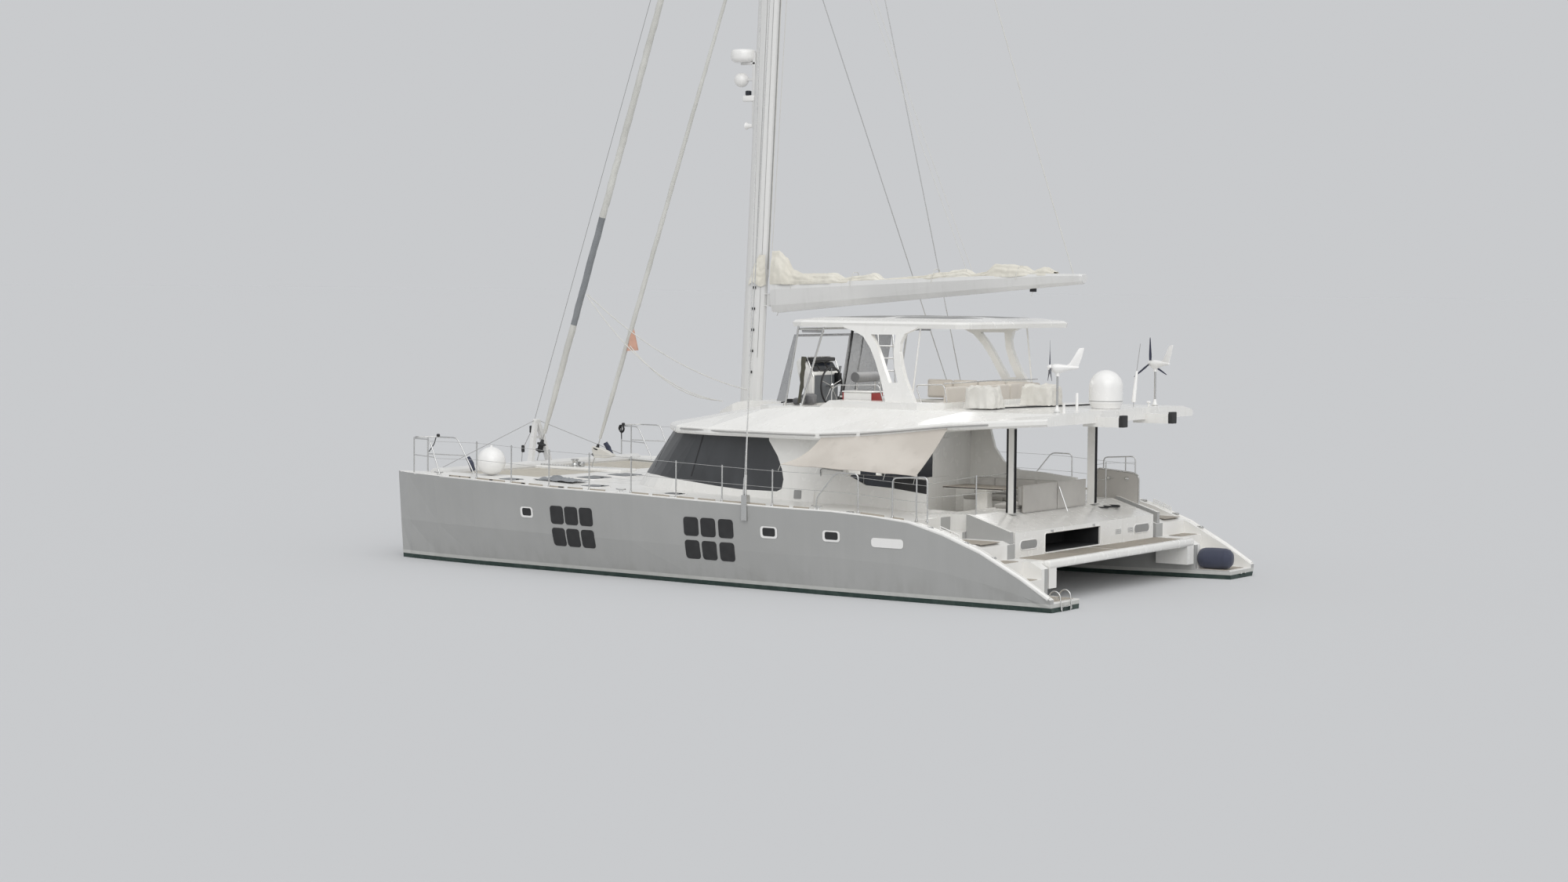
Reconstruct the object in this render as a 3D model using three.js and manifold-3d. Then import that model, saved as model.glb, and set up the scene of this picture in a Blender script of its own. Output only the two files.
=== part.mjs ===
// Sailing catamaran, 18.4 m long and 10 m wide, afloat with its sails stowed.
// Millimetres. +X runs forward, +Y to port, +Z up. The origin is amidships on the waterline.
import * as THREE from 'three';
import { mergeVertices } from 'three/addons/utils/BufferGeometryUtils.js';
import { RoundedBoxGeometry } from 'three/addons/geometries/RoundedBoxGeometry.js';
import Module from 'manifold-3d';

const wasm = await Module();
wasm.setup();

// Driving dimensions
const SEAT = 0.3; // gap left between two pieces that touch
const STEM_RAKE = 130; // how far the stem slopes back from deck to waterline
const WELL_FLOOR = 1300; // saloon and cockpit sole
const BRIDGE_UNDERSIDE = 780;
const SIDE_WALL_Y = 3450; // deckhouse side at deck level
const ROOF_TOP = 3980; // level part of the fly deck
const FLY_SOLE = 3560;
const WALL = 90; // deckhouse wall thickness
const MAST_RAKE = 0.0477; // lean aft, per unit of height
const MAST_AT = { x: 1550, z: 7050 }; // a point on the mast's centre line
const MAST_FOOT = 3500;
const MAST_TOP = 28000;
const MAST_HALF = { x: 300, y: 165 };
const PIN = { x: 1205, z: 6270, r: 18 }; // gooseneck pin
const BEAM = { x: 8150, z: 2050, r: 130 }; // crossbeam between the bows
const NET_AFT = 5760;
const TURBINE = { x: -7820, y: 2280, poleTop: 4740, hubZ: 4930, hubX: -7690 };
const YAW = { port: 34, starboard: -20 }; // way the turbines point at rest, degrees from ahead
const WHEEL = { x: -1300, y: 1100, z: 4330, r: 430, shaftEnd: -1150 };
const LADDER = { x: -9150, y: 4200, z: 100 };
const DRIVE = { x: -5600, y: 3920, z: -1150 };
const RUDDER = { x: -8000, y: 4100 };
const STOCK = { r: 32, top: -180, bore: 34.5 }; // rudder stock and its hole in the hull

// The deck edge seen from the side. Columns: x, z
const SHEER = [
  [9200, 2080], [6300, 2040], [3900, 1965], [1650, 1940], [-500, 1885], [-2600, 1840],
  [-3850, 1830], [-4850, 1780], [-5800, 1700], [-6600, 1500], [-7500, 1170], [-8450, 680],
  [-9130, 270],
];

// Port hull. Columns: x, deck outside, deck inside, waterline outside, waterline inside, bottom
const HULL = [
  [9200, 4100, 4000, 4070, 4030, -260],
  [8700, 4360, 3740, 4140, 3960, -460],
  [7600, 4640, 3380, 4280, 3780, -640],
  [6300, 4830, 3100, 4390, 3480, -790],
  [3900, 4950, 2900, 4480, 3080, -910],
  [1650, 4990, 2800, 4580, 2900, -950],
  [-500, 5000, 2800, 4680, 2880, -960],
  [-2600, 5000, 2800, 4760, 2880, -930],
  [-3850, 4990, 2850, 4800, 2930, -870],
  [-4850, 4980, 2900, 4810, 2980, -790],
  [-5800, 4965, 2990, 4810, 3060, -670],
  [-6600, 4945, 3110, 4800, 3170, -550],
  [-7500, 4920, 3290, 4790, 3340, -400],
  [-8450, 4885, 3470, 4775, 3500, -210],
  [-9130, 4860, 3600, 4765, 3620, -60],
];

// Stern steps of each hull. Columns: forward edge x, tread z, height left on the inboard side
const STEPS = [
  [-5760, 1420, 1420], [-6300, 1280, 1280], [-7400, 900, 900], [-7850, 550, 900],
  [-8300, 200, 200],
];
const STEP_INNER_Y = 3720; // inboard of this the side heights apply

// Roof and fly deck. Columns: x, half width, underside, brim top, shoulder y, shoulder z, crown
const ROOF = [
  [3100, 420, 3300, 3380, 260, 3390, 3395],
  [2780, 1600, 3290, 3410, 1150, 3435, 3460],
  [2150, 2640, 3275, 3425, 1900, 3495, 3540],
  [1380, 3440, 3250, 3430, 2450, 3585, 3635],
  [300, 3720, 3250, 3430, 2850, 3700, 3845],
  [-700, 3750, 3250, 3430, 2900, 3850, 3900],
  [-1900, 3800, 3250, 3435, 2950, 3930, ROOF_TOP],
  [-2700, 3830, 3250, 3440, 2980, 3940, ROOF_TOP],
  [-4400, 3800, 3380, 3560, 3000, 3945, ROOF_TOP],
  [-5960, 3700, 3570, 3740, 2960, 3950, ROOF_TOP],
  [-8210, 3420, 3720, 3880, 2900, 3960, ROOF_TOP],
];

const COLOURS = {
  silver: [0xa9aaa8, 0.42, 0.35], white: [0xe9e8e3, 0.35, 0], keel: [0x25493f, 0.7, 0],
  glass: [0x24282c, 0.12, 0], steel: [0xb9bbbc, 0.25, 0.9], net: [0xb4aa9a, 0.9, 0],
  cloth: [0xc9bdaa, 0.9, 0], sail: [0xd9d3c6, 0.9, 0], cushion: [0x9c9890, 0.9, 0],
  spar: [0xdcdcd8, 0.4, 0.1], blade: [0x20284a, 0.4, 0], bronze: [0x9b7a45, 0.35, 0.9],
  roll: [0xcfccc2, 0.8, 0], wood: [0x8d7455, 0.6, 0],
};

const boat = new THREE.Group();

function material(key) {
  const [color, roughness, metalness] = COLOURS[key];
  return new THREE.MeshStandardMaterial({ color, roughness, metalness });
}

// Solids: a closed geometry becomes one that can be joined and cut, and back
function solid(geometry) {
  const bare = geometry.clone();
  bare.deleteAttribute('normal');
  bare.deleteAttribute('uv');
  const merged = mergeVertices(bare, 1e-3);
  const vertProperties = new Float32Array(merged.attributes.position.array);
  const triVerts = new Uint32Array(merged.index.array);
  return new wasm.Manifold(new wasm.Mesh({ numProp: 3, vertProperties, triVerts }));
}

function geometryOf(body) {
  const mesh = body.getMesh();
  const stride = mesh.numProp;
  const count = mesh.vertProperties.length / stride;
  const points = new Float32Array(count * 3);
  for (let i = 0; i < count; i += 1) {
    for (let k = 0; k < 3; k += 1) points[i * 3 + k] = mesh.vertProperties[i * stride + k];
  }
  const geometry = new THREE.BufferGeometry();
  geometry.setAttribute('position', new THREE.BufferAttribute(points, 3));
  geometry.setIndex(Array.from(mesh.triVerts));
  geometry.computeVertexNormals();
  return geometry;
}

const join = (...bodies) => bodies.reduce((sum, body) => sum.add(body));
const cut = (body, ...tools) => tools.reduce((rest, tool) => rest.subtract(tool), body);
const moved = (body, x, y, z) => solid(geometryOf(body).translate(x, y, z));

// A cutting tool a little larger than a piece, in the directions given
function grown(body, ...directions) {
  return join(...directions.map((d) => moved(body, d[0] * SEAT, d[1] * SEAT, d[2] * SEAT)));
}

// The same piece on the other side of the boat
function mirrored(body) {
  const geometry = geometryOf(body);
  const points = geometry.attributes.position;
  for (let i = 0; i < points.count; i += 1) points.setY(i, -points.getY(i));
  const index = geometry.index.array;
  for (let i = 0; i < index.length; i += 3) {
    const second = index[i + 1];
    index[i + 1] = index[i + 2];
    index[i + 2] = second;
  }
  return solid(geometry);
}

function add(name, body, key, at = [0, 0, 0]) {
  const geometry = geometryOf(body).translate(-at[0], -at[1], -at[2]);
  const mesh = new THREE.Mesh(geometry, material(key));
  mesh.name = name;
  mesh.position.set(...at);
  boat.add(mesh);
}

function addPair(name, portBody, key, at = [0, 0, 0]) {
  add(`${name}_port`, portBody, key, at);
  add(`${name}_starboard`, mirrored(portBody), key, [at[0], -at[1], at[2]]);
}

// Shapes
function box(x0, x1, y0, y1, z0, z1) {
  const geometry = new THREE.BoxGeometry(x1 - x0, y1 - y0, z1 - z0);
  return solid(geometry.translate((x0 + x1) / 2, (y0 + y1) / 2, (z0 + z1) / 2));
}

function softBox(x0, x1, y0, y1, z0, z1, radius) {
  const geometry = new RoundedBoxGeometry(x1 - x0, y1 - y0, z1 - z0, 1, radius);
  return solid(geometry.translate((x0 + x1) / 2, (y0 + y1) / 2, (z0 + z1) / 2));
}

// A round bar between two points, thinner at its end when the second radius is smaller
function rod(from, to, radius, sides = 8, endRadius = radius) {
  const a = new THREE.Vector3(...from);
  const b = new THREE.Vector3(...to);
  const length = a.distanceTo(b);
  const geometry = new THREE.CylinderGeometry(endRadius, radius, length, sides);
  const turn = new THREE.Quaternion();
  turn.setFromUnitVectors(new THREE.Vector3(0, 1, 0), b.clone().sub(a).normalize());
  geometry.applyQuaternion(turn);
  const middle = a.add(b).multiplyScalar(0.5);
  return solid(geometry.translate(middle.x, middle.y, middle.z));
}

// A bent tube of one piece, its bends mitred
function bentTube(points, radius, sides = 6) {
  const stops = points.map((point) => new THREE.Vector3(...point));
  const legs = stops.slice(1).map((stop, i) => stop.clone().sub(stops[i]).normalize());
  const steep = Math.abs(legs[0].z) > 0.9;
  let normal = new THREE.Vector3(steep ? 1 : 0, 0, steep ? 0 : 1);
  const rings = stops.map((stop, i) => {
    const before = legs[Math.max(i - 1, 0)];
    const after = legs[Math.min(i, legs.length - 1)];
    const tangent = before.clone().add(after).normalize();
    normal = normal.clone().addScaledVector(tangent, -normal.dot(tangent)).normalize();
    const side = tangent.clone().cross(normal);
    const bend = after.clone().sub(before);
    const stretch = bend.length() > 1e-6 ? 1 / before.dot(tangent) - 1 : 0;
    bend.normalize();
    const ring = [];
    for (let k = 0; k < sides; k += 1) {
      const angle = (2 * Math.PI * k) / sides;
      const out = normal.clone().multiplyScalar(radius * Math.cos(angle));
      out.addScaledVector(side, radius * Math.sin(angle));
      out.addScaledVector(bend, out.dot(bend) * stretch);
      ring.push(stop.clone().add(out).toArray());
    }
    return ring;
  });
  return loft(rings);
}

// A side view given as [x, z] points, drawn out from y0 to y1
function sideSlab(outline, y0, y1) {
  const shape = new THREE.Shape(outline.map(([x, z]) => new THREE.Vector2(x, z)));
  const geometry = new THREE.ExtrudeGeometry(shape, { depth: y1 - y0, bevelEnabled: false });
  return solid(geometry.rotateX(Math.PI / 2).translate(0, y1, 0));
}

// A plan given as [x, y] points, drawn up from z0 to z1
function planSlab(outline, z0, z1, holes = []) {
  const shape = new THREE.Shape(outline.map(([x, y]) => new THREE.Vector2(x, y)));
  for (const hole of holes) {
    shape.holes.push(new THREE.Path(hole.map(([x, y]) => new THREE.Vector2(x, y))));
  }
  const geometry = new THREE.ExtrudeGeometry(shape, { depth: z1 - z0, bevelEnabled: false });
  return solid(geometry.translate(0, 0, z0));
}

// A body through rings of [x, y, z] points, every ring with the same count
function loft(rings) {
  const n = rings[0].length;
  const positions = rings.flat(2);
  const index = [];
  for (let r = 0; r + 1 < rings.length; r += 1) {
    for (let i = 0; i < n; i += 1) {
      const a = r * n + i;
      const b = r * n + ((i + 1) % n);
      index.push(a, b, b + n, a, b + n, a + n);
    }
  }
  for (const [r, flip] of [[0, true], [rings.length - 1, false]]) {
    for (const face of capFaces(rings[r])) {
      const [a, b, c] = face.map((i) => i + r * n);
      index.push(...(flip ? [a, c, b] : [a, b, c]));
    }
  }
  const geometry = new THREE.BufferGeometry();
  geometry.setAttribute('position', new THREE.Float32BufferAttribute(positions, 3));
  geometry.setIndex(index);
  const body = solid(geometry);
  return body.volume() > 0 ? body : solid(turnedOut(geometry));
}

function turnedOut(geometry) {
  const index = geometry.index.array;
  for (let i = 0; i < index.length; i += 3) {
    const second = index[i + 1];
    index[i + 1] = index[i + 2];
    index[i + 2] = second;
  }
  return geometry;
}

// Faces of a flat ring, each in the ring's own turning direction
function capFaces(ring) {
  const normal = [0, 0, 0];
  ring.forEach((p, i) => {
    const q = ring[(i + 1) % ring.length];
    for (let k = 0; k < 3; k += 1) {
      const [u, v] = [(k + 1) % 3, (k + 2) % 3];
      normal[k] += (p[u] - q[u]) * (p[v] + q[v]);
    }
  });
  const size = normal.map(Math.abs);
  const drop = size.indexOf(Math.max(...size));
  const [u, v] = [0, 1, 2].filter((k) => k !== drop);
  const flat = ring.map((point) => new THREE.Vector2(point[u], point[v]));
  const clockwise = THREE.ShapeUtils.isClockWise(flat);
  const order = clockwise ? flat.slice().reverse() : flat;
  const faces = THREE.ShapeUtils.triangulateShape(order, []);
  if (!clockwise) return faces;
  return faces.map((face) => face.map((i) => flat.length - 1 - i).reverse());
}

// A turned shape: [radius, height] profile about the Z axis at a point, or along X
function turned(profile, at, sides = 16, alongX = false) {
  const points = profile.map(([radius, height]) => new THREE.Vector2(radius, height));
  const geometry = new THREE.LatheGeometry(points, sides);
  if (alongX) geometry.rotateZ(-Math.PI / 2);
  else geometry.rotateX(Math.PI / 2);
  geometry.translate(...at);
  const body = solid(geometry);
  return body.volume() > 0 ? body : solid(turnedOut(mergeVertices(plain(geometry), 1e-3)));
}

function plain(geometry) {
  const bare = geometry.clone();
  bare.deleteAttribute('normal');
  bare.deleteAttribute('uv');
  return bare;
}

const mix = (a, b, t) => a + (b - a) * t;

function along(table, x, column) {
  for (let i = 0; i + 1 < table.length; i += 1) {
    const [a, b] = [table[i], table[i + 1]];
    if (x <= a[0] && x >= b[0]) return mix(a[column], b[column], (x - a[0]) / (b[0] - a[0]));
  }
  return x > table[0][0] ? table[0][column] : table[table.length - 1][column];
}

const sheerAt = (x) => along(SHEER, x, 1);
const mastX = (z) => MAST_AT.x - MAST_RAKE * (z - MAST_AT.z);

// Hulls
function hullRing([x, deckOut, deckIn, waterOut, waterIn, bottom]) {
  const deck = sheerAt(x);
  const rake = x > 9000 ? STEM_RAKE : 0;
  const point = (y, z) => [x - (rake * (deck - z)) / deck, y, z];
  const ring = [point(deckOut, deck), point(mix(waterOut, deckOut, 0.62), deck * 0.45)];
  const middle = (waterOut + waterIn) / 2;
  const half = (waterOut - waterIn) / 2;
  const STRIPS = 8;
  for (let i = 0; i <= STRIPS; i += 1) {
    const angle = (Math.PI * i) / STRIPS;
    const fullness = Math.sign(Math.cos(angle)) * Math.abs(Math.cos(angle)) ** 0.8;
    ring.push(point(middle + half * fullness, bottom * Math.sin(angle) ** 0.8));
  }
  ring.push(point(mix(waterIn, deckIn, 0.62), deck * 0.45), point(deckIn, deck));
  return ring;
}

function hullBody() {
  let body = loft(HULL.map(hullRing));
  for (let i = 0; i < STEPS.length; i += 1) {
    const [front, tread, inner] = STEPS[i];
    const back = i + 1 < STEPS.length ? STEPS[i + 1][0] : -9400;
    body = cut(body, box(back - 1, front, 2500, STEP_INNER_Y, inner, 2400),
      box(back - 1, front, STEP_INNER_Y - 1, 4690, tread, 2400));
  }
  const side = [[-6310, 1100], [-6310, 1790], [-6400, 1780], [-7390, 1470], [-7390, 1100]];
  body = join(body, sideSlab(side, 3340, 3460));
  for (const side of [-110, 110]) {
    const y = LADDER.y + side;
    const lug = box(LADDER.x - 30, -9100, y - 16, y + 16, LADDER.z - 30, LADDER.z + 30);
    const bore = rod([LADDER.x, y - 30, LADDER.z], [LADDER.x, y + 30, LADDER.z], 13, 12);
    body = cut(join(body, lug), bore);
  }
  return cut(body, rod([RUDDER.x, RUDDER.y, -600], [RUDDER.x, RUDDER.y, STOCK.top], STOCK.bore, 16));
}

function keelBody(hull) {
  const FIN = { front: 1700, back: -1500, root: -800, foot: -1650, half: 170 };
  const rings = [[FIN.root, 1], [FIN.foot + 60, 0.86], [FIN.foot, 0.8]].map(([z, scale]) => {
    const ring = [];
    const COUNT = 16;
    for (let i = 0; i < COUNT; i += 1) {
      const angle = (2 * Math.PI * i) / COUNT;
      const chord = ((FIN.front - FIN.back) / 2) * scale;
      const x = (FIN.front + FIN.back) / 2 + chord * Math.cos(angle);
      const thin = FIN.half * scale * (z === FIN.foot ? 0.6 : 1);
      ring.push([x, 3790 + thin * Math.sin(angle), z]);
    }
    return ring;
  });
  return cut(loft(rings), moved(hull, 0, 0, -SEAT));
}

const hull = hullBody();
const hulls = join(hull, mirrored(hull));
const hullTool = grown(hull, [0, -1, 0], [0, 0, 1], [0, -1, 1]);
const hullsTool = join(hullTool, mirrored(hullTool));

// Bridge deck between the hulls, with the saloon and cockpit well and the stern locker
const GARAGE = { y0: -600, y1: 1900, z0: 930, z1: 1330, depth: 900 };
const TRANSOM_X = -7360;

function bridgeBlock() {
  const top = SHEER.filter(([x]) => x < NET_AFT && x > -5700);
  const outline = [
    [NET_AFT, sheerAt(NET_AFT)], ...top, [-5760, 1760], [-6300, 1760], [TRANSOM_X, 1430],
    [TRANSOM_X, BRIDGE_UNDERSIDE], [4700, BRIDGE_UNDERSIDE], [5560, 1500], [NET_AFT, 1850],
  ];
  const forward = cut(sideSlab(outline, -3700, 3700), box(-8000, -5760, -4000, -3200, 700, 2000),
    box(-8000, -5760, 3200, 4000, 700, 2000));
  const well = box(-5620, 2600, -2650, 2650, WELL_FLOOR, 2300);
  const garage = box(TRANSOM_X - 100, TRANSOM_X + GARAGE.depth, GARAGE.y0, GARAGE.y1,
    GARAGE.z0, GARAGE.z1);
  return cut(forward, well, garage);
}

const block = bridgeBlock();
const bridge = cut(block, hullsTool);
const blockTool = grown(block, [1, 0, 0], [0, 0, 1], [1, 0, 1]);
const deckTool = moved(join(hulls, block), 0, 0, SEAT);

// Bow
function crossbeamBody() {
  const tube = rod([BEAM.x, -4000, BEAM.z], [BEAM.x, 4000, BEAM.z], BEAM.r, 12);
  const apex = [8280, 0, 3180];
  const legs = [-1, 1].map((side) => {
    const foot = [BEAM.x + 10, side * 370, BEAM.z + 60];
    const width = [side * 60, side * -60];
    const ring = (at, half) => [
      [at[0] - half, at[1] + width[0], at[2]], [at[0] + half, at[1] + width[0], at[2]],
      [at[0] + half, at[1] + width[1], at[2]], [at[0] - half, at[1] + width[1], at[2]],
    ];
    return loft([ring(foot, 70), ring([apex[0], side * 40, apex[2]], 45)]);
  });
  const bar = box(8205, 8255, -230, 230, 2730, 2790);
  const cap = softBox(8225, 8335, -110, 110, 3110, 3215, 30);
  const whole = join(tube, ...legs, bar, cap);
  return cut(whole, hullsTool);
}

const crossbeam = crossbeamBody();
const crossbeamTool = grown(crossbeam, [-1, 0, 0], [0, 0, -1], [0, 0, 1]);
const CATWALK = { half: 330, top: 2075, bottom: 1960 };

function catwalkBody() {
  const walk = softBox(NET_AFT - 400, BEAM.x, -CATWALK.half, CATWALK.half, CATWALK.bottom,
    CATWALK.top, 30);
  return cut(walk, blockTool, crossbeamTool);
}

function trampolineBody() {
  const outline = [
    [NET_AFT - 50, CATWALK.half + SEAT], [BEAM.x, CATWALK.half + SEAT], [BEAM.x, 3900],
    [NET_AFT - 50, 3900],
  ];
  const net = planSlab(outline, 1985, 2010);
  return cut(net, hullTool, blockTool, crossbeamTool);
}

// Deckhouse: walls between an outline at the deck and a smaller one under the roof
function houseOutline(half, nose, straight, z, inset) {
  const points = [];
  const COUNT = 8;
  const b = half - inset;
  const reach = nose - inset - straight;
  for (let i = -COUNT; i <= COUNT; i += 1) {
    const y = b * Math.sin((Math.PI / 2) * (i / COUNT));
    const x = straight + reach * (1 - Math.abs(y / b) ** 2.2) ** (1 / 2.2);
    points.push([x, y, z]);
  }
  points.push([-2400 + inset, b, z], [-2400 + inset, -b, z]);
  return points;
}

function houseSolid(inset, z0, z1) {
  const level = (z) => {
    const t = (z - 1900) / 1350;
    const half = mix(SIDE_WALL_Y, 3300, t);
    return houseOutline(half, mix(3980, 2900, t), mix(900, 300, t), z, inset);
  };
  return loft([level(z0), level(z1)]);
}

const DOOR = { half: 600, top: 3120, leaf: 660 };
const WINDOW = [
  [5000, 2230], [2160, 2235], [1000, 2160], [250, 2090], [-400, 2045], [-1400, 2045],
  [-1530, 2110], [-1560, 2320], [-1500, 2540], [-1360, 2830], [-1100, 3160], [-1060, 3600],
  [5000, 3600],
];

// The port half reaches a little past the centre line, so that the two halves join
function roofBody() {
  const OVERLAP = 5;
  const half = loft(ROOF.map(([x, width, under, brim, shoulderY, shoulderZ, crown]) => [
    [x, -OVERLAP, under], [x, width - 40, under], [x, width, under + 45],
    [x, width - 5, brim - 40], [x, width - 60, brim], [x, shoulderY, shoulderZ],
    [x, shoulderY * 0.55, crown], [x, -OVERLAP, crown],
  ]));
  const davit = box(-8760, -7900, 1075, 1265, 3640, 3850);
  const port = join(half, davit);
  return join(port, mirrored(port));
}

const roof = roofBody();
const roofTool = moved(roof, 0, 0, -SEAT);

function houseShell() {
  return cut(houseSolid(0, 1250, 3450), houseSolid(WALL, 1200, 3500));
}

function wingBody() {
  const outline = [
    [-2320, 1250], [-2320, 3450], [-2940, 3450], [-2940, 3190], [-3060, 2800], [-3300, 2480],
    [-3740, 2290], [-4390, 2260], [-5270, 2170], [-5280, 1500], [-5280, 1250],
  ];
  return sideSlab(outline, 3330, 3330 + WALL);
}

function deckhouseBody() {
  const walls = cut(houseShell(), sideSlab(WINDOW, -4000, 4000));
  const doorway = box(-2600, -2200, -DOOR.half, DOOR.half, 1200, DOOR.top);
  const lights = [-1, 1].map((side) => {
    const y = [side * 900, side * 2300].sort((a, b) => a - b);
    return box(-2600, -2200, y[0], y[1], 2150, 3050);
  });
  const wing = wingBody();
  const whole = join(cut(walls, doorway, ...lights), wing, mirrored(wing));
  return cut(whole, deckTool, roofTool);
}

function glassBody() {
  const band = moved(sideSlab(WINDOW, -4000, 4000), SEAT, 0, SEAT);
  const pane = cut(houseSolid(0, 1250, 3450), houseSolid(45, 1200, 3500));
  return cut(pane.intersect(band), roofTool);
}

// A rectangle with rounded corners, as [x, y] points
function roundedPlan(x0, x1, half, front, aft = front) {
  const points = [];
  const CORNERS = [[x1, half, 0], [x0, half, 1], [x0, -half, 2], [x1, -half, 3]];
  for (const [x, y, quarter] of CORNERS) {
    const radius = x === x0 ? aft : front;
    const cx = x - Math.sign(x - (x0 + x1) / 2) * radius;
    const cy = y - Math.sign(y) * radius;
    for (let i = 0; i <= 2; i += 1) {
      const angle = (Math.PI / 2) * (quarter + i / 2);
      points.push([cx + radius * Math.cos(angle), cy + radius * Math.sin(angle)]);
    }
  }
  return points;
}

// Fly deck: the roof with a raised coaming round a sunk sitting well, lower in front, and
// a ramp up to the mast
const COAMING = { x0: -5150, x1: -350, half: 2900, top: 4090, frontTop: 3925, step: -2150 };

function flydeckBody() {
  const { x0, x1, half, top, frontTop, step } = COAMING;
  const full = planSlab(roundedPlan(x0, x1, half, 450), 3700, top);
  const lowered = [[step - 280, top + 100], [step - 280, top], [step, frontTop], [0, frontTop],
    [0, top + 100]];
  const coaming = cut(full, sideSlab(lowered, -3000, 3000));
  const well = planSlab(roundedPlan(x0 + 230, x1 - 260, 2330, 350), FLY_SOLE, 4300);
  const ramp = sideSlab([[2350, 3400], [2350, 3515], [1750, 3745], [1350, 3880], [1050, frontTop],
    [-500, frontTop], [-500, 3400]], -1100, 1100);
  const plan = [[2400, -250], [2400, 250], [2050, 800], [1500, 1080], [-600, 1080], [-600, -1080],
    [1500, -1080], [2050, -800]];
  return cut(join(roof, coaming, ramp.intersect(planSlab(plan, 3400, 4000))), well);
}

const flydeck = flydeckBody();
const flydeckTool = moved(flydeck, 0, 0, SEAT);

function postBody() {
  const post = box(-6570, -6390, 1785, 1915, 1700, 3800);
  return cut(post, deckTool, roofTool);
}

// Hardtop over the fly deck, its arches and its windscreen tubes
const TOP = { x0: -5600, x1: -900, half: 2430, under: 5700, edge: 5800, crown: 5945 };

function hardtopBody() {
  const STEPS_ACROSS = [[0, 0], [60, 0.35], [500, 0.75], [1300, 1]];
  const rings = STEPS_ACROSS.map(([inset, rise]) => {
    const outline = roundedPlan(TOP.x0 + inset, TOP.x1 - inset, TOP.half - inset,
      420 - inset * 0.2, 240);
    return outline.map(([x, y]) => [x, y, mix(TOP.edge, TOP.crown, rise)]);
  });
  const under = roundedPlan(TOP.x0 + 30, TOP.x1 - 30, TOP.half - 30, 400, 220);
  return loft([under.map(([x, y]) => [x, y, TOP.under]), ...rings]);
}

const hardtop = hardtopBody();

// The arch leans out: its foot is further from the centre line than its head
function archBody() {
  const FRONT = [
    [-2380, 5800], [-2500, 5690], [-2780, 5620], [-3020, 5510], [-3250, 5250], [-3420, 4970],
    [-3620, 4570], [-3790, 4150], [-3850, 3900],
  ];
  const BACK = [
    [-4650, 3900], [-4590, 4020], [-4400, 4340], [-4230, 4620], [-4110, 4900], [-4020, 5180],
    [-4010, 5380], [-4090, 5580], [-4350, 5690], [-4470, 5800],
  ];
  const WINDOW_HOLE = [
    [-3220, 5555], [-3400, 5320], [-3520, 5110], [-3680, 4800], [-3850, 4500], [-4065, 4520],
    [-3930, 4850], [-3860, 5180], [-3865, 5560],
  ];
  const HALF_THICK = 65;
  const panel = sideSlab([...FRONT, ...BACK], -HALF_THICK, HALF_THICK);
  const geometry = geometryOf(cut(panel, sideSlab(WINDOW_HOLE, -500, 500)));
  const points = geometry.attributes.position;
  for (let i = 0; i < points.count; i += 1) {
    points.setY(i, points.getY(i) + 2360 + (5700 - points.getZ(i)) * 0.215);
  }
  return cut(solid(geometry), flydeckTool, moved(hardtop, 0, 0, -SEAT));
}

// Two tubes a side carry the hardtop's front edge, joined by a rail under it
function windscreenBody() {
  const R = 26;
  const half = [[-1885, 2350, 5640], [-1210, 2335, 5640], [-1110, 1150, 5640]];
  const rail = bentTube([...half, ...half.map(([x, y, z]) => [x, -y, z]).reverse()], R);
  const uprights = [];
  for (const side of [-1, 1]) {
    uprights.push(rod([-875, side * 2390, 3800], [-1225, side * 2335, 5760], R));
    uprights.push(rod([-1320, side * 2420, 3800], [-1925, side * 2350, 5760], R));
  }
  return cut(join(...uprights, rail), flydeckTool, moved(hardtop, 0, 0, -SEAT));
}

// Steering position. Columns of the console: z, aft x, front x, half width, corner radius
const CONSOLE = [
  [3500, WHEEL.shaftEnd, -940, 330, 60], [4080, WHEEL.shaftEnd, -940, 360, 60],
  [4170, WHEEL.shaftEnd, -915, 550, 90], [4620, WHEEL.shaftEnd, -720, 590, 90],
  [4890, -960, -660, 560, 90], [4955, -890, -700, 480, 60],
];

function consoleBody() {
  const rings = CONSOLE.map(([z, x0, x1, half, radius]) => (
    roundedPlan(x0, x1, half, radius).map(([x, y]) => [x, y + WHEEL.y, z])));
  return cut(loft(rings), flydeckTool);
}

function wheelBody() {
  const rim = new THREE.TorusGeometry(WHEEL.r, 16, 6, 22).rotateY(Math.PI / 2);
  const hub = rod([WHEEL.x - 35, 0, 0], [WHEEL.shaftEnd - SEAT, 0, 0], 38, 12);
  const parts = [solid(rim.translate(WHEEL.x, 0, 0)), hub];
  for (let i = 0; i < 5; i += 1) {
    const angle = (2 * Math.PI * i) / 5 + Math.PI / 2;
    const tip = [WHEEL.x, WHEEL.r * Math.cos(angle), WHEEL.r * Math.sin(angle)];
    parts.push(rod([WHEEL.x, 0, 0], tip, 9, 6));
  }
  return moved(join(...parts), 0, WHEEL.y, WHEEL.z);
}

function helmSeatBody() {
  const pan = softBox(-2280, -1830, 600, 1600, 4130, 4260, 50);
  const back = softBox(-2290, -2160, 600, 1600, 4440, 4680, 55);
  const stand = box(-2230, -1950, 800, 1400, 3500, 4180);
  const props = [700, 1460].map((y) => box(-2240, -2210, y, y + 40, 4200, 4500));
  return cut(join(pan, back, stand, ...props), flydeckTool);
}

function loungerBody(x0, x1, y0, y1) {
  return cut(softBox(x0, x1, y0, y1, ROOF_TOP - 60, 4470, 170), flydeckTool);
}

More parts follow.
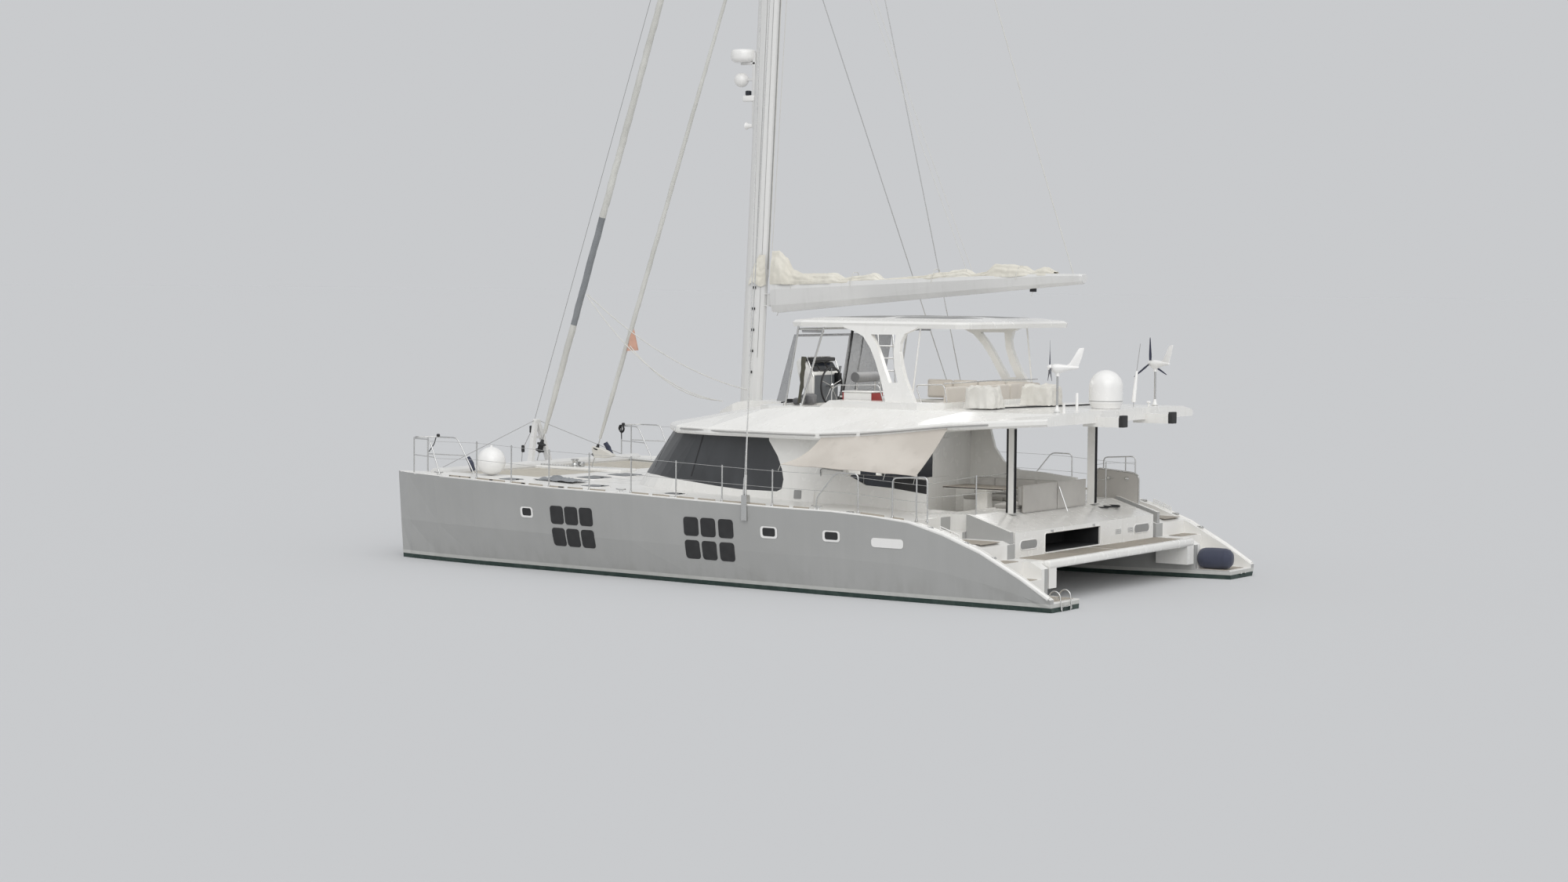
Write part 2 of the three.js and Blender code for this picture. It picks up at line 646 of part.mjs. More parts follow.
// Mast, boom and standing rigging
function mastRing(z, scale = 1) {
  const ring = [];
  const COUNT = 16;
  for (let i = 0; i < COUNT; i += 1) {
    const angle = (2 * Math.PI * i) / COUNT;
    ring.push([mastX(z) + MAST_HALF.x * scale * Math.cos(angle),
      MAST_HALF.y * scale * Math.sin(angle), z]);
  }
  return ring;
}

// A piece given upright at the gooseneck pin, leaned back with the mast
function leaned(body) {
  const geometry = geometryOf(body).rotateY(-Math.atan(MAST_RAKE));
  return solid(geometry.translate(PIN.x, 0, PIN.z));
}

const SPREADER = { z: 18600, reach: 1500, sweep: 700 };

function mastBody() {
  const tube = loft([mastRing(MAST_FOOT), mastRing(24500), mastRing(MAST_TOP, 0.72)]);
  const cheeks = [[-150, -126], [126, 150]].map(([z0, z1]) => join(box(0, 140, -60, 60, z0, z1),
    rod([0, 0, z0], [0, 0, z1], 60, 16)));
  const pin = rod([0, 0, -149], [0, 0, 149], PIN.r, 12);
  const spreaders = [-1, 1].map((side) => {
    const root = mastX(SPREADER.z);
    const ring = (y, x, halfX, halfZ) => [
      [x - halfX, y, SPREADER.z], [x, y, SPREADER.z + halfZ], [x + halfX, y, SPREADER.z],
      [x, y, SPREADER.z - halfZ],
    ];
    const tip = root - SPREADER.sweep;
    return loft([ring(0, root, 110, 28), ring(side * SPREADER.reach, tip, 55, 18)]);
  });
  return cut(join(tube, leaned(join(...cheeks, pin)), ...spreaders), flydeckTool);
}

const mast = mastBody();

// Boom sections. Columns: x, underside, top, half width at the top
const BOOM = [
  [1065, 5990, 6630, 190], [900, 5975, 6660, 215], [-1410, 6190, 6740, 215],
  [-4350, 6450, 6850, 200], [-6360, 6630, 6930, 175], [-7150, 6700, 6925, 150],
  [-7210, 6730, 6905, 130],
];

function boomBody() {
  const rings = BOOM.map(([x, under, top, half]) => [
    [x, half * 0.42, under], [x, half * 0.8, under + (top - under) * 0.25],
    [x, half, under + (top - under) * 0.8], [x, half * 0.86, top],
    [x, -half * 0.86, top], [x, -half, under + (top - under) * 0.8],
    [x, -half * 0.8, under + (top - under) * 0.25], [x, -half * 0.42, under],
  ]);
  const lug = join(box(-260, 0, -55, 55, -125, 125), rod([0, 0, -125], [0, 0, 125], 58, 16));
  const eye = cut(lug, rod([0, 0, -200], [0, 0, 200], PIN.r + 1, 12));
  return join(loft(rings), leaned(eye));
}

const boom = boomBody();

// Stowed sail on the boom. Columns: x, top above the boom, half width
const BUNDLE = [
  [960, 430, 120], [760, 400, 190], [420, 250, 210], [-200, 190, 215], [-900, 170, 205],
  [-1250, 90, 170], [-1800, 130, 190], [-2500, 70, 160], [-3300, 150, 195], [-4400, 160, 195],
  [-4700, 90, 160], [-5200, 190, 190], [-6100, 180, 180], [-6480, 60, 120],
];

function bundleBody() {
  const rings = BUNDLE.map(([x, high, half]) => {
    const base = along(BOOM, x, 2) - 60;
    const ring = [];
    const COUNT = 8;
    for (let i = 0; i <= COUNT; i += 1) {
      const angle = (Math.PI * i) / COUNT;
      ring.push([x, half * Math.cos(angle), base + (high + 60) * Math.sin(angle) ** 0.7]);
    }
    return ring;
  });
  return cut(loft(rings), moved(boom, 0, 0, SEAT));
}

// A furled sail round its stay. Columns of the profile: part of the way up, radius
function rollBody(foot, head, profile, drum, tools) {
  const a = new THREE.Vector3(...foot);
  const b = new THREE.Vector3(...head);
  const length = a.distanceTo(b);
  const points = [[0, 0], ...profile.map(([t, r]) => [r, t * length]), [0, length]];
  const geometry = new THREE.LatheGeometry(points.map(([r, z]) => new THREE.Vector2(r, z)), 10);
  const turn = new THREE.Quaternion();
  const up = b.clone().sub(a).normalize();
  turn.setFromUnitVectors(new THREE.Vector3(0, 1, 0), up);
  geometry.applyQuaternion(turn).translate(...foot);
  let body = solid(geometry);
  if (body.volume() < 0) body = solid(turnedOut(mergeVertices(plain(geometry), 1e-3)));
  const low = a.clone().addScaledVector(up, drum.from);
  const high = a.clone().addScaledVector(up, drum.to);
  const can = rod(low.toArray(), high.toArray(), drum.r, 14);
  return cut(join(body, can), ...tools);
}

const GENOA = { foot: [8272, 0, 2110], head: [1080, 0, 23490] };
const STAYSAIL = { foot: [6510, 0, 2065], head: [1380, 0, 16680] };

function genoaBody() {
  const profile = [[0, 16], [0.028, 16], [0.03, 60], [0.1, 75], [0.45, 85], [0.8, 55], [1, 14]];
  const drum = { from: 340, to: 490, r: 110 };
  return rollBody(GENOA.foot, GENOA.head, profile, drum,
    [moved(crossbeam, 0, 0, SEAT), moved(mast, SEAT, 0, 0)]);
}

function staysailBody() {
  const profile = [[0, 16], [0.045, 16], [0.048, 50], [0.3, 62], [0.75, 45], [1, 14]];
  const drum = { from: 360, to: 500, r: 95 };
  return rollBody(STAYSAIL.foot, STAYSAIL.head, profile, drum,
    [moved(catwalkBody(), 0, 0, SEAT), moved(mast, SEAT, 0, 0)]);
}

function shroudBody() {
  const chainplate = box(-1700, -1560, 4900, 5035, 1510, 2060);
  const atMast = (z) => [mastX(z) - 60, 60, z];
  // The cap shroud bends round the tip of the spreader; the lower one runs straight to the mast
  const tip = [mastX(SPREADER.z) - SPREADER.sweep, SPREADER.reach + 26, SPREADER.z];
  const starts = [[[-1655, 5010, 2000], tip], [[-1605, 5010, 2000], atMast(16400)]];
  const wires = [...starts, [tip, atMast(23200)]].map(([from, to]) => rod(from, to, 12, 6));
  const clamp = rod([tip[0], tip[1], tip[2] - 40], [tip[0], tip[1], tip[2] + 40], 18, 8);
  const turnbuckles = starts.map(([from, to]) => rod(from,
    from.map((value, axis) => mix(value, to[axis], 0.03)), 24, 6));
  const whole = join(chainplate, ...wires, clamp, ...turnbuckles);
  return cut(whole, moved(hull, 0, SEAT, 0), moved(mast, 0, SEAT, 0));
}

function radarBody() {
  const front = (z) => mastX(z) + MAST_HALF.x;
  const spine = box(1500, 1690, -70, 70, 10300, 12150);
  const radome = turned([[0, 0], [225, 0], [295, 60], [312, 150], [312, 260], [270, 305], [0, 312]],
    [1990, 0, 11880], 20);
  const arm = box(1550, 1990, -50, 50, 11820, 11900);
  const eye = solid(new THREE.SphereGeometry(175, 10, 6).translate(2050, 0, 11470));
  const eyeArm = box(1550, 2050, -40, 40, 11440, 11500);
  const lamp = softBox(1640, 1980, -80, 80, 10950, 11100, 25);
  const horn = rod([1600, 0, 10380], [1900, 0, 10380], 40, 10, 85);
  const whole = join(spine, radome, arm, eye, eyeArm, lamp, horn);
  const rear = box(1000, front(12250) - 40, -200, 200, 10000, 13000);
  return cut(whole, rear, moved(mast, SEAT, 0, 0));
}

// Rails round the deck: a bow pulpit, stanchions and two wires
const RAIL_POSTS = [6210, 5140, 4020, 2880, 1670, 410, -850, -2190];
// Hoops of the side gates. Columns: x and height above the deck edge
const RAIL_HOOPS = [
  [[-3330, -30], [-3340, 230], [-3830, 805], [-4390, 830], [-4395, -30]],
  [[-5250, -30], [-5250, 840], [-6100, 940], [-6110, -30]],
];
const HOOP_POST = { x: -5840, height: 909 };
// Where the two wires meet the legs of the hoops, by their share of a post's height
const HOOP_WIRES = { 0.5: [-3480, -4393, -5250, -6107], 0.94: [-3780, -4391, -5250, -6104] };

function guardrailBody() {
  const outerY = (x) => along(HULL, x, 1) - 245;
  const R = 17;
  const WIRE = 8;
  const height = (x) => mix(870, 790, THREE.MathUtils.clamp((6210 - x) / 8000, 0, 1));
  const foot = (x) => [x, outerY(x), sheerAt(x) - 30];
  const head = (x, share = 1) => [x, outerY(x), sheerAt(x) + height(x) * share];
  const LEG = { x: 7430, y: 4620, z0: 2030, z1: 3000 }; // leaning aft leg of the pulpit
  const onLeg = (share) => {
    const z = head(LEG.x, share)[2];
    return [LEG.x, mix(LEG.y, outerY(LEG.x), (z - LEG.z0) / (LEG.z1 - LEG.z0)), z];
  };
  const parts = RAIL_POSTS.map((x) => rod(foot(x), head(x), R, 5));
  const onHoop = ([x, rise]) => [x, outerY(x), sheerAt(x) + rise];
  for (const hoop of RAIL_HOOPS) parts.push(bentTube(hoop.map(onHoop), R, 5));
  parts.push(rod(foot(HOOP_POST.x), onHoop([HOOP_POST.x, HOOP_POST.height]), R, 5));
  for (const share of [0.5, 0.94]) {
    const stops = [...RAIL_POSTS, ...HOOP_WIRES[share]];
    const ends = [onLeg(share), ...stops.map((x) => head(x, share))];
    for (let i = 0; i + 1 < ends.length; i += 1) {
      parts.push(rod(ends[i], ends[i + 1], WIRE, 3));
    }
  }
  const outer = [[LEG.x, LEG.y, LEG.z0], [7600, 4590, 2960], [8500, 4330, 2990],
    [8780, 4050, 2995]];
  const inner = outer.slice(0, 3).map(([x, y, z]) => [x, 8100 - y - 20, z]);
  parts.push(bentTube([...outer, ...inner.reverse()], R));
  parts.push(rod([LEG.x, LEG.y, LEG.z0], [LEG.x, outerY(LEG.x), LEG.z1], R, 6));
  parts.push(bentTube([[8500, 4330, 2990], [8560, 4240, 2030]], R));
  parts.push(bentTube([[8500, 3750, 2990], [8560, 3850, 2030]], R));
  parts.push(rod([7515, 4605, 2500], [8530, 4280, 2520], 12, 6));
  parts.push(rod([7515, 3475, 2500], [8530, 3805, 2520], 12, 6));
  return cut(join(...parts), moved(hull, 0, 0, SEAT));
}

// Cockpit
function aftSofaBody() {
  const outline = [[-5800, 1700], [-5800, 1880], [-6340, 1880], [-6380, 2300], [-6560, 2300],
    [-6560, 1700]];
  return cut(sideSlab(outline, -1440, 1410), deckTool);
}

function benchBody() {
  const outline = [[-2640, 1200], [-2640, 2150], [-2500, 2150], [-2460, 1760], [-1950, 1760],
    [-1950, 1200]];
  const ring = (x) => outline.map(([y, z]) => [x, y, z]);
  return cut(loft([ring(-5200), ring(-3000)]), deckTool);
}

function tableBody() {
  const top = softBox(-4900, -3300, -1600, -550, 1990, 2035, 20);
  const leg = box(-4250, -3950, -1200, -950, 1250, 2000);
  return cut(join(top, leg), deckTool);
}

function platformBody() {
  const deck = softBox(-8300, TRANSOM_X - SEAT, -3400, 3400, 740, 900, 40);
  const ends = [-1, 1].map((side) => {
    const y = [side * 3080, side * 3400].sort((a, b) => a - b);
    return box(-8300, -7500, y[0], y[1], 330, 860);
  });
  return cut(join(deck, ...ends), hullsTool);
}

// Side awning: from the roof's brim out and down to the rail. Rows: the top edge, the
// middle and the lower edge; each row from front to back
const AWNING = [
  [[-2850, 3827.4 + SEAT, 3314], [-4400, 3800 + SEAT, 3433], [-5960, 3700 + SEAT, 3623]],
  [[-2595, 4214, 2928], [-4300, 4200, 2968], [-5860, 4150, 3031]],
  [[-2340, 4660, 2725], [-4200, 4660, 2675], [-5760, 4660, 2622]],
];

// One flat prism under each triangle, so the cloth is equally thick where it twists
function awningBody() {
  const THICK = 20;
  const prisms = [];
  for (const [upper, lower] of [[AWNING[0], AWNING[1]], [AWNING[1], AWNING[2]]]) {
    for (const k of [0, 1]) {
      const [a, b, c, d] = [upper[k], lower[k], upper[k + 1], lower[k + 1]];
      for (const triangle of [[a, b, c], [b, d, c]]) {
        const low = triangle.map(([x, y, z]) => [x, y, z - THICK]);
        prisms.push(wasm.Manifold.hull([...triangle, ...low]));
      }
    }
  }
  return join(...prisms);
}

// Under water
const POD = { back: 320, front: 300 }; // reach of the drive's pod from its leg

function saildriveBody() {
  const leg = [];
  for (const [z, chord, half] of [[-500, 190, 55], [DRIVE.z, 150, 42]]) {
    const ring = [];
    for (let i = 0; i < 12; i += 1) {
      const angle = (2 * Math.PI * i) / 12;
      ring.push([DRIVE.x + chord * Math.cos(angle), DRIVE.y + half * Math.sin(angle), z]);
    }
    leg.push(ring);
  }
  const profile = [[0, -POD.back], [60, -POD.back], [82, -100], [78, 150], [40, 270], [0, POD.front]];
  const pod = turned(profile, [DRIVE.x, DRIVE.y, DRIVE.z], 12, true);
  return cut(join(loft(leg), pod), moved(hull, 0, 0, -SEAT));
}

function bladeRing(radius, halfChord, pitch, thick) {
  return [[-1, -1], [1, -1], [1, 1], [-1, 1]].map(([u, v]) => {
    const [c, s] = [Math.cos(pitch), Math.sin(pitch)];
    return [u * halfChord * s + v * thick * c, u * halfChord * c - v * thick * s, radius];
  });
}

// Blades about the X axis. Columns of each section: radius, half chord, pitch, half thickness
function rotor(hub, sections, count) {
  const blade = loft(sections.map((section) => bladeRing(...section)));
  const parts = [hub];
  for (let i = 0; i < count; i += 1) {
    parts.push(solid(geometryOf(blade).rotateX((2 * Math.PI * i) / count)));
  }
  return join(...parts);
}

function propellerBody() {
  const hub = turned([[0, -130], [35, -110], [60, -40], [60, 0], [0, 0]], [0, 0, 0], 12, true);
  const blades = [[20, 40, 1.0, 12], [120, 75, 0.8, 9], [210, 70, 0.6, 6], [250, 35, 0.55, 4]];
  const SET_BACK = 60; // of the blades, behind the face that meets the drive
  const spun = moved(rotor(hub, blades, 3), -SET_BACK, 0, 0);
  const collar = turned([[0, -100], [60, -100], [60, 0], [0, 0]], [0, 0, 0], 12, true);
  return moved(join(spun, collar), DRIVE.x - POD.back - SEAT, DRIVE.y, DRIVE.z);
}

function rudderBody() {
  const rings = [[-430, 300, 42], [-1250, 240, 30]].map(([z, half, thin]) => {
    const ring = [];
    for (let i = 0; i < 14; i += 1) {
      const angle = (2 * Math.PI * i) / 14;
      ring.push([RUDDER.x - 110 + half * Math.cos(angle), RUDDER.y + thin * Math.sin(angle), z]);
    }
    return ring;
  });
  const stock = rod([RUDDER.x, RUDDER.y, -500], [RUDDER.x, RUDDER.y, STOCK.top - SEAT], STOCK.r, 12);
  return join(loft(rings), stock);
}

function ladderBody() {
  const y = [LADDER.y - 180, LADDER.y + 180];
  const parts = y.map((side) => rod([LADDER.x, side, LADDER.z + 14], [LADDER.x, side, -760], 14, 8));
  for (const z of [LADDER.z, -130, -360, -590]) {
    parts.push(rod([LADDER.x, y[0], z], [LADDER.x, y[1], z], 12, 10));
  }
  return join(...parts);
}

// Wind turbines at the aft corners of the roof
function turbinePoleBody() {
  const pole = rod([TURBINE.x, TURBINE.y, 3900], [TURBINE.x, TURBINE.y, TURBINE.poleTop], 25, 10);
  const flange = rod([TURBINE.x, TURBINE.y, 3900], [TURBINE.x, TURBINE.y, 4010], 70, 12);
  return cut(join(pole, flange), flydeckTool);
}

function turbineHeadBody() {
  const { x, y, hubX, hubZ, poleTop } = TURBINE;
  const nacelle = turned([[0, -580], [32, -560], [56, -400], [84, -270], [92, -130], [74, 0],
    [0, 0]], [hubX, y, hubZ], 14, true);
  const socket = rod([x, y, poleTop + SEAT], [x, y, hubZ], 42, 12);
  const tail = [[-8020, 4900], [-8036, 4990], [-8180, 5190], [-8270, 5345], [-8385, 5350],
    [-8330, 5150], [-8262, 4975], [-8240, 4900]];
  return join(nacelle, socket, sideSlab(tail, y - 15, y + 15));
}

function turbineRotorBody() {
  const hub = turned([[0, 0], [62, 0], [60, 50], [38, 82], [0, 95]], [0, 0, 0], 14, true);
  const blades = [[30, 34, 0.5, 8], [180, 52, 0.35, 7], [580, 18, 0.15, 3]];
  const boss = turned([[0, 10], [50, 10], [50, 50], [0, 50]], [0, 0, 0], 14, true);
  const BLADE_LINE = 30; // distance of the blades in front of the hub's back
  const spun = moved(rotor(boss, blades, 3), BLADE_LINE, 0, 0);
  return moved(join(hub, spun), TURBINE.hubX + SEAT, TURBINE.y, TURBINE.hubZ);
}

function domeBody() {
  const profile = [[0, 0], [330, 0], [330, 110], [370, 150], [372, 480]];
  for (let i = 1; i <= 5; i += 1) {
    const angle = (Math.PI / 2) * (i / 5);
    profile.push([372 * Math.cos(angle), 480 + 372 * Math.sin(angle)]);
  }
  profile[profile.length - 1][0] = 0;
  return turned(profile, [-7780, 0, ROOF_TOP + SEAT], 20);
}

function doorBody() {
  return box(-2480, -2430, -DOOR.leaf, DOOR.leaf, WELL_FLOOR + SEAT, 3170);
}

function ballBody() {
  const R = 340;
  const ball = new THREE.SphereGeometry(R, 14, 10).rotateX(Math.PI / 2);
  return solid(ball.translate(6750, 3560, sheerAt(6750) + SEAT + R));
}

addPair('hull', hull, 'silver');
addPair('keel', keelBody(hull), 'keel');
add('bridgedeck', bridge, 'white');
add('bow_crossbeam', crossbeam, 'spar');
add('catwalk', catwalkBody(), 'white');
addPair('trampoline', trampolineBody(), 'net');
add('deckhouse', deckhouseBody(), 'white');
add('saloon_glass', glassBody(), 'glass');
add('flydeck', flydeck, 'white');
addPair('roof_post', postBody(), 'steel');
add('satcom_dome', domeBody(), 'white');
add('hardtop', hardtop, 'white');
addPair('hardtop_arch', archBody(), 'white');
add('windscreen_frame', windscreenBody(), 'steel');
add('helm_console', consoleBody(), 'white');
add('helm_seat', helmSeatBody(), 'cushion');
add('lounger_port', loungerBody(-6250, -5440, 1600, 2320), 'cloth');
add('lounger_centre', loungerBody(-6560, -5680, -480, 280), 'cloth');
add('mast', mast, 'spar');
add('genoa_roll', genoaBody(), 'roll');
add('staysail_roll', staysailBody(), 'roll');
addPair('shrouds', shroudBody(), 'steel');
add('radar_stack', radarBody(), 'white');
add('aft_sofa', aftSofaBody(), 'cushion');
add('cockpit_bench', benchBody(), 'cushion');
add('cockpit_table', tableBody(), 'wood');
add('stern_platform', platformBody(), 'white');
addPair('guardrail', guardrailBody(), 'steel');
addPair('saildrive', saildriveBody(), 'keel');
addPair('turbine_pole', turbinePoleBody(), 'steel');
add('awning', awningBody(), 'cloth');
add('ball_fender', ballBody(), 'white');
add('boom', boom, 'spar', [PIN.x, 0, PIN.z]);
add('mainsail_bundle', bundleBody(), 'sail', [PIN.x, 0, PIN.z]);
add('helm_wheel', wheelBody(), 'steel', [WHEEL.x, WHEEL.y, WHEEL.z]);
addPair('rudder', rudderBody(), 'keel', [RUDDER.x, RUDDER.y, -500]);
addPair('propeller', propellerBody(), 'bronze', [DRIVE.x - 400, DRIVE.y, DRIVE.z]);
for (const [side, sign] of [['port', 1], ['starboard', -1]]) {
  const { x, poleTop, hubX, hubZ } = TURBINE;
  const y = sign * TURBINE.y;
  const angle = THREE.MathUtils.degToRad(YAW[side]);
  const turnedBody = (body) => {
    const own = geometryOf(sign > 0 ? body : mirrored(body)).translate(-x, -y, 0);
    return solid(own.rotateZ(angle).translate(x, y, 0));
  };
  const hubAt = [x + (hubX - x) * Math.cos(angle), y + (hubX - x) * Math.sin(angle), hubZ];
  add(`turbine_head_${side}`, turnedBody(turbineHeadBody()), 'white', [x, y, poleTop]);
  add(`turbine_rotor_${side}`, turnedBody(turbineRotorBody()), 'blade', hubAt);
}
add('swim_ladder', ladderBody(), 'steel', [LADDER.x, LADDER.y, LADDER.z]);
add('saloon_door', doorBody(), 'glass', [-2455, 0, WELL_FLOOR]);

export default boat;
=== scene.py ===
# %% [markdown]
# # A sailing catamaran, dressed around its solids
# The solids of the boat come first, already in place, in metres: +X points to the bows, +Y to port
# and +Z up, with the water at height 0. Everything that a solid can't show is made here: windows,
# rails, wires, cloth, treads and the finish of each surface.

# %% Load the frame
from math import atan2, copysign, cos, degrees, exp, hypot, pi, radians, sin, sqrt

import bpy
from mathutils import Matrix, Vector
from mathutils.noise import noise as bumps, noise_vector as wobble


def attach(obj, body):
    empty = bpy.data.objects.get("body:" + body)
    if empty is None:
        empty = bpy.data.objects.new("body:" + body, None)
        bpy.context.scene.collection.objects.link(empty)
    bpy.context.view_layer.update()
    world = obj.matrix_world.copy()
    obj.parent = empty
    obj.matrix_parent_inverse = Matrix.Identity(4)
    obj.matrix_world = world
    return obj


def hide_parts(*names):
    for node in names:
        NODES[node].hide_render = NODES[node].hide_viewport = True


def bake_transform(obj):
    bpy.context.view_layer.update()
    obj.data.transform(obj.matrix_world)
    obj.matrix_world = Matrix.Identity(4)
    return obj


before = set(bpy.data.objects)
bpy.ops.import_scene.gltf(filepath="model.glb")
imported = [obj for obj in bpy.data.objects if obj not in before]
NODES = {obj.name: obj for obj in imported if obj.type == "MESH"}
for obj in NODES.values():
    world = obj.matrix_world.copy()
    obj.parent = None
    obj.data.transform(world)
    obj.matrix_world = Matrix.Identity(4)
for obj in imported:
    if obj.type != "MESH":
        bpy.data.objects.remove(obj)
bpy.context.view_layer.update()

# %% [markdown]
# ## The camera
# The camera stands where the photographer stood, about 67 metres away and 6.7 metres above the
# water. Its place and aim were worked out from the boat's own lines. A long lens keeps the hulls
# nearly parallel, so the lens is as important as the place.

# %% Camera
YAW, PITCH, ROLL = -0.973, 0.0559, 0.0079
LENS_MM, SENSOR_MM = 65.56, 36.0

ahead = Vector((cos(YAW) * cos(PITCH), sin(YAW) * cos(PITCH), -sin(PITCH)))
level = Vector((sin(YAW), -cos(YAW), 0.0))
upward = level.cross(ahead)
right = level * cos(ROLL) + upward * sin(ROLL)
top = upward * cos(ROLL) - level * sin(ROLL)

bpy.ops.object.camera_add(location=(-37.179, 55.707, 6.7137))
camera = bpy.context.object
camera.rotation_euler = Matrix((right, top, -ahead)).transposed().to_euler()
camera.data.lens = LENS_MM
camera.data.sensor_width = SENSOR_MM
camera.data.clip_end = 4000.0
bpy.context.scene.camera = camera
bpy.context.scene.view_settings.view_transform = "Standard"
print("camera lens", camera.data.lens)

# %% [markdown]
# ## Floor and light
# A plain pale floor lies at the waterline, so the boat sits in it as it sits in the sea. The light
# is that of a bright overcast day: an even pale sky, with two suns made very wide so that their
# shadows are soft. A sun lights a floor of any size evenly, which a lamp nearby doesn't. The
# floor's own colour is then chosen so that, lit by both, it is just as bright as the sky, and no
# horizon shows behind the boat.

# %% Sky and suns
SKY = (0.585, 0.595, 0.61)
SUNS = (("high_sun", (-14.0, 12.0, 30.0), 70.0, 1.15),
        ("side_sun", (-24.0, 30.0, 15.0), 50.0, 0.75))
# Sunlit decks and water throw light up under the two roofs, which these soft lamps stand for
GLOWS = (("light_under_the_roof", (-4.2, 0.6, 3.18), 2.6, 45.0),
         ("light_under_the_hardtop", (-3.2, 0.3, 5.55), 2.8, 60.0))

world = bpy.data.worlds.new("pale_sky")
world.use_nodes = True
world.node_tree.nodes["Background"].inputs["Color"].default_value = (*SKY, 1)
world.node_tree.nodes["Background"].inputs["Strength"].default_value = 1.0
bpy.context.scene.world = world

sun_on_floor = 0.0
for sun_name, place, spread, power in SUNS:
    bpy.ops.object.light_add(type="SUN", location=place)
    sun = bpy.context.object
    sun.name = sun_name
    sun.data.angle, sun.data.energy = radians(spread), power
    sun.rotation_euler = Vector(place).to_track_quat("Z", "Y").to_euler()
    sun_on_floor += power / pi * Vector(place).normalized().z
for lamp_name, place, wide, power in GLOWS:
    bpy.ops.object.light_add(type="AREA", location=place)
    glow = bpy.context.object
    glow.name = lamp_name
    glow.data.size, glow.data.energy = wide, power
print("the suns light the floor with", round(sun_on_floor, 3))

# %% Floor
FLOOR_SIZE = 3000.0
FLOOR_COLOUR = [glow / (glow + sun_on_floor) for glow in SKY]

bpy.ops.mesh.primitive_plane_add(size=FLOOR_SIZE, location=(0, 0, 0))
floor = bpy.context.object
floor.name = "studio_floor"
print("floor colour", [round(share, 3) for share in FLOOR_COLOUR])

# %% [markdown]
# ## A short way to write shader maths
# A material is a network of nodes. Wrapping a node's output in a small class lets Python's own
# signs add the Math nodes: `height * 0.5 + 1` becomes two nodes. `Finish` holds one material, and
# its `node` method adds any other node: the settings first, then what goes into each socket.

# %% The value of a socket
class Value:
    """An output of a node; arithmetic on it adds Math nodes."""

    def __init__(self, finish, socket):
        self.finish, self.socket = finish, socket

    def math(self, operation, first, second):
        return self.finish.node("ShaderNodeMath", {"operation": operation}, {0: first, 1: second})

    def __rsub__(self, other):
        return self.math("SUBTRACT", other, self)

    def size(self):
        return self.math("ABSOLUTE", self, 0.0)

    def wave(self, pitch):
        """Goes up and down once in every pitch metres."""
        return self.math("PINGPONG", self, pitch / 2) * (2 / pitch)


for sign, operation in (
        ("add", "ADD"), ("radd", "ADD"), ("sub", "SUBTRACT"), ("mul", "MULTIPLY"),
        ("rmul", "MULTIPLY"), ("truediv", "DIVIDE"), ("gt", "GREATER_THAN"), ("lt", "LESS_THAN")):
    setattr(Value, f"__{sign}__",
            lambda self, other, operation=operation: self.math(operation, self, other))


# %% A finish and its nodes
class Finish:
    """One material, built up from nodes."""

    def __init__(self, name):
        self.material = bpy.data.materials.new(name)
        self.material.use_nodes = True
        self.tree = self.material.node_tree
        self.shader = self.tree.nodes["Principled BSDF"]
        self.spot = self.node("ShaderNodeTexCoord", output="Object")
        self.x, self.y, self.z = (self.node("ShaderNodeSeparateXYZ", {}, {0: self.spot}, axis)
            for axis in "XYZ")

    def put(self, value, socket):
        """Links a node's value to a socket, or sets a plain one on it."""
        if isinstance(value, Value):
            self.tree.links.new(value.socket, socket)
        else:
            socket.default_value = value

    def node(self, kind, settings=None, sockets=None, output=0):
        made = self.tree.nodes.new(kind)
        for key, setting in (settings or {}).items():
            setattr(made, key, setting)
        for key, value in (sockets or {}).items():
            self.put(value, made.inputs[key])
        return Value(self, made.outputs[output])

    def stretched(self, factors):
        return self.node("ShaderNodeVectorMath", {"operation": "MULTIPLY"},
            {0: self.spot, 1: factors})

    def noise(self, scale, detail=2.0, stretch=None, rough=0.5):
        spot = self.stretched(stretch) if stretch else self.spot
        return self.node("ShaderNodeTexNoise", {}, {
            "Vector": spot, "Scale": scale, "Detail": detail, "Roughness": rough})

    def mix(self, share, colour_a, colour_b):
        sockets = {"Factor": share, "A": colour_a, "B": colour_b}
        made = self.tree.nodes.new("ShaderNodeMix")
        made.data_type = "RGBA"
        for socket in made.inputs:
            if socket.enabled and socket.name in sockets:
                self.put(sockets[socket.name], socket)
        return Value(self, next(out for out in made.outputs if out.enabled))

    def step(self, value, low, high):
        """0 below low, 1 above high, and smooth between them."""
        return self.node("ShaderNodeMapRange", {"interpolation_type": "SMOOTHSTEP"},
            {"Value": value, "From Min": low, "From Max": high})

    def facing_up(self):
        """1 where the surface faces upwards."""
        normal = self.node("ShaderNodeNewGeometry", output="True Normal")
        return self.node("ShaderNodeSeparateXYZ", {}, {0: normal}, "Z")

    def relief(self, height, distance, strength=1.0):
        return self.node("ShaderNodeBump", {}, {
            "Height": height, "Distance": distance, "Strength": strength})

    def surface(self, **sockets):
        for key, value in sockets.items():
            self.put(value, self.shader.inputs[key.replace("_", " ")])
        return self.material


def rgb(red, green, blue):
    return (red, green, blue, 1.0)


# %% [markdown]
# ## Paint of the hulls
# The topsides are a satin silver-grey paint that has been at sea for years: faint upright streaks
# where rain has run down, and cloudier patches near the water. A pale boot stripe runs just above
# the water, with dark green antifouling below it. The deck and the inside of the stern steps are
# white gelcoat. All of these meet on one mesh, so they are told apart by height, by place and by
# which way the surface faces.

# %% Topside paint
STRIPE_LOW, STRIPE_HIGH = 0.1, 0.18
STERN_STEPS_X = -5.755
BULWARK_Y = 4.7

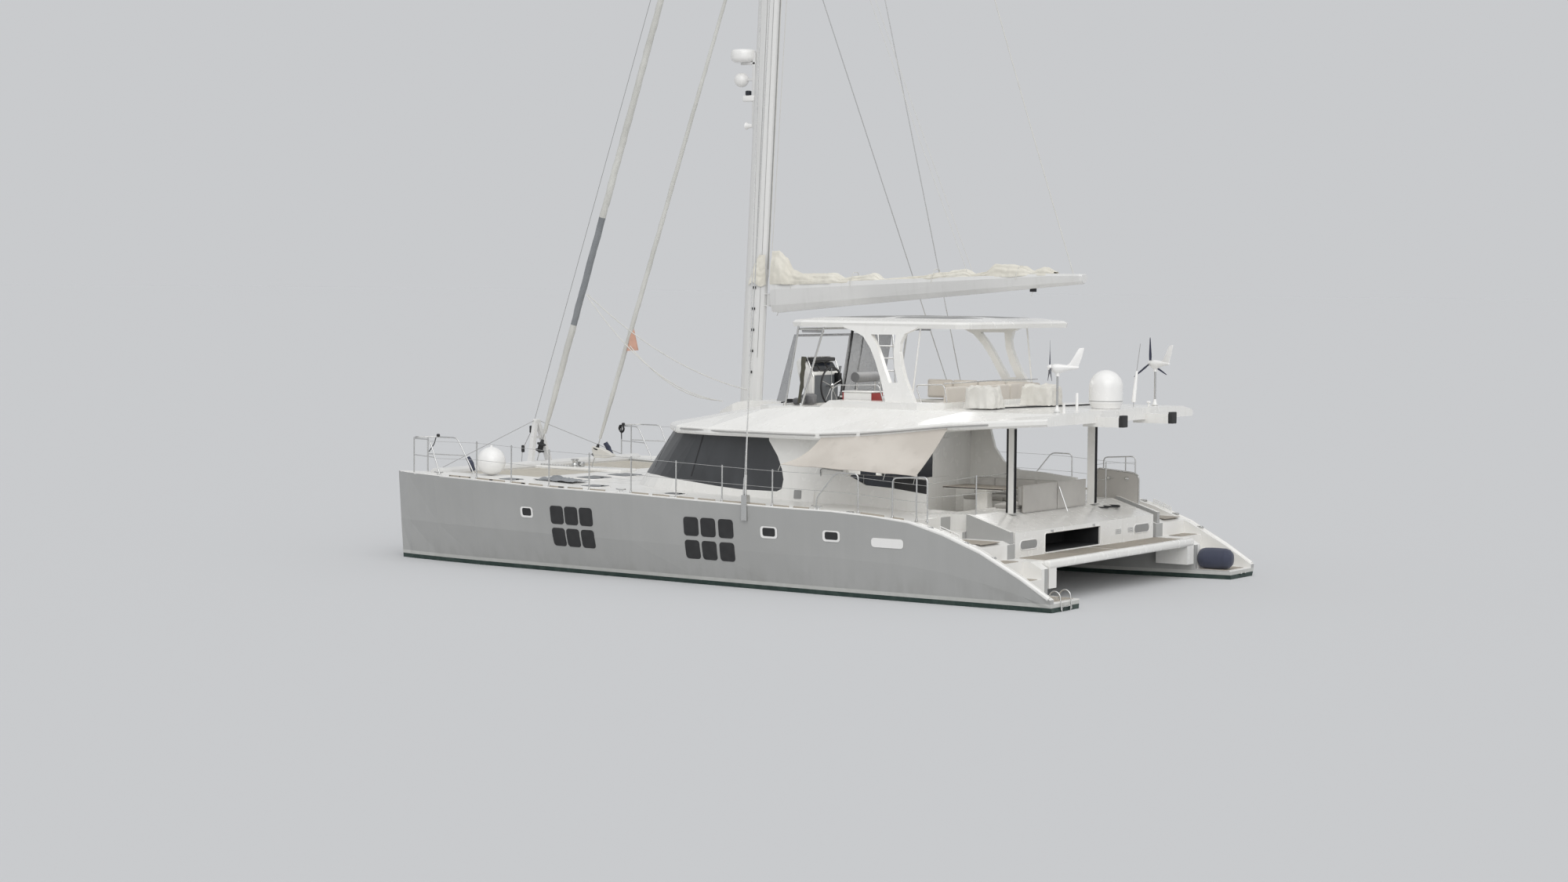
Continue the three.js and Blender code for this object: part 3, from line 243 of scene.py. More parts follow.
WHITE = rgb(0.81, 0.8, 0.77)
SILVER, SILVER_DARK = rgb(0.385, 0.385, 0.375), rgb(0.36, 0.36, 0.35)
ANTIFOUL, ANTIFOUL_WORN = rgb(0.012, 0.032, 0.026), rgb(0.028, 0.05, 0.042)


def hull_paint():
    f = Finish("hull_paint")
    streaks = f.noise(1.0, 4.0, (5.0, 5.0, 0.28))
    clouds = f.noise(0.55, 3.0)
    silver = f.mix(f.step(streaks * 0.35 + clouds * 0.65, 0.3, 0.7), SILVER, SILVER_DARK)
    wet_grime = f.step(f.z, 0.75, 0.15) * f.step(f.noise(2.2, 4.0, (2.0, 2.0, 0.5)), 0.42, 0.7)
    silver = f.mix(wet_grime * 0.2, silver, rgb(0.22, 0.215, 0.19))
    stripe = f.mix(f.noise(6.0, 3.0), rgb(0.56, 0.56, 0.54), rgb(0.44, 0.44, 0.41))
    bottom = f.mix(f.step(f.noise(5.0, 5.0), 0.4, 0.65), ANTIFOUL, ANTIFOUL_WORN)
    side = f.mix(f.z > STRIPE_HIGH, f.mix(f.z > STRIPE_LOW, bottom, stripe), silver)
    deck_dirt = f.step(f.noise(1.6, 5.0), 0.5, 0.8)
    deck = f.mix(deck_dirt * 0.25, WHITE, rgb(0.62, 0.6, 0.55))
    inboard = (f.x < STERN_STEPS_X) * (f.y.size() < BULWARK_Y) * (f.y.size() > 3.6) * (f.z > 0.16)
    white = f.node("ShaderNodeMath", {"operation": "MAXIMUM"},
        {0: f.facing_up() > 0.28, 1: inboard}) * (f.z > STRIPE_HIGH)
    grit = f.node("ShaderNodeTexVoronoi", {}, {"Vector": f.spot, "Scale": 160.0})
    height = grit * (f.facing_up() > 0.9) * 0.15 + f.noise(3.0, 2.0) * 0.3
    return f.surface(
        Base_Color=f.mix(white, side, deck),
        Roughness=f.step(f.noise(3.0, 3.0), 0.1, 0.9) * 0.14 + 0.33 + (f.z < STRIPE_LOW) * 0.3,
        Normal=f.relief(height, 0.0012), Metallic=0.0, Coat_Weight=0.25, Coat_Roughness=0.2)


HULL_PAINT = hull_paint()
print("made", HULL_PAINT.name)

# %% [markdown]
# ## White gelcoat
# Gelcoat is the smooth coloured skin of moulded fibreglass. It is not pure white: it yellows a
# little, collects dirt in the flats and keeps a soft gloss. Decks carry a fine grit against
# slipping, laid in panels with smooth margins, so the deck version adds panels by a brick pattern.

# %% Gelcoat finishes
def gelcoat(name, white, grime=0.22, panels=False):
    f = Finish(name)
    dirt = f.step(f.noise(1.1, 3.0), 0.45, 0.85) * grime * 0.7
    runs = f.step(f.noise(2.5, 3.0, (4.0, 4.0, 0.4)), 0.5, 0.8) * grime * 0.6
    colour = f.mix(dirt + runs, white, rgb(0.55, 0.53, 0.47))
    height = f.noise(4.0, 2.0) * 0.25
    rough = f.noise(5.0, 3.0) * 0.12 + 0.2
    if panels:
        up = (f.facing_up() > 0.93) * (f.x > -5.4) * (f.z < 3.2)
        brick = f.node("ShaderNodeTexBrick", {"offset": 0.0}, {
            "Vector": f.spot, "Scale": 1.0, "Mortar Size": 0.035, "Mortar Smooth": 0.1,
            "Brick Width": 1.25, "Row Height": 0.9}, "Fac")
        grit_zone = (1 - brick) * up
        colour = f.mix(grit_zone * 0.35, colour, rgb(0.72, 0.71, 0.68))
        grit = f.node("ShaderNodeTexVoronoi", {}, {"Vector": f.spot, "Scale": 170.0})
        height = height + grit * grit_zone * 0.2
        rough = rough + grit_zone * 0.3
    return f.surface(Base_Color=colour, Roughness=rough, Normal=f.relief(height, 0.001),
        Coat_Weight=0.3, Coat_Roughness=0.12)


GELCOAT = gelcoat("gelcoat", WHITE)
DECK_GELCOAT = gelcoat("deck_gelcoat", WHITE, 0.3, panels=True)
PLASTIC = gelcoat("moulded_plastic", rgb(0.82, 0.81, 0.79), 0.12)
print("made", GELCOAT.name, DECK_GELCOAT.name, PLASTIC.name)

# %% [markdown]
# ## Metals, glass and spars
# Polished stainless steel shows fine scratches along it. The big saloon panes are dark, and
# covered outside by a charcoal sun mesh that dulls their gloss. The mast and boom are painted
# aluminium, brighter where the paint is fresh and greyer in runs below each fitting.

# %% Metal finishes
def metal(name, colour, rough, worn):
    f = Finish(name)
    scratch = f.noise(60.0, 4.0, (1.0, 1.0, 0.3))
    spots = f.step(f.noise(9.0, 5.0), 0.55, 0.75)
    return f.surface(Base_Color=f.mix(spots * 0.3, colour, worn), Metallic=1.0,
        Roughness=scratch * 0.16 + spots * 0.12 + rough, Normal=f.relief(scratch, 0.0003))


STEEL = metal("stainless_steel", rgb(0.62, 0.62, 0.61), 0.16, rgb(0.4, 0.36, 0.3))
DARK_METAL = metal("dark_anodised", rgb(0.05, 0.05, 0.052), 0.32, rgb(0.1, 0.1, 0.1))
BRONZE = metal("bronze", rgb(0.42, 0.27, 0.12), 0.3, rgb(0.12, 0.2, 0.15))
print("made", STEEL.name, DARK_METAL.name, BRONZE.name)


# %% Glass finishes
def dark_pane(name, colour, rough, mesh_scale=0.0):
    f = Finish(name)
    smears = f.noise(1.4, 4.0, (1.0, 1.0, 0.5))
    base = f.mix(f.step(smears, 0.35, 0.7) * 0.6, colour, rgb(*(c * 1.7 for c in colour[:3])))
    height = f.noise(3.0, 1.0) * 0.4
    if mesh_scale:
        height = height + f.x.wave(mesh_scale) * 0.1 + f.z.wave(mesh_scale) * 0.1
    return f.surface(Base_Color=base, Roughness=smears * 0.1 + rough,
        Normal=f.relief(height, 0.002), Coat_Weight=0.2, Coat_Roughness=0.3)


SALOON_GLASS = dark_pane("saloon_glass", rgb(0.036, 0.038, 0.041), 0.34, 0.004)
HULL_GLASS = dark_pane("hull_glass", rgb(0.012, 0.015, 0.022), 0.07)
print("made", SALOON_GLASS.name, HULL_GLASS.name)


# %% Painted spar
def painted_spar():
    f = Finish("painted_spar")
    runs = f.step(f.noise(1.5, 4.0, (5.0, 5.0, 0.16)), 0.45, 0.75)
    colour = f.mix(runs * 0.2, rgb(0.7, 0.695, 0.68), rgb(0.53, 0.525, 0.5))
    return f.surface(Base_Color=colour, Roughness=f.noise(4.0, 2.0) * 0.15 + 0.3,
        Normal=f.relief(f.noise(14.0, 2.0), 0.001), Coat_Weight=0.15, Coat_Roughness=0.3)


SPAR = painted_spar()
print("made", SPAR.name)

# %% [markdown]
# ## Cloth
# Sailcloth, awning canvas and upholstery differ in colour and in the size of their weave. Two
# waves at right angles give the threads; a slow noise gives creases and sun-bleached patches. The
# threads follow Object coordinates, which suits a weave too fine to show its direction.

# %% Cloth finishes
def cloth(name, colour, faded, thread, crease, rough=0.85):
    f = Finish(name)
    fade = f.step(f.noise(0.9, 5.0), 0.35, 0.7)
    stains = f.step(f.noise(3.2, 5.0), 0.56, 0.78) * 0.25
    base = f.mix(stains, f.mix(fade, colour, faded), rgb(*(c * 0.6 for c in colour[:3])))
    weave = f.x.wave(thread) * f.y.wave(thread) + f.z.wave(thread) * 0.5
    folds = f.noise(crease, 4.0, None, 0.6)
    height = weave * 0.03 + folds
    return f.surface(Base_Color=base, Roughness=f.noise(20.0, 2.0) * 0.1 + rough - 0.05,
        Normal=f.relief(height, 0.02, 0.6), Sheen_Weight=0.2, Sheen_Roughness=0.5)


AWNING_CLOTH = cloth("awning_canvas", rgb(0.52, 0.478, 0.425), rgb(0.61, 0.567, 0.51), 0.002, 1.5)
SAILCLOTH = cloth("sailcloth", rgb(0.66, 0.63, 0.55), rgb(0.74, 0.715, 0.64), 0.0015, 5.0)
ROLL_CLOTH = cloth("furled_sail", rgb(0.56, 0.555, 0.52), rgb(0.66, 0.655, 0.62), 0.0015, 7.0)
UV_STRIP = cloth("uv_strip", rgb(0.2, 0.21, 0.22), rgb(0.27, 0.28, 0.29), 0.0015, 7.0)
CUSHION = cloth("seat_fabric", rgb(0.42, 0.405, 0.38), rgb(0.48, 0.465, 0.44), 0.0018, 6.0)
DARK_CUSHION = cloth("dark_vinyl", rgb(0.12, 0.12, 0.125), rgb(0.17, 0.17, 0.17), 0.002, 6.0, 0.6)
COVER = cloth("white_cover", rgb(0.62, 0.6, 0.55), rgb(0.7, 0.685, 0.64), 0.002, 5.0)
PANEL_CLOTH = cloth("panel_fabric", rgb(0.45, 0.43, 0.4), rgb(0.51, 0.49, 0.455), 0.0025, 3.0)
NAVY_CLOTH = cloth("navy_canvas", rgb(0.04, 0.046, 0.075), rgb(0.06, 0.068, 0.1), 0.002, 5.0)
print("made the cloths, from", AWNING_CLOTH.name, "to", NAVY_CLOTH.name)


# %% Net of the trampolines
def net():
    f = Finish("trampoline_net")
    strand, pitch = 0.42, 0.03
    warp, weft = f.x.wave(pitch) > strand, f.y.wave(pitch) > strand
    cords = f.node("ShaderNodeMath", {"operation": "MAXIMUM"}, {0: warp, 1: weft})
    base = f.mix(f.noise(2.0, 4.0), rgb(0.58, 0.54, 0.46), rgb(0.68, 0.64, 0.56))
    return f.surface(Base_Color=base, Alpha=cords, Roughness=0.9,
        Normal=f.relief(f.x.wave(0.004) + f.y.wave(0.004), 0.001))


NET = net()
print("made", NET.name)

# %% [markdown]
# ## Teak, antifouling and small plastics
# The treads are teak strips 50 mm wide with black rubber between them, bleached grey by the sun.
# A wave across the boat makes the seams, and a noise drawn out along the boat makes the grain.

# %% Teak
def teak(name, tone=1.0):
    f = Finish(name)
    grain = f.noise(30.0, 5.0, (0.12, 3.0, 3.0))
    seam = f.y.wave(0.05) < 0.1
    wood = f.mix(grain, rgb(0.33 * tone, 0.29 * tone, 0.24 * tone),
                 rgb(0.46 * tone, 0.42 * tone, 0.36 * tone))
    return f.surface(Base_Color=f.mix(seam, wood, rgb(0.035, 0.032, 0.03)),
        Roughness=grain * 0.2 + 0.6, Normal=f.relief(grain * 0.4 - seam * 0.8, 0.0015))


TEAK = teak("grey_teak")
TABLE_TEAK = teak("oiled_teak", 0.65)


# %% Plain coloured finishes
def tinted(name, colour, rough, mottle=0.25, grain=80.0):
    f = Finish(name)
    base = f.mix(f.step(f.noise(6.0, 4.0), 0.35, 0.75) * mottle, colour,
                 rgb(*(c * 0.5 + 0.04 for c in colour[:3])))
    return f.surface(Base_Color=base, Roughness=f.noise(12.0, 3.0) * 0.15 + rough,
        Normal=f.relief(f.noise(grain, 3.0), 0.0006))


UNDERWATER = tinted("antifouling", ANTIFOUL, 0.7, 0.6, 25.0)
RUBBER = tinted("black_rubber", rgb(0.02, 0.02, 0.021), 0.55)
BLADE = tinted("navy_blade", rgb(0.02, 0.024, 0.05), 0.35)
WIRE = tinted("grey_wire", rgb(0.33, 0.33, 0.32), 0.4)
ROPE = tinted("pale_rope", rgb(0.66, 0.65, 0.61), 0.8)
# A flat grey for the stainless brim handrails: painted shade for the shadow line each rail casts on
# the white roof
RAIL_SHADE_GREY = tinted("rail_painted_shade", rgb(0.36, 0.355, 0.345), 0.35)
GREY_PANEL = tinted("grey_panel", rgb(0.3, 0.3, 0.295), 0.5, 0.15)
SMOKED = tinted("smoked_sheet", rgb(0.12, 0.13, 0.14), 0.25, 0.2, 8.0)
OLIVE = tinted("olive_canvas", rgb(0.07, 0.068, 0.05), 0.85, 0.5, 30.0)
RED = tinted("red_vinyl", rgb(0.3, 0.03, 0.025), 0.5)
AMBER = tinted("salmon_cloth", rgb(0.62, 0.37, 0.28), 0.8)
# Near-black painted shade for the inside of the open stern locker
LOCKER_SHADE_BLACK = tinted("locker_painted_shade", rgb(0.015, 0.016, 0.017), 0.8)
print("made the plain finishes")


# %% Clear sheet of the curtains
def clear_sheet():
    f = Finish("clear_sheet")
    smears = f.noise(2.5, 4.0)
    base = f.mix(smears, rgb(0.25, 0.255, 0.26), rgb(0.36, 0.365, 0.37))
    return f.surface(Base_Color=base, Alpha=smears * 0.15 + 0.5, Roughness=smears * 0.2 + 0.15,
        Normal=f.relief(f.noise(3.0, 2.0), 0.01))


CLEAR_SHEET = clear_sheet()
print("made", CLEAR_SHEET.name)

# %% [markdown]
# ## Finishes of the solids
# Each solid whose shape is right keeps its place in the picture and only gets a better finish.

# %% Give each solid its finish
NODE_FINISHES = (
    (HULL_PAINT, "hull"), (UNDERWATER, "keel rudder saildrive"), (BRONZE, "propeller"),
    (DECK_GELCOAT, "bridgedeck stern_platform catwalk flydeck"), (SPAR, "bow_crossbeam mast boom"),
    (GELCOAT, "roof_post deckhouse hardtop hardtop_arch helm_console"), (NET, "trampoline"),
    (PLASTIC, "satcom_dome radar_stack ball_fender turbine_head"), (BLADE, "turbine_rotor"),
    (SALOON_GLASS, "saloon_glass"), (HULL_GLASS, "saloon_door"), (SAILCLOTH, "mainsail_bundle"),
    (ROLL_CLOTH, "genoa_roll staysail_roll"), (COVER, "lounger"), (AWNING_CLOTH, "awning"),
    (CUSHION, "aft_sofa cockpit_bench helm_seat"), (TABLE_TEAK, "cockpit_table"))


def dress(obj, material):
    obj.data.materials.clear()
    obj.data.materials.append(material)


for node_name, node_object in NODES.items():
    for ending in ("_port", "_starboard", "_centre"):
        node_name = node_name.removesuffix(ending)
    finishes = [finish for finish, names in NODE_FINISHES if node_name in names.split()]
    dress(node_object, finishes[0] if finishes else STEEL)
paper = tinted("studio_paper", rgb(*FLOOR_COLOUR), 0.9, 0.0, 1.0)
paper.node_tree.nodes["Principled BSDF"].inputs["Specular IOR Level"].default_value = 0.0
dress(floor, paper)
print("dressed", len(NODES), "solids")

# %% [markdown]
# ## Tools for new pieces
# A new piece starts as one of Blender's primitives and is then shaped. An operator works on all
# that is selected, so everything is deselected first. At the end the piece is settled: its
# modifiers are applied and its place is moved into its mesh, as it is for the solids.

# %% Select, settle and copy
def clear():
    bpy.ops.object.select_all(action="DESELECT")


def pick(*objects):
    clear()
    for obj in objects:
        obj.select_set(True)
    bpy.context.view_layer.objects.active = objects[0]


def apply_all(obj):
    pick(obj)
    if obj.type == "MESH":
        for modifier in list(obj.modifiers):
            bpy.ops.object.modifier_apply(modifier=modifier.name)
    else:
        bpy.ops.object.convert(target="MESH")
    bpy.ops.object.transform_apply(location=True, rotation=True, scale=True)
    return bpy.context.object


def edit(obj, *steps):
    """Runs edit mode steps on all of a mesh."""
    pick(obj)
    bpy.ops.object.mode_set(mode="EDIT")
    bpy.ops.mesh.select_all(action="SELECT")
    for step in steps:
        step()
    bpy.ops.object.mode_set(mode="OBJECT")
    return obj


def outward(obj):
    return edit(obj, bpy.ops.mesh.normals_make_consistent)


def joined(parts):
    """One object from a list of meshes; a single mesh is returned as it is."""
    if not isinstance(parts, list):
        return parts
    pick(*parts)
    if len(parts) > 1:
        bpy.ops.object.join()
    return bpy.context.object


# The material slot of the boat's record that goes with each finish
SLOT_FINISHES = (
    ("gelcoat", (GELCOAT, PLASTIC)), ("teak", (TEAK, TABLE_TEAK)), ("spar", (SPAR,)),
    ("steel", (STEEL, RAIL_SHADE_GREY, DARK_METAL, WIRE)), ("dark_glass", (HULL_GLASS,)),
    ("plastic", (RUBBER, GREY_PANEL, SMOKED, RED, LOCKER_SHADE_BLACK)), ("blade", (BLADE,)),
    ("canvas", (AWNING_CLOTH, ROPE, PANEL_CLOTH, CLEAR_SHEET, COVER, UV_STRIP, OLIVE,
                NAVY_CLOTH, DARK_CUSHION)),
    ("sailcloth", (SAILCLOTH, AMBER)))
SLOT_OF = {finish.name: slot for slot, finishes in SLOT_FINISHES for finish in finishes}


def settle(obj, name, finish, body="boat", slot=None, smooth=35, replaces=()):
    """Makes a mesh, or a list of them, one finished piece that rides a body."""
    obj = apply_all(joined(obj))
    obj.name = obj.data.name = name
    if smooth:
        bpy.ops.object.shade_smooth_by_angle(angle=radians(smooth))
    if finish:
        dress(obj, finish)
    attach(obj, body)
    slot = slot or finish and SLOT_OF.get(finish.name)
    if replaces:
        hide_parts(*replaces)
    return obj


def twin(obj):
    """A copy on the other side of the boat, with its own mesh."""
    obj = apply_all(obj)
    bpy.ops.object.duplicate()
    copy = bpy.context.object
    copy.scale = (1, -1, 1)
    return outward(apply_all(copy))


def settle_pair(obj, name, finish, replaces=None, **words):
    """Settles a port piece, and the same piece mirrored to starboard."""
    pieces, obj = [], joined(obj)
    for piece, side in zip((obj, twin(obj)), ("port", "starboard")):
        stands_for = [f"{replaces}_{side}"] if replaces else ()
        pieces.append(settle(piece, f"{name}_{side}", finish, replaces=stands_for, **words))
    return pieces


def grid_cloth(columns, rows, point, thickness=0.003):
    """A cloth from a flat grid: each corner goes to point(u, v), and it is given two faces."""
    clear()
    bpy.ops.mesh.primitive_grid_add(x_subdivisions=columns, y_subdivisions=rows, size=1)
    obj = bpy.context.object
    for vertex in obj.data.vertices:
        vertex.co = point(vertex.co.x + 0.5, vertex.co.y + 0.5)
    skin = obj.modifiers.new("cloth", "SOLIDIFY")
    skin.thickness, skin.offset = thickness, 0.0
    return outward(apply_all(obj))


def declare_sheet(obj, flat, held, **words):
    """Returns the flat area of a solidified sheet, half of its surface."""
    area = sum(face.area for face in obj.data.polygons) / 2
    return area


# %% Slabs and plates
def bevelled(obj, width, segments):
    bevel = obj.modifiers.new("edges", "BEVEL")
    bevel.width, bevel.segments = width, segments
    return apply_all(obj)


def slab(low, high, edge=0.01, segments=2):
    """A box between two corners, its edges rounded."""
    clear()
    bpy.ops.mesh.primitive_cube_add(
        size=1, location=[(a + b) / 2 for a, b in zip(low, high)],
        scale=[abs(b - a) for a, b in zip(low, high)])
    obj = bpy.context.object
    bpy.ops.object.transform_apply(location=True, rotation=True, scale=True)
    return bevelled(obj, edge, segments)


def plate(outline, thickness):
    """A flat plate: a filled circle whose corners are moved to the outline, then drawn out."""
    clear()
    bpy.ops.mesh.primitive_circle_add(vertices=len(outline), fill_type="NGON")
    obj = bpy.context.object
    for vertex, place in zip(obj.data.vertices, outline):
        vertex.co = place
    edit(obj, lambda: bpy.ops.mesh.extrude_region_move(
        TRANSFORM_OT_translate={"value": thickness}))
    return outward(obj)


def rounded(a0, a1, b0, b1, corner, steps=4):
    """The corners of a rounded rectangle in two coordinates."""
    points = []
    for ca, cb, quarter in ((a1, b1, 0), (a0, b1, 1), (a0, b0, 2), (a1, b0, 3)):
        ma = ca - copysign(corner, ca - (a0 + a1) / 2)
        mb = cb - copysign(corner, cb - (b0 + b1) / 2)
        for i in range(steps + 1):
            angle = pi / 2 * (quarter + i / steps)
            points.append((ma + corner * cos(angle), mb + corner * sin(angle)))
    return points


def round_plate(axis, level, thickness, *box, steps=4):
    """A plate with round corners across an axis; box is its rounded rectangle."""
    outline = []
    for a, b in rounded(*box, steps):
        spot = [a, b]
        spot.insert(axis, level)
        outline.append(spot)
    shift = [0, 0, 0]
    shift[axis] = thickness
    return plate(outline, shift)


# %% Tubes and turned shapes
def rounded_route(points, bend):
    """The points of a route, each corner replaced by a short arc."""
    points = [Vector(point) for point in points]
    route = [points[0]]
    for before, corner, after in zip(points, points[1:], points[2:]):
        back, on = before - corner, after - corner
        reach = min(bend, back.length * 0.45, on.length * 0.45)
        start, end = corner + back.normalized() * reach, corner + on.normalized() * reach
        for i in range(5):
            t = i / 4
            route.append(start.lerp(corner, t).lerp(corner.lerp(end, t), t))
    return route + [points[-1]]


def pipes(runs, radius, bend=0.08, detail=2, closed=False, radii=None):
    """Round tubes along runs of points, all in one object."""
    clear()
    bpy.ops.curve.primitive_bezier_curve_add()
    obj = bpy.context.object
    obj.data.splines.clear()
    for run in runs:
        route = rounded_route(run, bend) if bend else [Vector(point) for point in run]
        spline = obj.data.splines.new("POLY")
        spline.points.add(len(route) - 1)
        for i, place in enumerate(route):
            spline.points[i].co = (*place, 1.0)
            spline.points[i].radius = radii[i] if radii else 1.0
        spline.use_cyclic_u = closed
    obj.data.dimensions = "3D"
    obj.data.bevel_depth, obj.data.bevel_resolution = radius, detail
    obj.data.use_fill_caps = True
    return apply_all(obj)


def turned(profile, at=(0, 0, 0), tilt=(0, 0, 0), sides=32):
    """A disc drawn out ring by ring. The profile holds pairs of radius and height."""
    clear()
    radius, height = profile[0]
    bpy.ops.mesh.primitive_circle_add(vertices=sides, radius=radius, fill_type="NGON",
        location=(0, 0, height))
    obj = apply_all(bpy.context.object)
    bpy.ops.object.mode_set(mode="EDIT")
    bpy.ops.mesh.select_all(action="SELECT")
    for next_radius, next_height in profile[1:]:
        bpy.ops.mesh.extrude_region_move(
            TRANSFORM_OT_translate={"value": (0, 0, next_height - height)})
        share = next_radius / radius
        if share != 1:
            bpy.ops.transform.resize(value=(share, share, 1), center_override=(0, 0, next_height))
        radius, height = next_radius, next_height
    bpy.ops.object.mode_set(mode="OBJECT")
    outward(obj)
    obj.rotation_euler, obj.location = tilt, at
    return apply_all(obj)


ALONG_X, ALONG_Y = (0, pi / 2, 0), (-pi / 2, 0, 0)


# %% [markdown]
# ## Finding the surface of a solid
# A window has to lie on the curved side of the hull, and a cleat on the deck. A ray that is shot at
# a solid answers where its surface is, so nothing has to be measured twice.

# %% Rays
def side_at(node, x, z):
    """How far to port the surface of a node is."""
    return NODES[node].ray_cast((x, 9.0, z), (0, -1, 0))[1].y


def top_at(node, x, y, start=12.0):
    """How high the surface of a node is."""
    return NODES[node].ray_cast((x, y, start), (0, 0, -1))[1].z


def sheer_edge(x):
    """The outer edge of the port deck at x, as (y, z)."""
    z = 1.2 if x > -6.4 else (0.9 if x > -7.4 else 0.24)
    y = side_at("hull_port", x, z)
    z = top_at("hull_port", x, y - 0.06)
    return side_at("hull_port", x, z - 0.03), z


print("deck edge amidships at", [round(value, 3) for value in sheer_edge(0.0)])

# %% [markdown]
# ## Hull windows
# Each hull has two groups of six dark panes with rounded corners, set in thin black gaskets. One
# pane is modelled flat: a filled outline is drawn out, inset to leave the gasket, and its middle is
# pressed in. Copies are shifted to their places and every corner is then laid on the hull's side,
# so that the panes follow its curve.

# %% A pane and its gasket
def pane(x0, x1, z0, z1, corner, rim, proud, sink, finishes):
    """A flat pane facing port, its middle sunk; the finishes are of its rim and its middle."""
    obj = round_plate(1, -0.03, 0.03 + proud, x0, x1, z0, z1, corner)
    for face in obj.data.polygons:
        face.select = face.normal.y > 0.9
    pick(obj)
    bpy.ops.object.mode_set(mode="EDIT")
    bpy.ops.mesh.inset(thickness=rim)
    bpy.ops.mesh.extrude_region_move(TRANSFORM_OT_translate={"value": (0, -sink, 0)})
    bpy.ops.object.mode_set(mode="OBJECT")
    for finish in finishes:
        obj.data.materials.append(finish)
    for face in obj.data.polygons:
        face.material_index = int(face.select)
    return outward(obj)


def cut_across(obj, axis, places):
    """Cuts a mesh by planes across the x, y or z axis, so that it can follow a curve."""
    direction = [float(i == axis) for i in range(3)]
    for place in places:
        edit(obj, lambda: bpy.ops.mesh.bisect(plane_co=[place * d for d in direction],
            plane_no=direction))


def reach_of(obj, axis):
    values = [vertex.co[axis] for vertex in obj.data.vertices]
    return min(values), max(values)


def lay_on_side(obj, node):
    """Moves every corner of a flat piece out to the side of a node."""
    for axis, step in ((0, 0.36), (2, 0.12)):
        low, high = reach_of(obj, axis)
        count = int((high - low) / step)
        cut_across(obj, axis, [low + (high - low) * (i + 1) / (count + 1) for i in range(count)])
    for vertex in obj.data.vertices:
        vertex.co.y += side_at(node, vertex.co.x, vertex.co.z)
    return obj


WINDOW_GROUPS = (
    ((3.71, 3.285, 2.85), (1.34, 0.83), 0.38, 0.42),
    ((-0.14, -0.605, -1.09), (1.295, 0.78), 0.4, 0.42),
)
WINDOW_CORNER, GASKET = 0.075, 0.022

windows = []
for columns, rows, wide, high in WINDOW_GROUPS:
    for x in columns:
        for z in rows:
            pane_object = pane(x - wide / 2, x + wide / 2, z - high / 2, z + high / 2,
                WINDOW_CORNER, GASKET, 0.01, 0.008, (RUBBER, HULL_GLASS))
            windows.append(lay_on_side(pane_object, "hull_port"))
settle_pair(windows, "hull_windows", None, slot="dark_glass")
print("laid", len(windows), "panes on each hull")

# %% [markdown]
# ## Portlights
# Further along, three small opening lights sit in shallow recesses, and a blank recess lies near
# the stern. Each recess has a pale lip, a painted highlight where its edge catches the light, and
# a grey face, painted shade in the hollow. They are the same pane with a wider lip, with a smaller
# pane in front.

# %% Portlights and the blank recess
PORTLIGHTS = ((4.82, 4.44, 1.48, 1.23), (-2.02, -2.46, 1.41, 1.15), (-3.64, -4.08, 1.41, 1.17))
BLANK_RECESS = (-4.87, -5.66, 1.32, 1.12)

recesses, lights = [], []
for x1, x0, z1, z0 in (*PORTLIGHTS, BLANK_RECESS):
    # Pale lip: painted highlight on the recess edge; grey middle: painted shade in the hollow
    lip = pane(x0, x1, z0, z1, 0.07, 0.022, 0.012, 0.008, (PLASTIC, GREY_PANEL))
    recesses.append(lay_on_side(lip, "hull_port"))
for x1, x0, z1, z0 in PORTLIGHTS:
    small = pane(x0 + 0.05, x1 - 0.06, z0 + 0.045, z1 - 0.03, 0.045, 0.014, 0.014, 0.005,
                 (RUBBER, HULL_GLASS))
    lights.append(lay_on_side(small, "hull_port"))
settle_pair(recesses, "hull_recesses", None, slot="topsides")
settle_pair(lights, "portlights", None, slot="dark_glass")
print("portlights at", [light[0] for light in PORTLIGHTS])

# %% [markdown]
# ## Deck edge
# A white rounded cap covers the joint of hull and deck and grows fatter down the stern. It is a
# curve with a round bevel whose radius is set point by point. Low toe rails of weathered wood
# stand inside it between the stanchions; each is a cut-up slab whose corners are moved along
# the deck edge.

# %% Gunwale cap
CAP_STATIONS = [9.05, 8.4, 7.4, 6.3, 5.1, 3.9, 2.8, 1.65, 0.6, -0.5, -1.6, -2.6, -3.85, -4.85, -5.8,
    -6.25, -6.6, -7.0, -7.5, -8.0, -8.45, -8.8, -9.08]
FINE_CAP, STERN_CAP = 0.024, 0.05

cap_route, cap_radii = [], []
for x in CAP_STATIONS:
    edge_y, edge_z = sheer_edge(x)
    fat = FINE_CAP + (STERN_CAP - FINE_CAP) * min(max((-5.2 - x) / 1.4, 0.0), 1.0)
    cap_route.append((x, edge_y - fat * 0.8, edge_z - fat * 0.35))
    cap_radii.append(fat / STERN_CAP)
cap = pipes([cap_route], STERN_CAP, bend=0, detail=3, radii=cap_radii)
settle_pair(cap, "gunwale_cap", GELCOAT, smooth=60)
print("cap runs from", CAP_STATIONS[0], "to", CAP_STATIONS[-1])


# %% Toe rails
def toe_bar(x0, x1):
    """A low wooden bar along the deck edge."""
    bar = slab((x0, -0.018, 0.0), (x1, 0.018, 0.042), 0.006)
    edit(bar, lambda: bpy.ops.mesh.bisect(plane_co=((x0 + x1) / 2, 0, 0), plane_no=(1, 0, 0)))
    for vertex in bar.data.vertices:
        edge_y, edge_z = sheer_edge(min(max(vertex.co.x, -5.7), 9.0))
        vertex.co.y += edge_y - 0.12
        vertex.co.z += edge_z - 0.004
    return bar


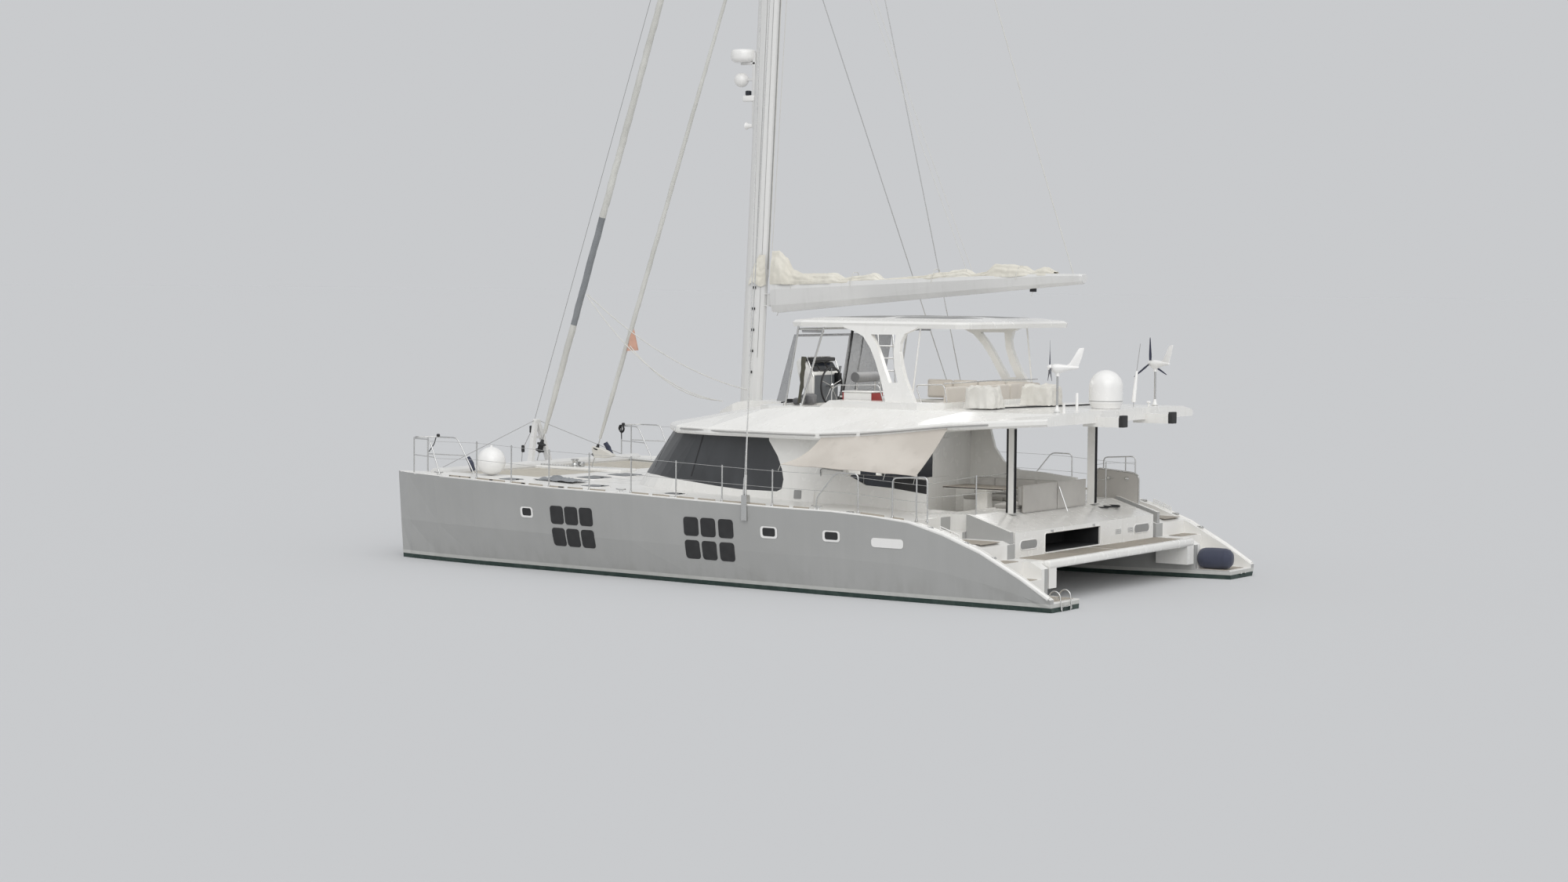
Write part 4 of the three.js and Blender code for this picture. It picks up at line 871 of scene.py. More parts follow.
RAIL_XS = [6.34, 5.24, 4.07, 2.88, 1.67, 0.41, -0.85, -2.19, -3.32, -4.42, -5.22, -5.7]
CLEAT_XS = (7.6, 1.9, -3.4)
bars = []
for front, back in zip([7.3, *RAIL_XS], RAIL_XS):
    pieces = 2 if front - back > 1.1 else 1
    for i in range(pieces):
        start = back + 0.1 + (front - back - 0.1) / pieces * i
        end = start + (front - back - 0.1) / pieces - 0.12
        if not any(start - 0.05 < x < end + 0.05 for x in CLEAT_XS):
            bars.append(toe_bar(start, end))
settle_pair(bars, "toe_rails", TEAK)
print("toe rails in", len(bars), "lengths a side")


# %% Mooring cleats
def cleat(x, y, z):
    """A two-legged cleat: a bar with tapering horns on two feet."""
    horns = pipes([[(-0.13, 0, 0.075), (-0.05, 0, 0.06), (0.05, 0, 0.06), (0.13, 0, 0.075)]],
                  0.016, 0.04)
    feet = [turned([(0.022, 0.0), (0.013, 0.02), (0.013, 0.06)], (side * 0.045, 0, 0), sides=14)
            for side in (-1, 1)]
    obj = joined([horns, *feet])
    obj.location = (x, y, z)
    return apply_all(obj)


cleats = []
for x in CLEAT_XS:
    edge_y, edge_z = sheer_edge(x)
    cleats.append(cleat(x, edge_y - 0.16, edge_z))
settle_pair(cleats, "deck_cleats", STEEL)
print("cleats at", CLEAT_XS)

# %% [markdown]
# ## Guard rails
# The solids of the rails are coarse, so smooth tubes stand for them. Posts, gate hoops and the bow
# pulpit are bent tubes; the two lifelines are thin wires with a small sleeve at each post. All the
# tubes of a side are one object, made from a curve with many runs.

# %% Rail measures from the solids
RAIL_TUBE, WIRE_THICK = 0.0165, 0.0045
RAIL_INSET = 0.245
# The hoops beside the gates, by x and height above the deck edge
HOOPS = (((-3.33, -0.03), (-3.34, 0.23), (-3.83, 0.805), (-4.39, 0.83), (-4.395, -0.03)),
         ((-5.25, -0.03), (-5.25, 0.84), (-6.1, 0.94), (-6.11, -0.03)))
HOOP_POST = ((-5.84, -0.03), (-5.84, 0.909))
HOOP_FEET = (-3.33, -4.395, -5.25, -5.84, -6.11)
WIRE_STOPS = {0.5: (-3.48, -4.393, -5.25, -6.107), 0.955: (-3.785, -4.391, -5.25, -6.104)}
HULL_BEAM = ((9.2, 4.1), (8.7, 4.36), (7.6, 4.64), (6.3, 4.83), (3.9, 4.95), (1.65, 4.99),
             (-0.5, 5.0), (-2.6, 5.0), (-3.85, 4.99), (-4.85, 4.98), (-5.8, 4.965))
SHEER_LINE = ((9.2, 2.08), (6.3, 2.04), (3.9, 1.965), (1.65, 1.94), (-0.5, 1.885), (-2.6, 1.84),
              (-3.85, 1.83), (-4.85, 1.78), (-5.8, 1.7))


def read_table(table, x):
    for (xa, a), (xb, b) in zip(table, table[1:]):
        if xb <= x <= xa:
            return a + (b - a) * (xa - x) / (xa - xb)
    return table[-1][1]


def rail_place(x, height):
    return (x, read_table(HULL_BEAM, x) - RAIL_INSET, read_table(SHEER_LINE, x) + height)


def rail_point(x, share):
    """A point on a stanchion: share 0 at the deck, 1 at the top."""
    return rail_place(x, (0.87 - 0.08 * min(max((6.21 - x) / 8.0, 0.0), 1.0)) * share)


print("stanchion top amidships", rail_point(0.41, 1.0))

# %% Posts, gates and pulpit
posts = [[rail_point(x, -0.02), rail_point(x, 1.0)] for x in RAIL_XS[:8]]
hoops = [[rail_place(*point) for point in run] for run in (*HOOPS, HOOP_POST)]
pulpit = [[(7.45, 4.58, 2.02), (7.81, 4.56, 2.9), (8.42, 4.45, 2.905), (8.72, 4.05, 2.91),
    (8.4, 3.66, 2.905), (7.8, 3.58, 2.9), (7.27, 3.55, 2.02)],
    [(8.55, 4.28, 2.9), (8.55, 4.28, 2.03)], [(8.52, 3.82, 2.9), (8.52, 3.82, 2.03)]]
middle_rails = [[(7.63, 4.57, 2.48), (8.55, 4.28, 2.5)], [(7.53, 3.565, 2.48), (8.52, 3.82, 2.5)]]
tubes = pipes(posts + hoops + pulpit, RAIL_TUBE, bend=0.11)
thin = pipes(middle_rails, 0.012)
bases = [turned([(0.045, 0.0), (0.045, 0.006), (0.026, 0.012), (0.022, 0.05)], rail_point(x, 0.0),
    sides=20) for x in [*RAIL_XS[:8], *HOOP_FEET]]
settle_pair([tubes, thin, *bases], "guardrail_tubes", STEEL, replaces="guardrail", smooth=50)

# %% Lifelines
wires, sleeves = [], []
for share, hoop_stops in WIRE_STOPS.items():
    stops = [*RAIL_XS[:8], *hoop_stops]
    start = (7.45 + 0.36 * share, 4.57, 2.02 + 0.88 * share)
    places = [start] + [rail_point(x, share) for x in stops]
    wires.append(places)
    for x in RAIL_XS[:8]:
        px, py, pz = rail_point(x, share)
        sleeves.append([(px - 0.03, py, pz), (px + 0.03, py, pz)])
lines = pipes(wires, WIRE_THICK, bend=0)
ferrules = pipes(sleeves, 0.009)
settle_pair([lines, ferrules], "lifelines", STEEL, smooth=60)
print("two lifelines a side past", len(stops), "posts")

# %% Rails across the stern
hoop_leg = rail_place(-6.11, 0.0)
stern_post = [(-6.25, 2.95, top_at("bridgedeck", -6.25, 2.95, 2.4) - 0.01), (-6.25, 2.95, 2.6)]
stern_wires = [[(-6.11, hoop_leg[1], hoop_leg[2] + low), (-6.25, 2.95, middle),
    (-6.39, 1.9, middle + 0.01)] for low, middle in ((0.8, 2.57), (0.5, 2.2))]
settle_pair([pipes([stern_post], RAIL_TUBE, bend=0), pipes(stern_wires, 0.006, bend=0),
    turned([(0.045, 0.0), (0.045, 0.006), (0.026, 0.012)], stern_post[0], sides=20)], "stern_rails",
    STEEL, smooth=50)
print("the stern rails end at the roof posts")

# %% [markdown]
# ## Deckhouse fittings
# The wrap-round saloon glass is one solid, so its seams are thin black strips laid on it. Strips
# and vents are flat shapes made near the middle plane and then moved out to the surface, as the
# hull windows were. A low band of dark panes stands on the cockpit's port wing.

# %% Seams of the saloon glass
def strip_on_side(node, points, width, proud=0.004):
    """A narrow strip along points of x and z, laid on the port side of a node."""
    route = [Vector((x, 0.0, z)) for x, z in points]
    along = (route[-1] - route[0]).normalized()
    across = Vector((along.z, 0.0, -along.x)) * width / 2
    obj = plate([p + across for p in route] + [p - across for p in reversed(route)], (0, 0.012, 0))
    lay_on_side(obj, node)
    obj.location.y = proud - 0.012
    return apply_all(obj)


def between(a, b, count):
    return [tuple(p + (q - p) * i / count for p, q in zip(a, b)) for i in range(count + 1)]


seams = [strip_on_side("saloon_glass", between((0.745, 3.215), (0.985, 2.275), 6), 0.035),
         strip_on_side("saloon_glass", between((2.32, 3.1), (2.42, 2.4), 6), 0.03)]
settle_pair(seams, "saloon_seams", RUBBER, slot="dark_glass", smooth=60)

# %% Band on the port wing, and side vents
BAND = ((-3.03, 2.5), (-3.38, 2.5), (-3.66, 2.505), (-4.4, 2.5), (-4.48, 2.495), (-5.27, 2.465))
wing_glass = [plate([(x, 3.362, z) for x, z in corners], (0, 0.03, 0)) for corners in (
    ((-3.33, 2.5), (-3.33, 2.44), (-3.64, 2.3), (-3.64, 2.505)),
    ((-3.68, 2.505), (-3.68, 2.28), (-4.42, 2.245), (-4.42, 2.5)))]
settle(wing_glass, "wing_panes", HULL_GLASS)
wing_panel = plate([(-4.46, 3.358, 2.495), (-4.46, 3.358, 2.24), (-5.26, 3.358, 2.155),
    (-5.26, 3.358, 2.465)], (0, 0.038, 0))
settle(wing_panel, "wing_panel", RUBBER)
wing_frame = pipes([[(x, 3.377, z) for x, z in BAND[1:]],
    *([(x, 3.377, 2.26), (x, 3.377, 2.5)] for x in (-3.66, -4.44))], 0.014, bend=0)
house_tube = pipes([[(-2.55, 3.36, 2.3), (-2.57, 3.46, 2.57), (-2.63, 3.47, 2.61),
    (-3.13, 3.46, 2.58), (-3.16, 3.36, 2.57)]], 0.012, bend=0.04)
settle([wing_frame, house_tube], "wing_frame", GREY_PANEL, smooth=50)
vent = lay_on_side(pane(-2.06, -1.87, 1.91, 2.1, 0.02, 0.012, 0.012, 0.006,
    (GREY_PANEL, DARK_METAL)), "deckhouse")
slats = [strip_on_side("deckhouse", [(-2.045, z), (-1.885, z)], 0.012, 0.009)
         for z in (1.94, 1.97, 2.0, 2.03, 2.06)]
for slat in slats:
    dress(slat, GREY_PANEL)
settle_pair([vent, *slats], "side_vents", None, slot="plastic")
aft_glass = slab((-2.395, 0.895, 2.145), (-2.375, 1.6, 3.055), 0.003, 1)
settle_pair(aft_glass, "aft_windows", HULL_GLASS)
aft_panel = slab((-2.418, 1.58, 2.145), (-2.37, 2.305, 3.055), 0.004, 1)
settle_pair(aft_panel, "aft_blinds", GELCOAT)
print("laid seams, wing panes and vents")

# %% [markdown]
# ## Handrails along the roof
# Stainless handrails run along the brim of the roof, held off it by short stubs. The route is
# given by x and height only; the distance out comes from a ray against the roof.

# %% Brim handrails
def brim_rail(points):
    """One length of handrail with its stubs, beside the roof's edge."""
    route = [(x, side_at("flydeck", x, z) + 0.05, z) for x, z in points]
    ends = [[(x, y - 0.06, z), (x, y, z)] for x, y, z in (route[0], route[-1])]
    run = [ends[0][0], *route, ends[1][0]]
    stubs = []
    for (xa, ya, za), (xb, yb, zb) in zip(route, route[1:]):
        count = max(1, round((xa - xb) / 0.8))
        for i in range(1, count + 1):
            t = i / count
            x, z = xa + (xb - xa) * t, za + (zb - za) * t
            y = side_at("flydeck", x, z)
            stubs.append([(x, y - 0.01, z), (x, ya + (yb - ya) * t, z)])
    return joined([pipes([run], 0.018, 0.035), pipes(stubs, 0.01, bend=0)])


rails = [brim_rail([(1.2, 3.36), (-0.26, 3.35), (-1.76, 3.35), (-2.66, 3.36)]),
         brim_rail([(-2.82, 3.37), (-3.72, 3.42)]),
         brim_rail([(-3.86, 3.43), (-4.86, 3.53), (-5.96, 3.65), (-6.88, 3.72)])]
# The stainless rails take a flat grey, painted shade for the shadow line under them.
settle_pair(rails, "brim_handrails", RAIL_SHADE_GREY, smooth=50)
print("handrails in", len(rails), "lengths a side")

# %% [markdown]
# ## Side awning
# A grey-beige awning hangs from the roof's edge over the port side deck. It is a fine flat grid
# whose corners find their places between nine control points, three along each edge.
# The lower edge is cut in shallow arcs between its ties, where the cloth is pulled tight, and
# small ripples run up from each tie. A hem tube and the ties belong to it.

# %% Shape of the awning
AWNING_EDGES = (((-2.85, 3.827, 3.314), (-4.4, 3.8, 3.433), (-5.96, 3.7, 3.623)),
    ((-2.595, 4.214, 2.94), (-4.3, 4.2, 2.98), (-5.86, 4.15, 3.043)),
    ((-2.34, 4.655, 2.737), (-4.2, 4.655, 2.687), (-5.76, 4.655, 2.634)))
TIES = 5
COLUMNS, ROWS = 84, 28


def three_way(values, t):
    """A smooth line through three values, at t from 0 to 1."""
    a, b, c = values
    return a * (1 - t) * (1 - 2 * t) + b * 4 * t * (1 - t) + c * t * (2 * t - 1)


def awning_point(s, t):
    """s runs aft, t from the roof down to the rail."""
    tie = (s * (TIES - 1)) % 1.0
    t = t * (1 - 0.035 * 4 * tie * (1 - tie))
    x, y, z = (three_way([three_way([point[i] for point in row], s) for row in AWNING_EDGES], t)
               for i in range(3))
    pull = cos(2 * pi * s * (TIES - 1))
    ripple = 0.01 * t * t * pull + 0.004 * sin(21 * s + 9 * t) * t
    edge_in = 0.16 * t * (1 - t) * (exp(-s * 14) - exp(-(1 - s) * 14))
    return Vector((x - edge_in, y + ripple * 0.4, z + ripple))


awning_cloth = grid_cloth(COLUMNS, ROWS, awning_point, 0.002)
settle(awning_cloth, "awning_cloth", AWNING_CLOTH, smooth=60, replaces=["awning"])

# %% Hem and ties of the awning
hem_runs = [[awning_point(i / 40, 1.0) for i in range(41)],
    [awning_point(0.0, i / 12) for i in range(13)], [awning_point(1.0, i / 12) for i in range(13)]]
hem = pipes(hem_runs, 0.009, bend=0)
settle(hem, "awning_hem", AWNING_CLOTH, smooth=60)
tie_runs = []
for i in range(TIES):
    low = awning_point(i / (TIES - 1), 1.0)
    rail_y = read_table(HULL_BEAM, low.x) - RAIL_INSET + 0.01
    tie_runs.append([low, (low.x, rail_y, read_table(SHEER_LINE, low.x) + 0.77)])
settle(pipes(tie_runs, 0.004, bend=0), "awning_ties", ROPE, smooth=60)
awning_area = declare_sheet(awning_cloth, (1.25, 3.42), "hung", rests_on=["flydeck"],
    with_pieces=["awning_hem", "awning_ties"])
print("awning cloth of", round(awning_area, 3), "square metres")

# %% [markdown]
# ## Cushions
# A cushion is a rounded slab cut into a grid, so that its face can swell: each corner of the grid
# is pushed out most in the middle and not at all at the edges, and a little noise gives the fabric
# its dents. One subdivision smooths it. The piping is a thin tube along the seam.

# %% A cushion
CUSHION_GRID = 0.09


def cushion(low, high, crown=0.03, axis=2, front=1, edge=0.045):
    """A cushion between two corners; its front face is across the axis and swells out."""
    centre = [(a + b) / 2 for a, b in zip(low, high)]
    half = [abs(b - a) / 2 for a, b in zip(low, high)]
    edge = min(edge, min(half) * 0.8)
    obj = slab(low, high, edge, 3)
    flat = [i for i in range(3) if i != axis]
    for i in flat:
        count = int(half[i] * 2 / CUSHION_GRID)
        cut_across(obj, i, [low[i] + half[i] * 2 * (k + 1) / (count + 1) for k in range(count)])
    for vertex in obj.data.vertices:
        u, v, w = ((vertex.co[i] - centre[i]) / half[i] for i in (*flat, axis))
        swell = max(0.0, 1 - abs(u) ** 3) * max(0.0, 1 - abs(v) ** 3)
        dent = bumps(vertex.co * 9.0) * 0.008 + bumps(vertex.co * 24.0) * 0.003
        if w * front > 0.3:
            vertex.co[axis] += front * (crown * swell - crown + dent * (1 - swell * 0.5))
    smoother = obj.modifiers.new("smooth", "SUBSURF")
    smoother.levels = smoother.render_levels = 1
    obj = apply_all(obj)
    seam_at = (high if front > 0 else low)[axis] - front * (crown + edge * 0.55)
    loop = []
    for a, b in rounded(low[flat[0]], high[flat[0]], low[flat[1]], high[flat[1]], edge * 0.7, 3):
        place = [0.0, 0.0, 0.0]
        place[flat[0]], place[flat[1]], place[axis] = a, b, seam_at
        loop.append(place)
    return joined([obj, pipes([loop], 0.006, bend=0, closed=True)])


def settle_cushion(parts, name, finish, replaces):
    piece = settle(parts, name, finish, slot="cushion", smooth=60, replaces=replaces)
    return piece


# %% [markdown]
# ## Cockpit
# The aft sofa, the bench and their white plinths stand for the plain solids. The backs that show
# from astern are two stiff upholstered panels. Dark tracks for the side curtains run down both
# faces of each roof post.

# %% Aft sofa
SOFA_Y = (-1.44, 1.41)
SOFA_SPLIT = -0.12

seats, backs, panels = [], [], []
thirds = [SOFA_Y[0] + (SOFA_Y[1] - SOFA_Y[0]) * i / 3 for i in range(4)]
for y0, y1 in zip(thirds, thirds[1:]):
    seats.append(cushion((-6.37, y0 + 0.005, 1.765), (-5.8, y1 - 0.005, 1.885), 0.02))
    backs.append(cushion((-6.5, y0 + 0.005, 1.86), (-6.35, y1 - 0.005, 2.27), 0.02, 0, 1, 0.05))
plinth = slab((-6.36, SOFA_Y[0], 1.7), (-5.82, SOFA_Y[1], 1.775), 0.012)
for y0, y1 in ((SOFA_Y[0], SOFA_SPLIT - 0.02), (SOFA_SPLIT + 0.02, SOFA_Y[1])):
    panels.append(cushion((-6.56, y0, 1.705), (-6.49, y1, 2.3), 0.012, 0, -1, 0.03))
settle_cushion(seats, "aft_sofa_seats", CUSHION, ["aft_sofa"])
settle_cushion(backs, "aft_sofa_backs", CUSHION, ["aft_sofa"])
settle_cushion(panels, "aft_sofa_panels", PANEL_CLOTH, ["aft_sofa"])
settle(plinth, "aft_sofa_plinth", GELCOAT, replaces=["aft_sofa"])
print("aft sofa from", SOFA_Y[0], "to", SOFA_Y[1])

# %% Bench along the starboard side
bench_seats, bench_backs = [], []
for i in range(4):
    x0, x1 = -5.2 + 0.55 * i, -4.65 + 0.55 * i
    bench_seats.append(cushion((x0 + 0.004, -2.5, 1.64), (x1 - 0.004, -1.95, 1.77), 0.022))
    bench_backs.append(cushion((x0 + 0.004, -2.64, 1.75), (x1 - 0.004, -2.47, 2.14), 0.02, 1, 1))
bench_base = slab((-5.19, -2.64, 1.302), (-3.01, -1.99, 1.645), 0.015)
settle_cushion(bench_seats, "bench_seats", CUSHION, ["cockpit_bench"])
settle_cushion(bench_backs, "bench_backs", CUSHION, ["cockpit_bench"])
settle(bench_base, "bench_base", GELCOAT, replaces=["cockpit_bench"])
print("bench of", len(bench_seats), "cushions")

# %% Tracks of the roof posts
POST_X, POST_Y = (-6.57, -6.39), 1.85
tracks = []
for x, side in ((POST_X[0], -1), (POST_X[1], 1)):
    tracks.append(slab((x, POST_Y - 0.048, 1.73), (x + side * 0.012, POST_Y + 0.048, 3.56), 0.003))
    if side > 0:
        tracks.append(slab((x - 0.05, POST_Y + 0.06, 1.73),
                           (x - 0.002, POST_Y + 0.069, 3.56), 0.003))
    for y in (-0.02, 0.02):
        tracks.append(slab((x + side * 0.011, POST_Y + y - 0.006, 1.76),
            (x + side * 0.019, POST_Y + y + 0.006, 3.54), 0.002))
settle_pair(tracks, "post_tracks", DARK_METAL, slot="spar")
feet = [slab((-6.61, POST_Y - 0.1, 1.7), (-6.35, POST_Y + 0.1, 1.715), 0.006)]
settle_pair(feet, "post_feet", STEEL)

# %% Rails and the folded side panel
grab = pipes([[(-6.58, -0.12, 2.2), (-6.78, -0.16, 1.66)]], 0.016)
settle(grab, "sofa_grab_rail", STEEL)
SIDE_PANEL_Y = -3.42
outline = [(-5.78, SIDE_PANEL_Y, 1.56), (-5.78, SIDE_PANEL_Y, 2.4), (-6.7, SIDE_PANEL_Y, 2.33),
           (-6.8, SIDE_PANEL_Y, 2.28), (-6.85, SIDE_PANEL_Y, 2.18), (-6.85, SIDE_PANEL_Y, 1.56)]
board = plate(outline, (0, -0.03, 0))
settle(board, "side_panel", PANEL_CLOTH)
frame_run = [(-5.76, SIDE_PANEL_Y, 1.5), (-5.76, SIDE_PANEL_Y, 2.42), (-6.72, SIDE_PANEL_Y, 2.35),
             (-6.87, SIDE_PANEL_Y, 2.28), (-6.87, SIDE_PANEL_Y, 1.42)]
settle(pipes([frame_run], 0.018, bend=0.1), "side_panel_frame", STEEL, smooth=50)
rings = [turned([(0.05, 0.0), (0.05, 0.012), (0.03, 0.02), (0.03, 0.03)],
    (x, SIDE_PANEL_Y + 0.002, 2.2), ALONG_Y, 24) for x in (-6.08, -6.55)]
settle(rings, "side_panel_fittings", STEEL)
print("panel beside the sofa at y", SIDE_PANEL_Y)

# %% Table top
leaves = [slab((-4.9, y0, 2.005), (-3.3, y1, 2.035), 0.008) for y0, y1 in
          ((-1.6, -1.078), (-1.072, -0.55))]
edge_trim = [slab((-4.88, -1.58, 1.99), (-3.32, -0.57, 2.008), 0.004)]
column = [slab((-4.25, -1.2, 1.302), (-3.95, -0.95, 1.99), 0.03, 3),
          slab((-4.32, -1.27, 1.302), (-3.88, -0.88, 1.33), 0.01)]
settle(leaves, "table_leaves", TABLE_TEAK, replaces=["cockpit_table"])
settle(edge_trim + column, "table_column", GELCOAT,
       replaces=["cockpit_table"])
print("table of two leaves")

# %% [markdown]
# ## Fly deck
# The steering position stands under the hardtop. Smooth tubes replace the plain windscreen frame,
# and a grey curtain of clear sheet closes its front, with a window on the port side of its middle
# post. The wheel is a turned ring: a circle that is spun around the wheel's axis.

# %% Windscreen tubes
WINDSCREEN = (
    [(-0.875, 2.39, 3.8), (-1.225, 2.335, 5.76)], [(-1.32, 2.42, 3.8), (-1.925, 2.35, 5.76)],
    [(-1.885, 2.35, 5.64), (-1.21, 2.335, 5.64), (-1.11, 1.15, 5.64), (-1.11, -1.15, 5.64),
     (-1.21, -2.335, 5.64), (-1.885, -2.35, 5.64)],
)
mirrored_runs = [[(x, -y, z) for x, y, z in run] for run in WINDSCREEN[:1]]
screen_tubes = pipes([*WINDSCREEN, *mirrored_runs], 0.024, bend=0.12, detail=3)
collars = [turned([(0.05, 0.0), (0.05, 0.012), (0.032, 0.02), (0.03, 0.06)], (x, y, z), sides=24)
    for x, y, z in ((-0.885, 2.389, 3.915), (-0.885, -2.389, 3.915), (-1.34, 2.416, 3.92),
    (-1.34, -2.416, 3.92))]
settle([screen_tubes, *collars], "windscreen_tubes", STEEL, smooth=50,
       replaces=["windscreen_frame"])


# %% Curtains of grey sheet
def curtain(corners, name):
    """A thin four-cornered pane between tubes, bellied a little by the wind."""
    low_a, low_b, high_b, high_a = (Vector(corner) for corner in corners)
    out = (low_b - low_a).cross(high_a - low_a).normalized()

    def point(u, v):
        belly = 16 * u * (1 - u) * v * (1 - v) * 0.02 + bumps((u * 4, v * 5, 1.7)) * 0.006
        return low_a.lerp(low_b, u).lerp(high_a.lerp(high_b, u), v) + out * belly

    return settle(grid_cloth(16, 12, point, 0.004), name, CLEAR_SHEET, smooth=60)


def front_corner(y, rise):
    """A point of the front curtain: rise 0 at the roof, 1 under the hardtop."""
    return (-0.905 - 0.265 * rise, y, 4.02 + 1.5 * rise)


def front_piece(y0, y1, low=0.0, high=1.0):
    return [front_corner(y0, low), front_corner(y1, low), front_corner(y1, high),
            front_corner(y0, high)]


CENTRE_POST_Y = 0.05
strips = ([(-0.6, 2.3, 4.0), (-0.9, 2.37, 4.0), (-1.15, 2.33, 5.52), (-1.09, 2.33, 5.52)],
          front_piece(0.16, CENTRE_POST_Y), front_piece(2.33, 0.16, 0.965, 1.0))
front_parts = [curtain(corners, "front_strip") for corners in strips]
window = settle(front_parts, "window_border", CLEAR_SHEET, smooth=60)
declare_sheet(window, (0.62, 1.0), "stretched")
front = curtain(front_piece(CENTRE_POST_Y, -1.7), "front_curtain")
declare_sheet(front, (1.76, 1.53), "stretched")
centre_posts = pipes([[front_corner(CENTRE_POST_Y + shift, 0.0), front_corner(CENTRE_POST_Y + shift,
    1.05)] for shift in (-0.03, 0.03)] + [[front_corner(-0.45, 0.0), front_corner(-0.45, 1.05)]],
    0.018, bend=0)
settle(centre_posts, "front_posts", DARK_METAL, smooth=50)
print("the front curtain ends at", front_corner(-1.7, 1.0))

# %% Rolled curtain and its straps
roll = pipes([[(-1.36, 2.33, 5.02), (-1.345, 2.36, 4.7), (-1.31, 2.33, 4.35), (-1.25, 2.36, 3.97)]],
             0.045, bend=0.2, detail=3)
for vertex in roll.data.vertices:
    vertex.co += Vector((1, 1, 0)) * bumps(vertex.co * 11.0) * 0.018
settle(roll, "rolled_curtain", OLIVE, smooth=60)
rolls = pipes([[(-1.3, y, 5.6), (-1.86, y, 5.6)] for y in (2.3, -2.3)]
              + [[(-1.2, -1.75, 5.58), (-1.2, -2.2, 5.58)]], 0.035, bend=0)
settle(rolls, "curtain_rolls", CLEAR_SHEET, smooth=60)

# %% Wheel
WHEEL_AT = (-1.3, 1.1, 4.33)
clear()
bpy.ops.mesh.primitive_circle_add(vertices=14, radius=0.022, fill_type="NGON",
    location=(-1.3, 1.1 + 0.43, 4.33))
rim = apply_all(bpy.context.object)
edit(rim, lambda: bpy.ops.mesh.spin(steps=64, angle=2 * pi, center=WHEEL_AT, axis=(1, 0, 0)),
     bpy.ops.mesh.remove_doubles, bpy.ops.mesh.normals_make_consistent)
spokes = pipes([[WHEEL_AT, (-1.3, 1.1 + 0.425 * sin(a), 4.33 + 0.425 * cos(a))]
                for a in (2 * pi * i / 5 for i in range(5))], 0.009, bend=0)
hub = turned([(0.035, -0.05), (0.06, -0.03), (0.06, 0.03), (0.04, 0.05), (0.025, 0.06),
              (0.025, 0.14)], WHEEL_AT, ALONG_X, 28)
settle(rim, "wheel_rim", RUBBER, "wheel", smooth=60, replaces=["helm_wheel"])
settle([spokes, hub], "wheel_spokes", STEEL, "wheel", smooth=50,
       replaces=["helm_wheel"])
print("wheel at", WHEEL_AT)


# %% Instruments on the console
def on_panel(y0, y1, s0, s1, corner, thickness):
    """A rounded plate on the console's sloping aft face; s runs up the slope in metres."""
    foot, head = Vector((-1.15, 0, 4.62)), Vector((-0.96, 0, 4.89))
    up = (head - foot).normalized()
    out = Vector((-up.z, 0, up.x))
    outline = [foot + up * s + Vector((0, y, 0)) + out * 0.001
               for y, s in rounded(y0, y1, s0, s1, corner, 3)]
    return plate(outline, tuple(out * thickness))


DISPLAYS_Y = ((0.62, 0.95), (0.99, 1.32), (1.36, 1.58))
displays = [on_panel(y0, y1, 0.05, 0.28, 0.02, 0.024) for y0, y1 in DISPLAYS_Y]
screens = [on_panel(y0 + 0.025, y1 - 0.025, 0.075, 0.255, 0.008, 0.026) for y0, y1 in DISPLAYS_Y]
settle(displays, "console_displays", RUBBER)
settle(screens, "console_screens", HULL_GLASS)
lever_base = slab((-1.3, 0.66, 4.36), (-1.16, 0.78, 4.62), 0.02, 3)
levers = pipes([[(-1.25, y, 4.6), (-1.29, y, 4.78)] for y in (0.69, 0.75)], 0.011, bend=0)
settle([lever_base, levers], "throttle", DARK_METAL)
grab = pipes([[(-1.17, 0.54, 4.55), (-1.02, 0.54, 4.93), (-0.95, 0.62, 4.985), (-0.95, 1.58, 4.985),
    (-1.02, 1.66, 4.93), (-1.17, 1.66, 4.55)]], 0.014, bend=0.07)
settle(grab, "console_rail", STEEL, smooth=50)
print("instruments on the console:", len(displays))

# %% Gear around the wheel
hood = slab((-1.12, 0.66, 4.885), (-0.86, 1.62, 4.975), 0.03, 3)
settle(hood, "instrument_hood", RUBBER, smooth=50)
face = slab((-1.162, 0.62, 3.95), (-1.152, 1.58, 4.58), 0.004, 1)
settle(face, "console_face", SMOKED)
bags = [slab((-1.3, 1.66, 3.92), (-1.02, 2.02, 4.16), 0.07, 4),
    slab((-1.22, 2.02, 3.92), (-1.0, 2.26, 4.08), 0.06, 4)]
for bag in bags:
    for axis in range(3):
        low, high = reach_of(bag, axis)
        cut_across(bag, axis, [low + 0.06 * (i + 1) for i in range(int((high - low) / 0.06))])
    for vertex in bag.data.vertices:
        vertex.co += wobble(vertex.co * 7.0) * 0.03
settle(bags, "dark_bags", DARK_CUSHION, smooth=60)
lying_ropes = []
for cx, cy, r in ((-1.12, 0.46, 0.13), (-1.02, 0.3, 0.1), (-0.98, 1.9, 0.08)):
    deck = top_at("flydeck", cx, cy, 4.6)
    lying_ropes.append([(cx + r * cos(i * 0.45) * (1 + 0.1 * sin(i)), cy + r * sin(i * 0.45),
        deck + 0.012 + 0.0011 * i) for i in range(60)])
settle(pipes(lying_ropes, 0.009, bend=0, detail=1), "cockpit_ropes", ROPE, smooth=60)
print("gear around the wheel:", len(bags), "bags,", len(lying_ropes), "coils")

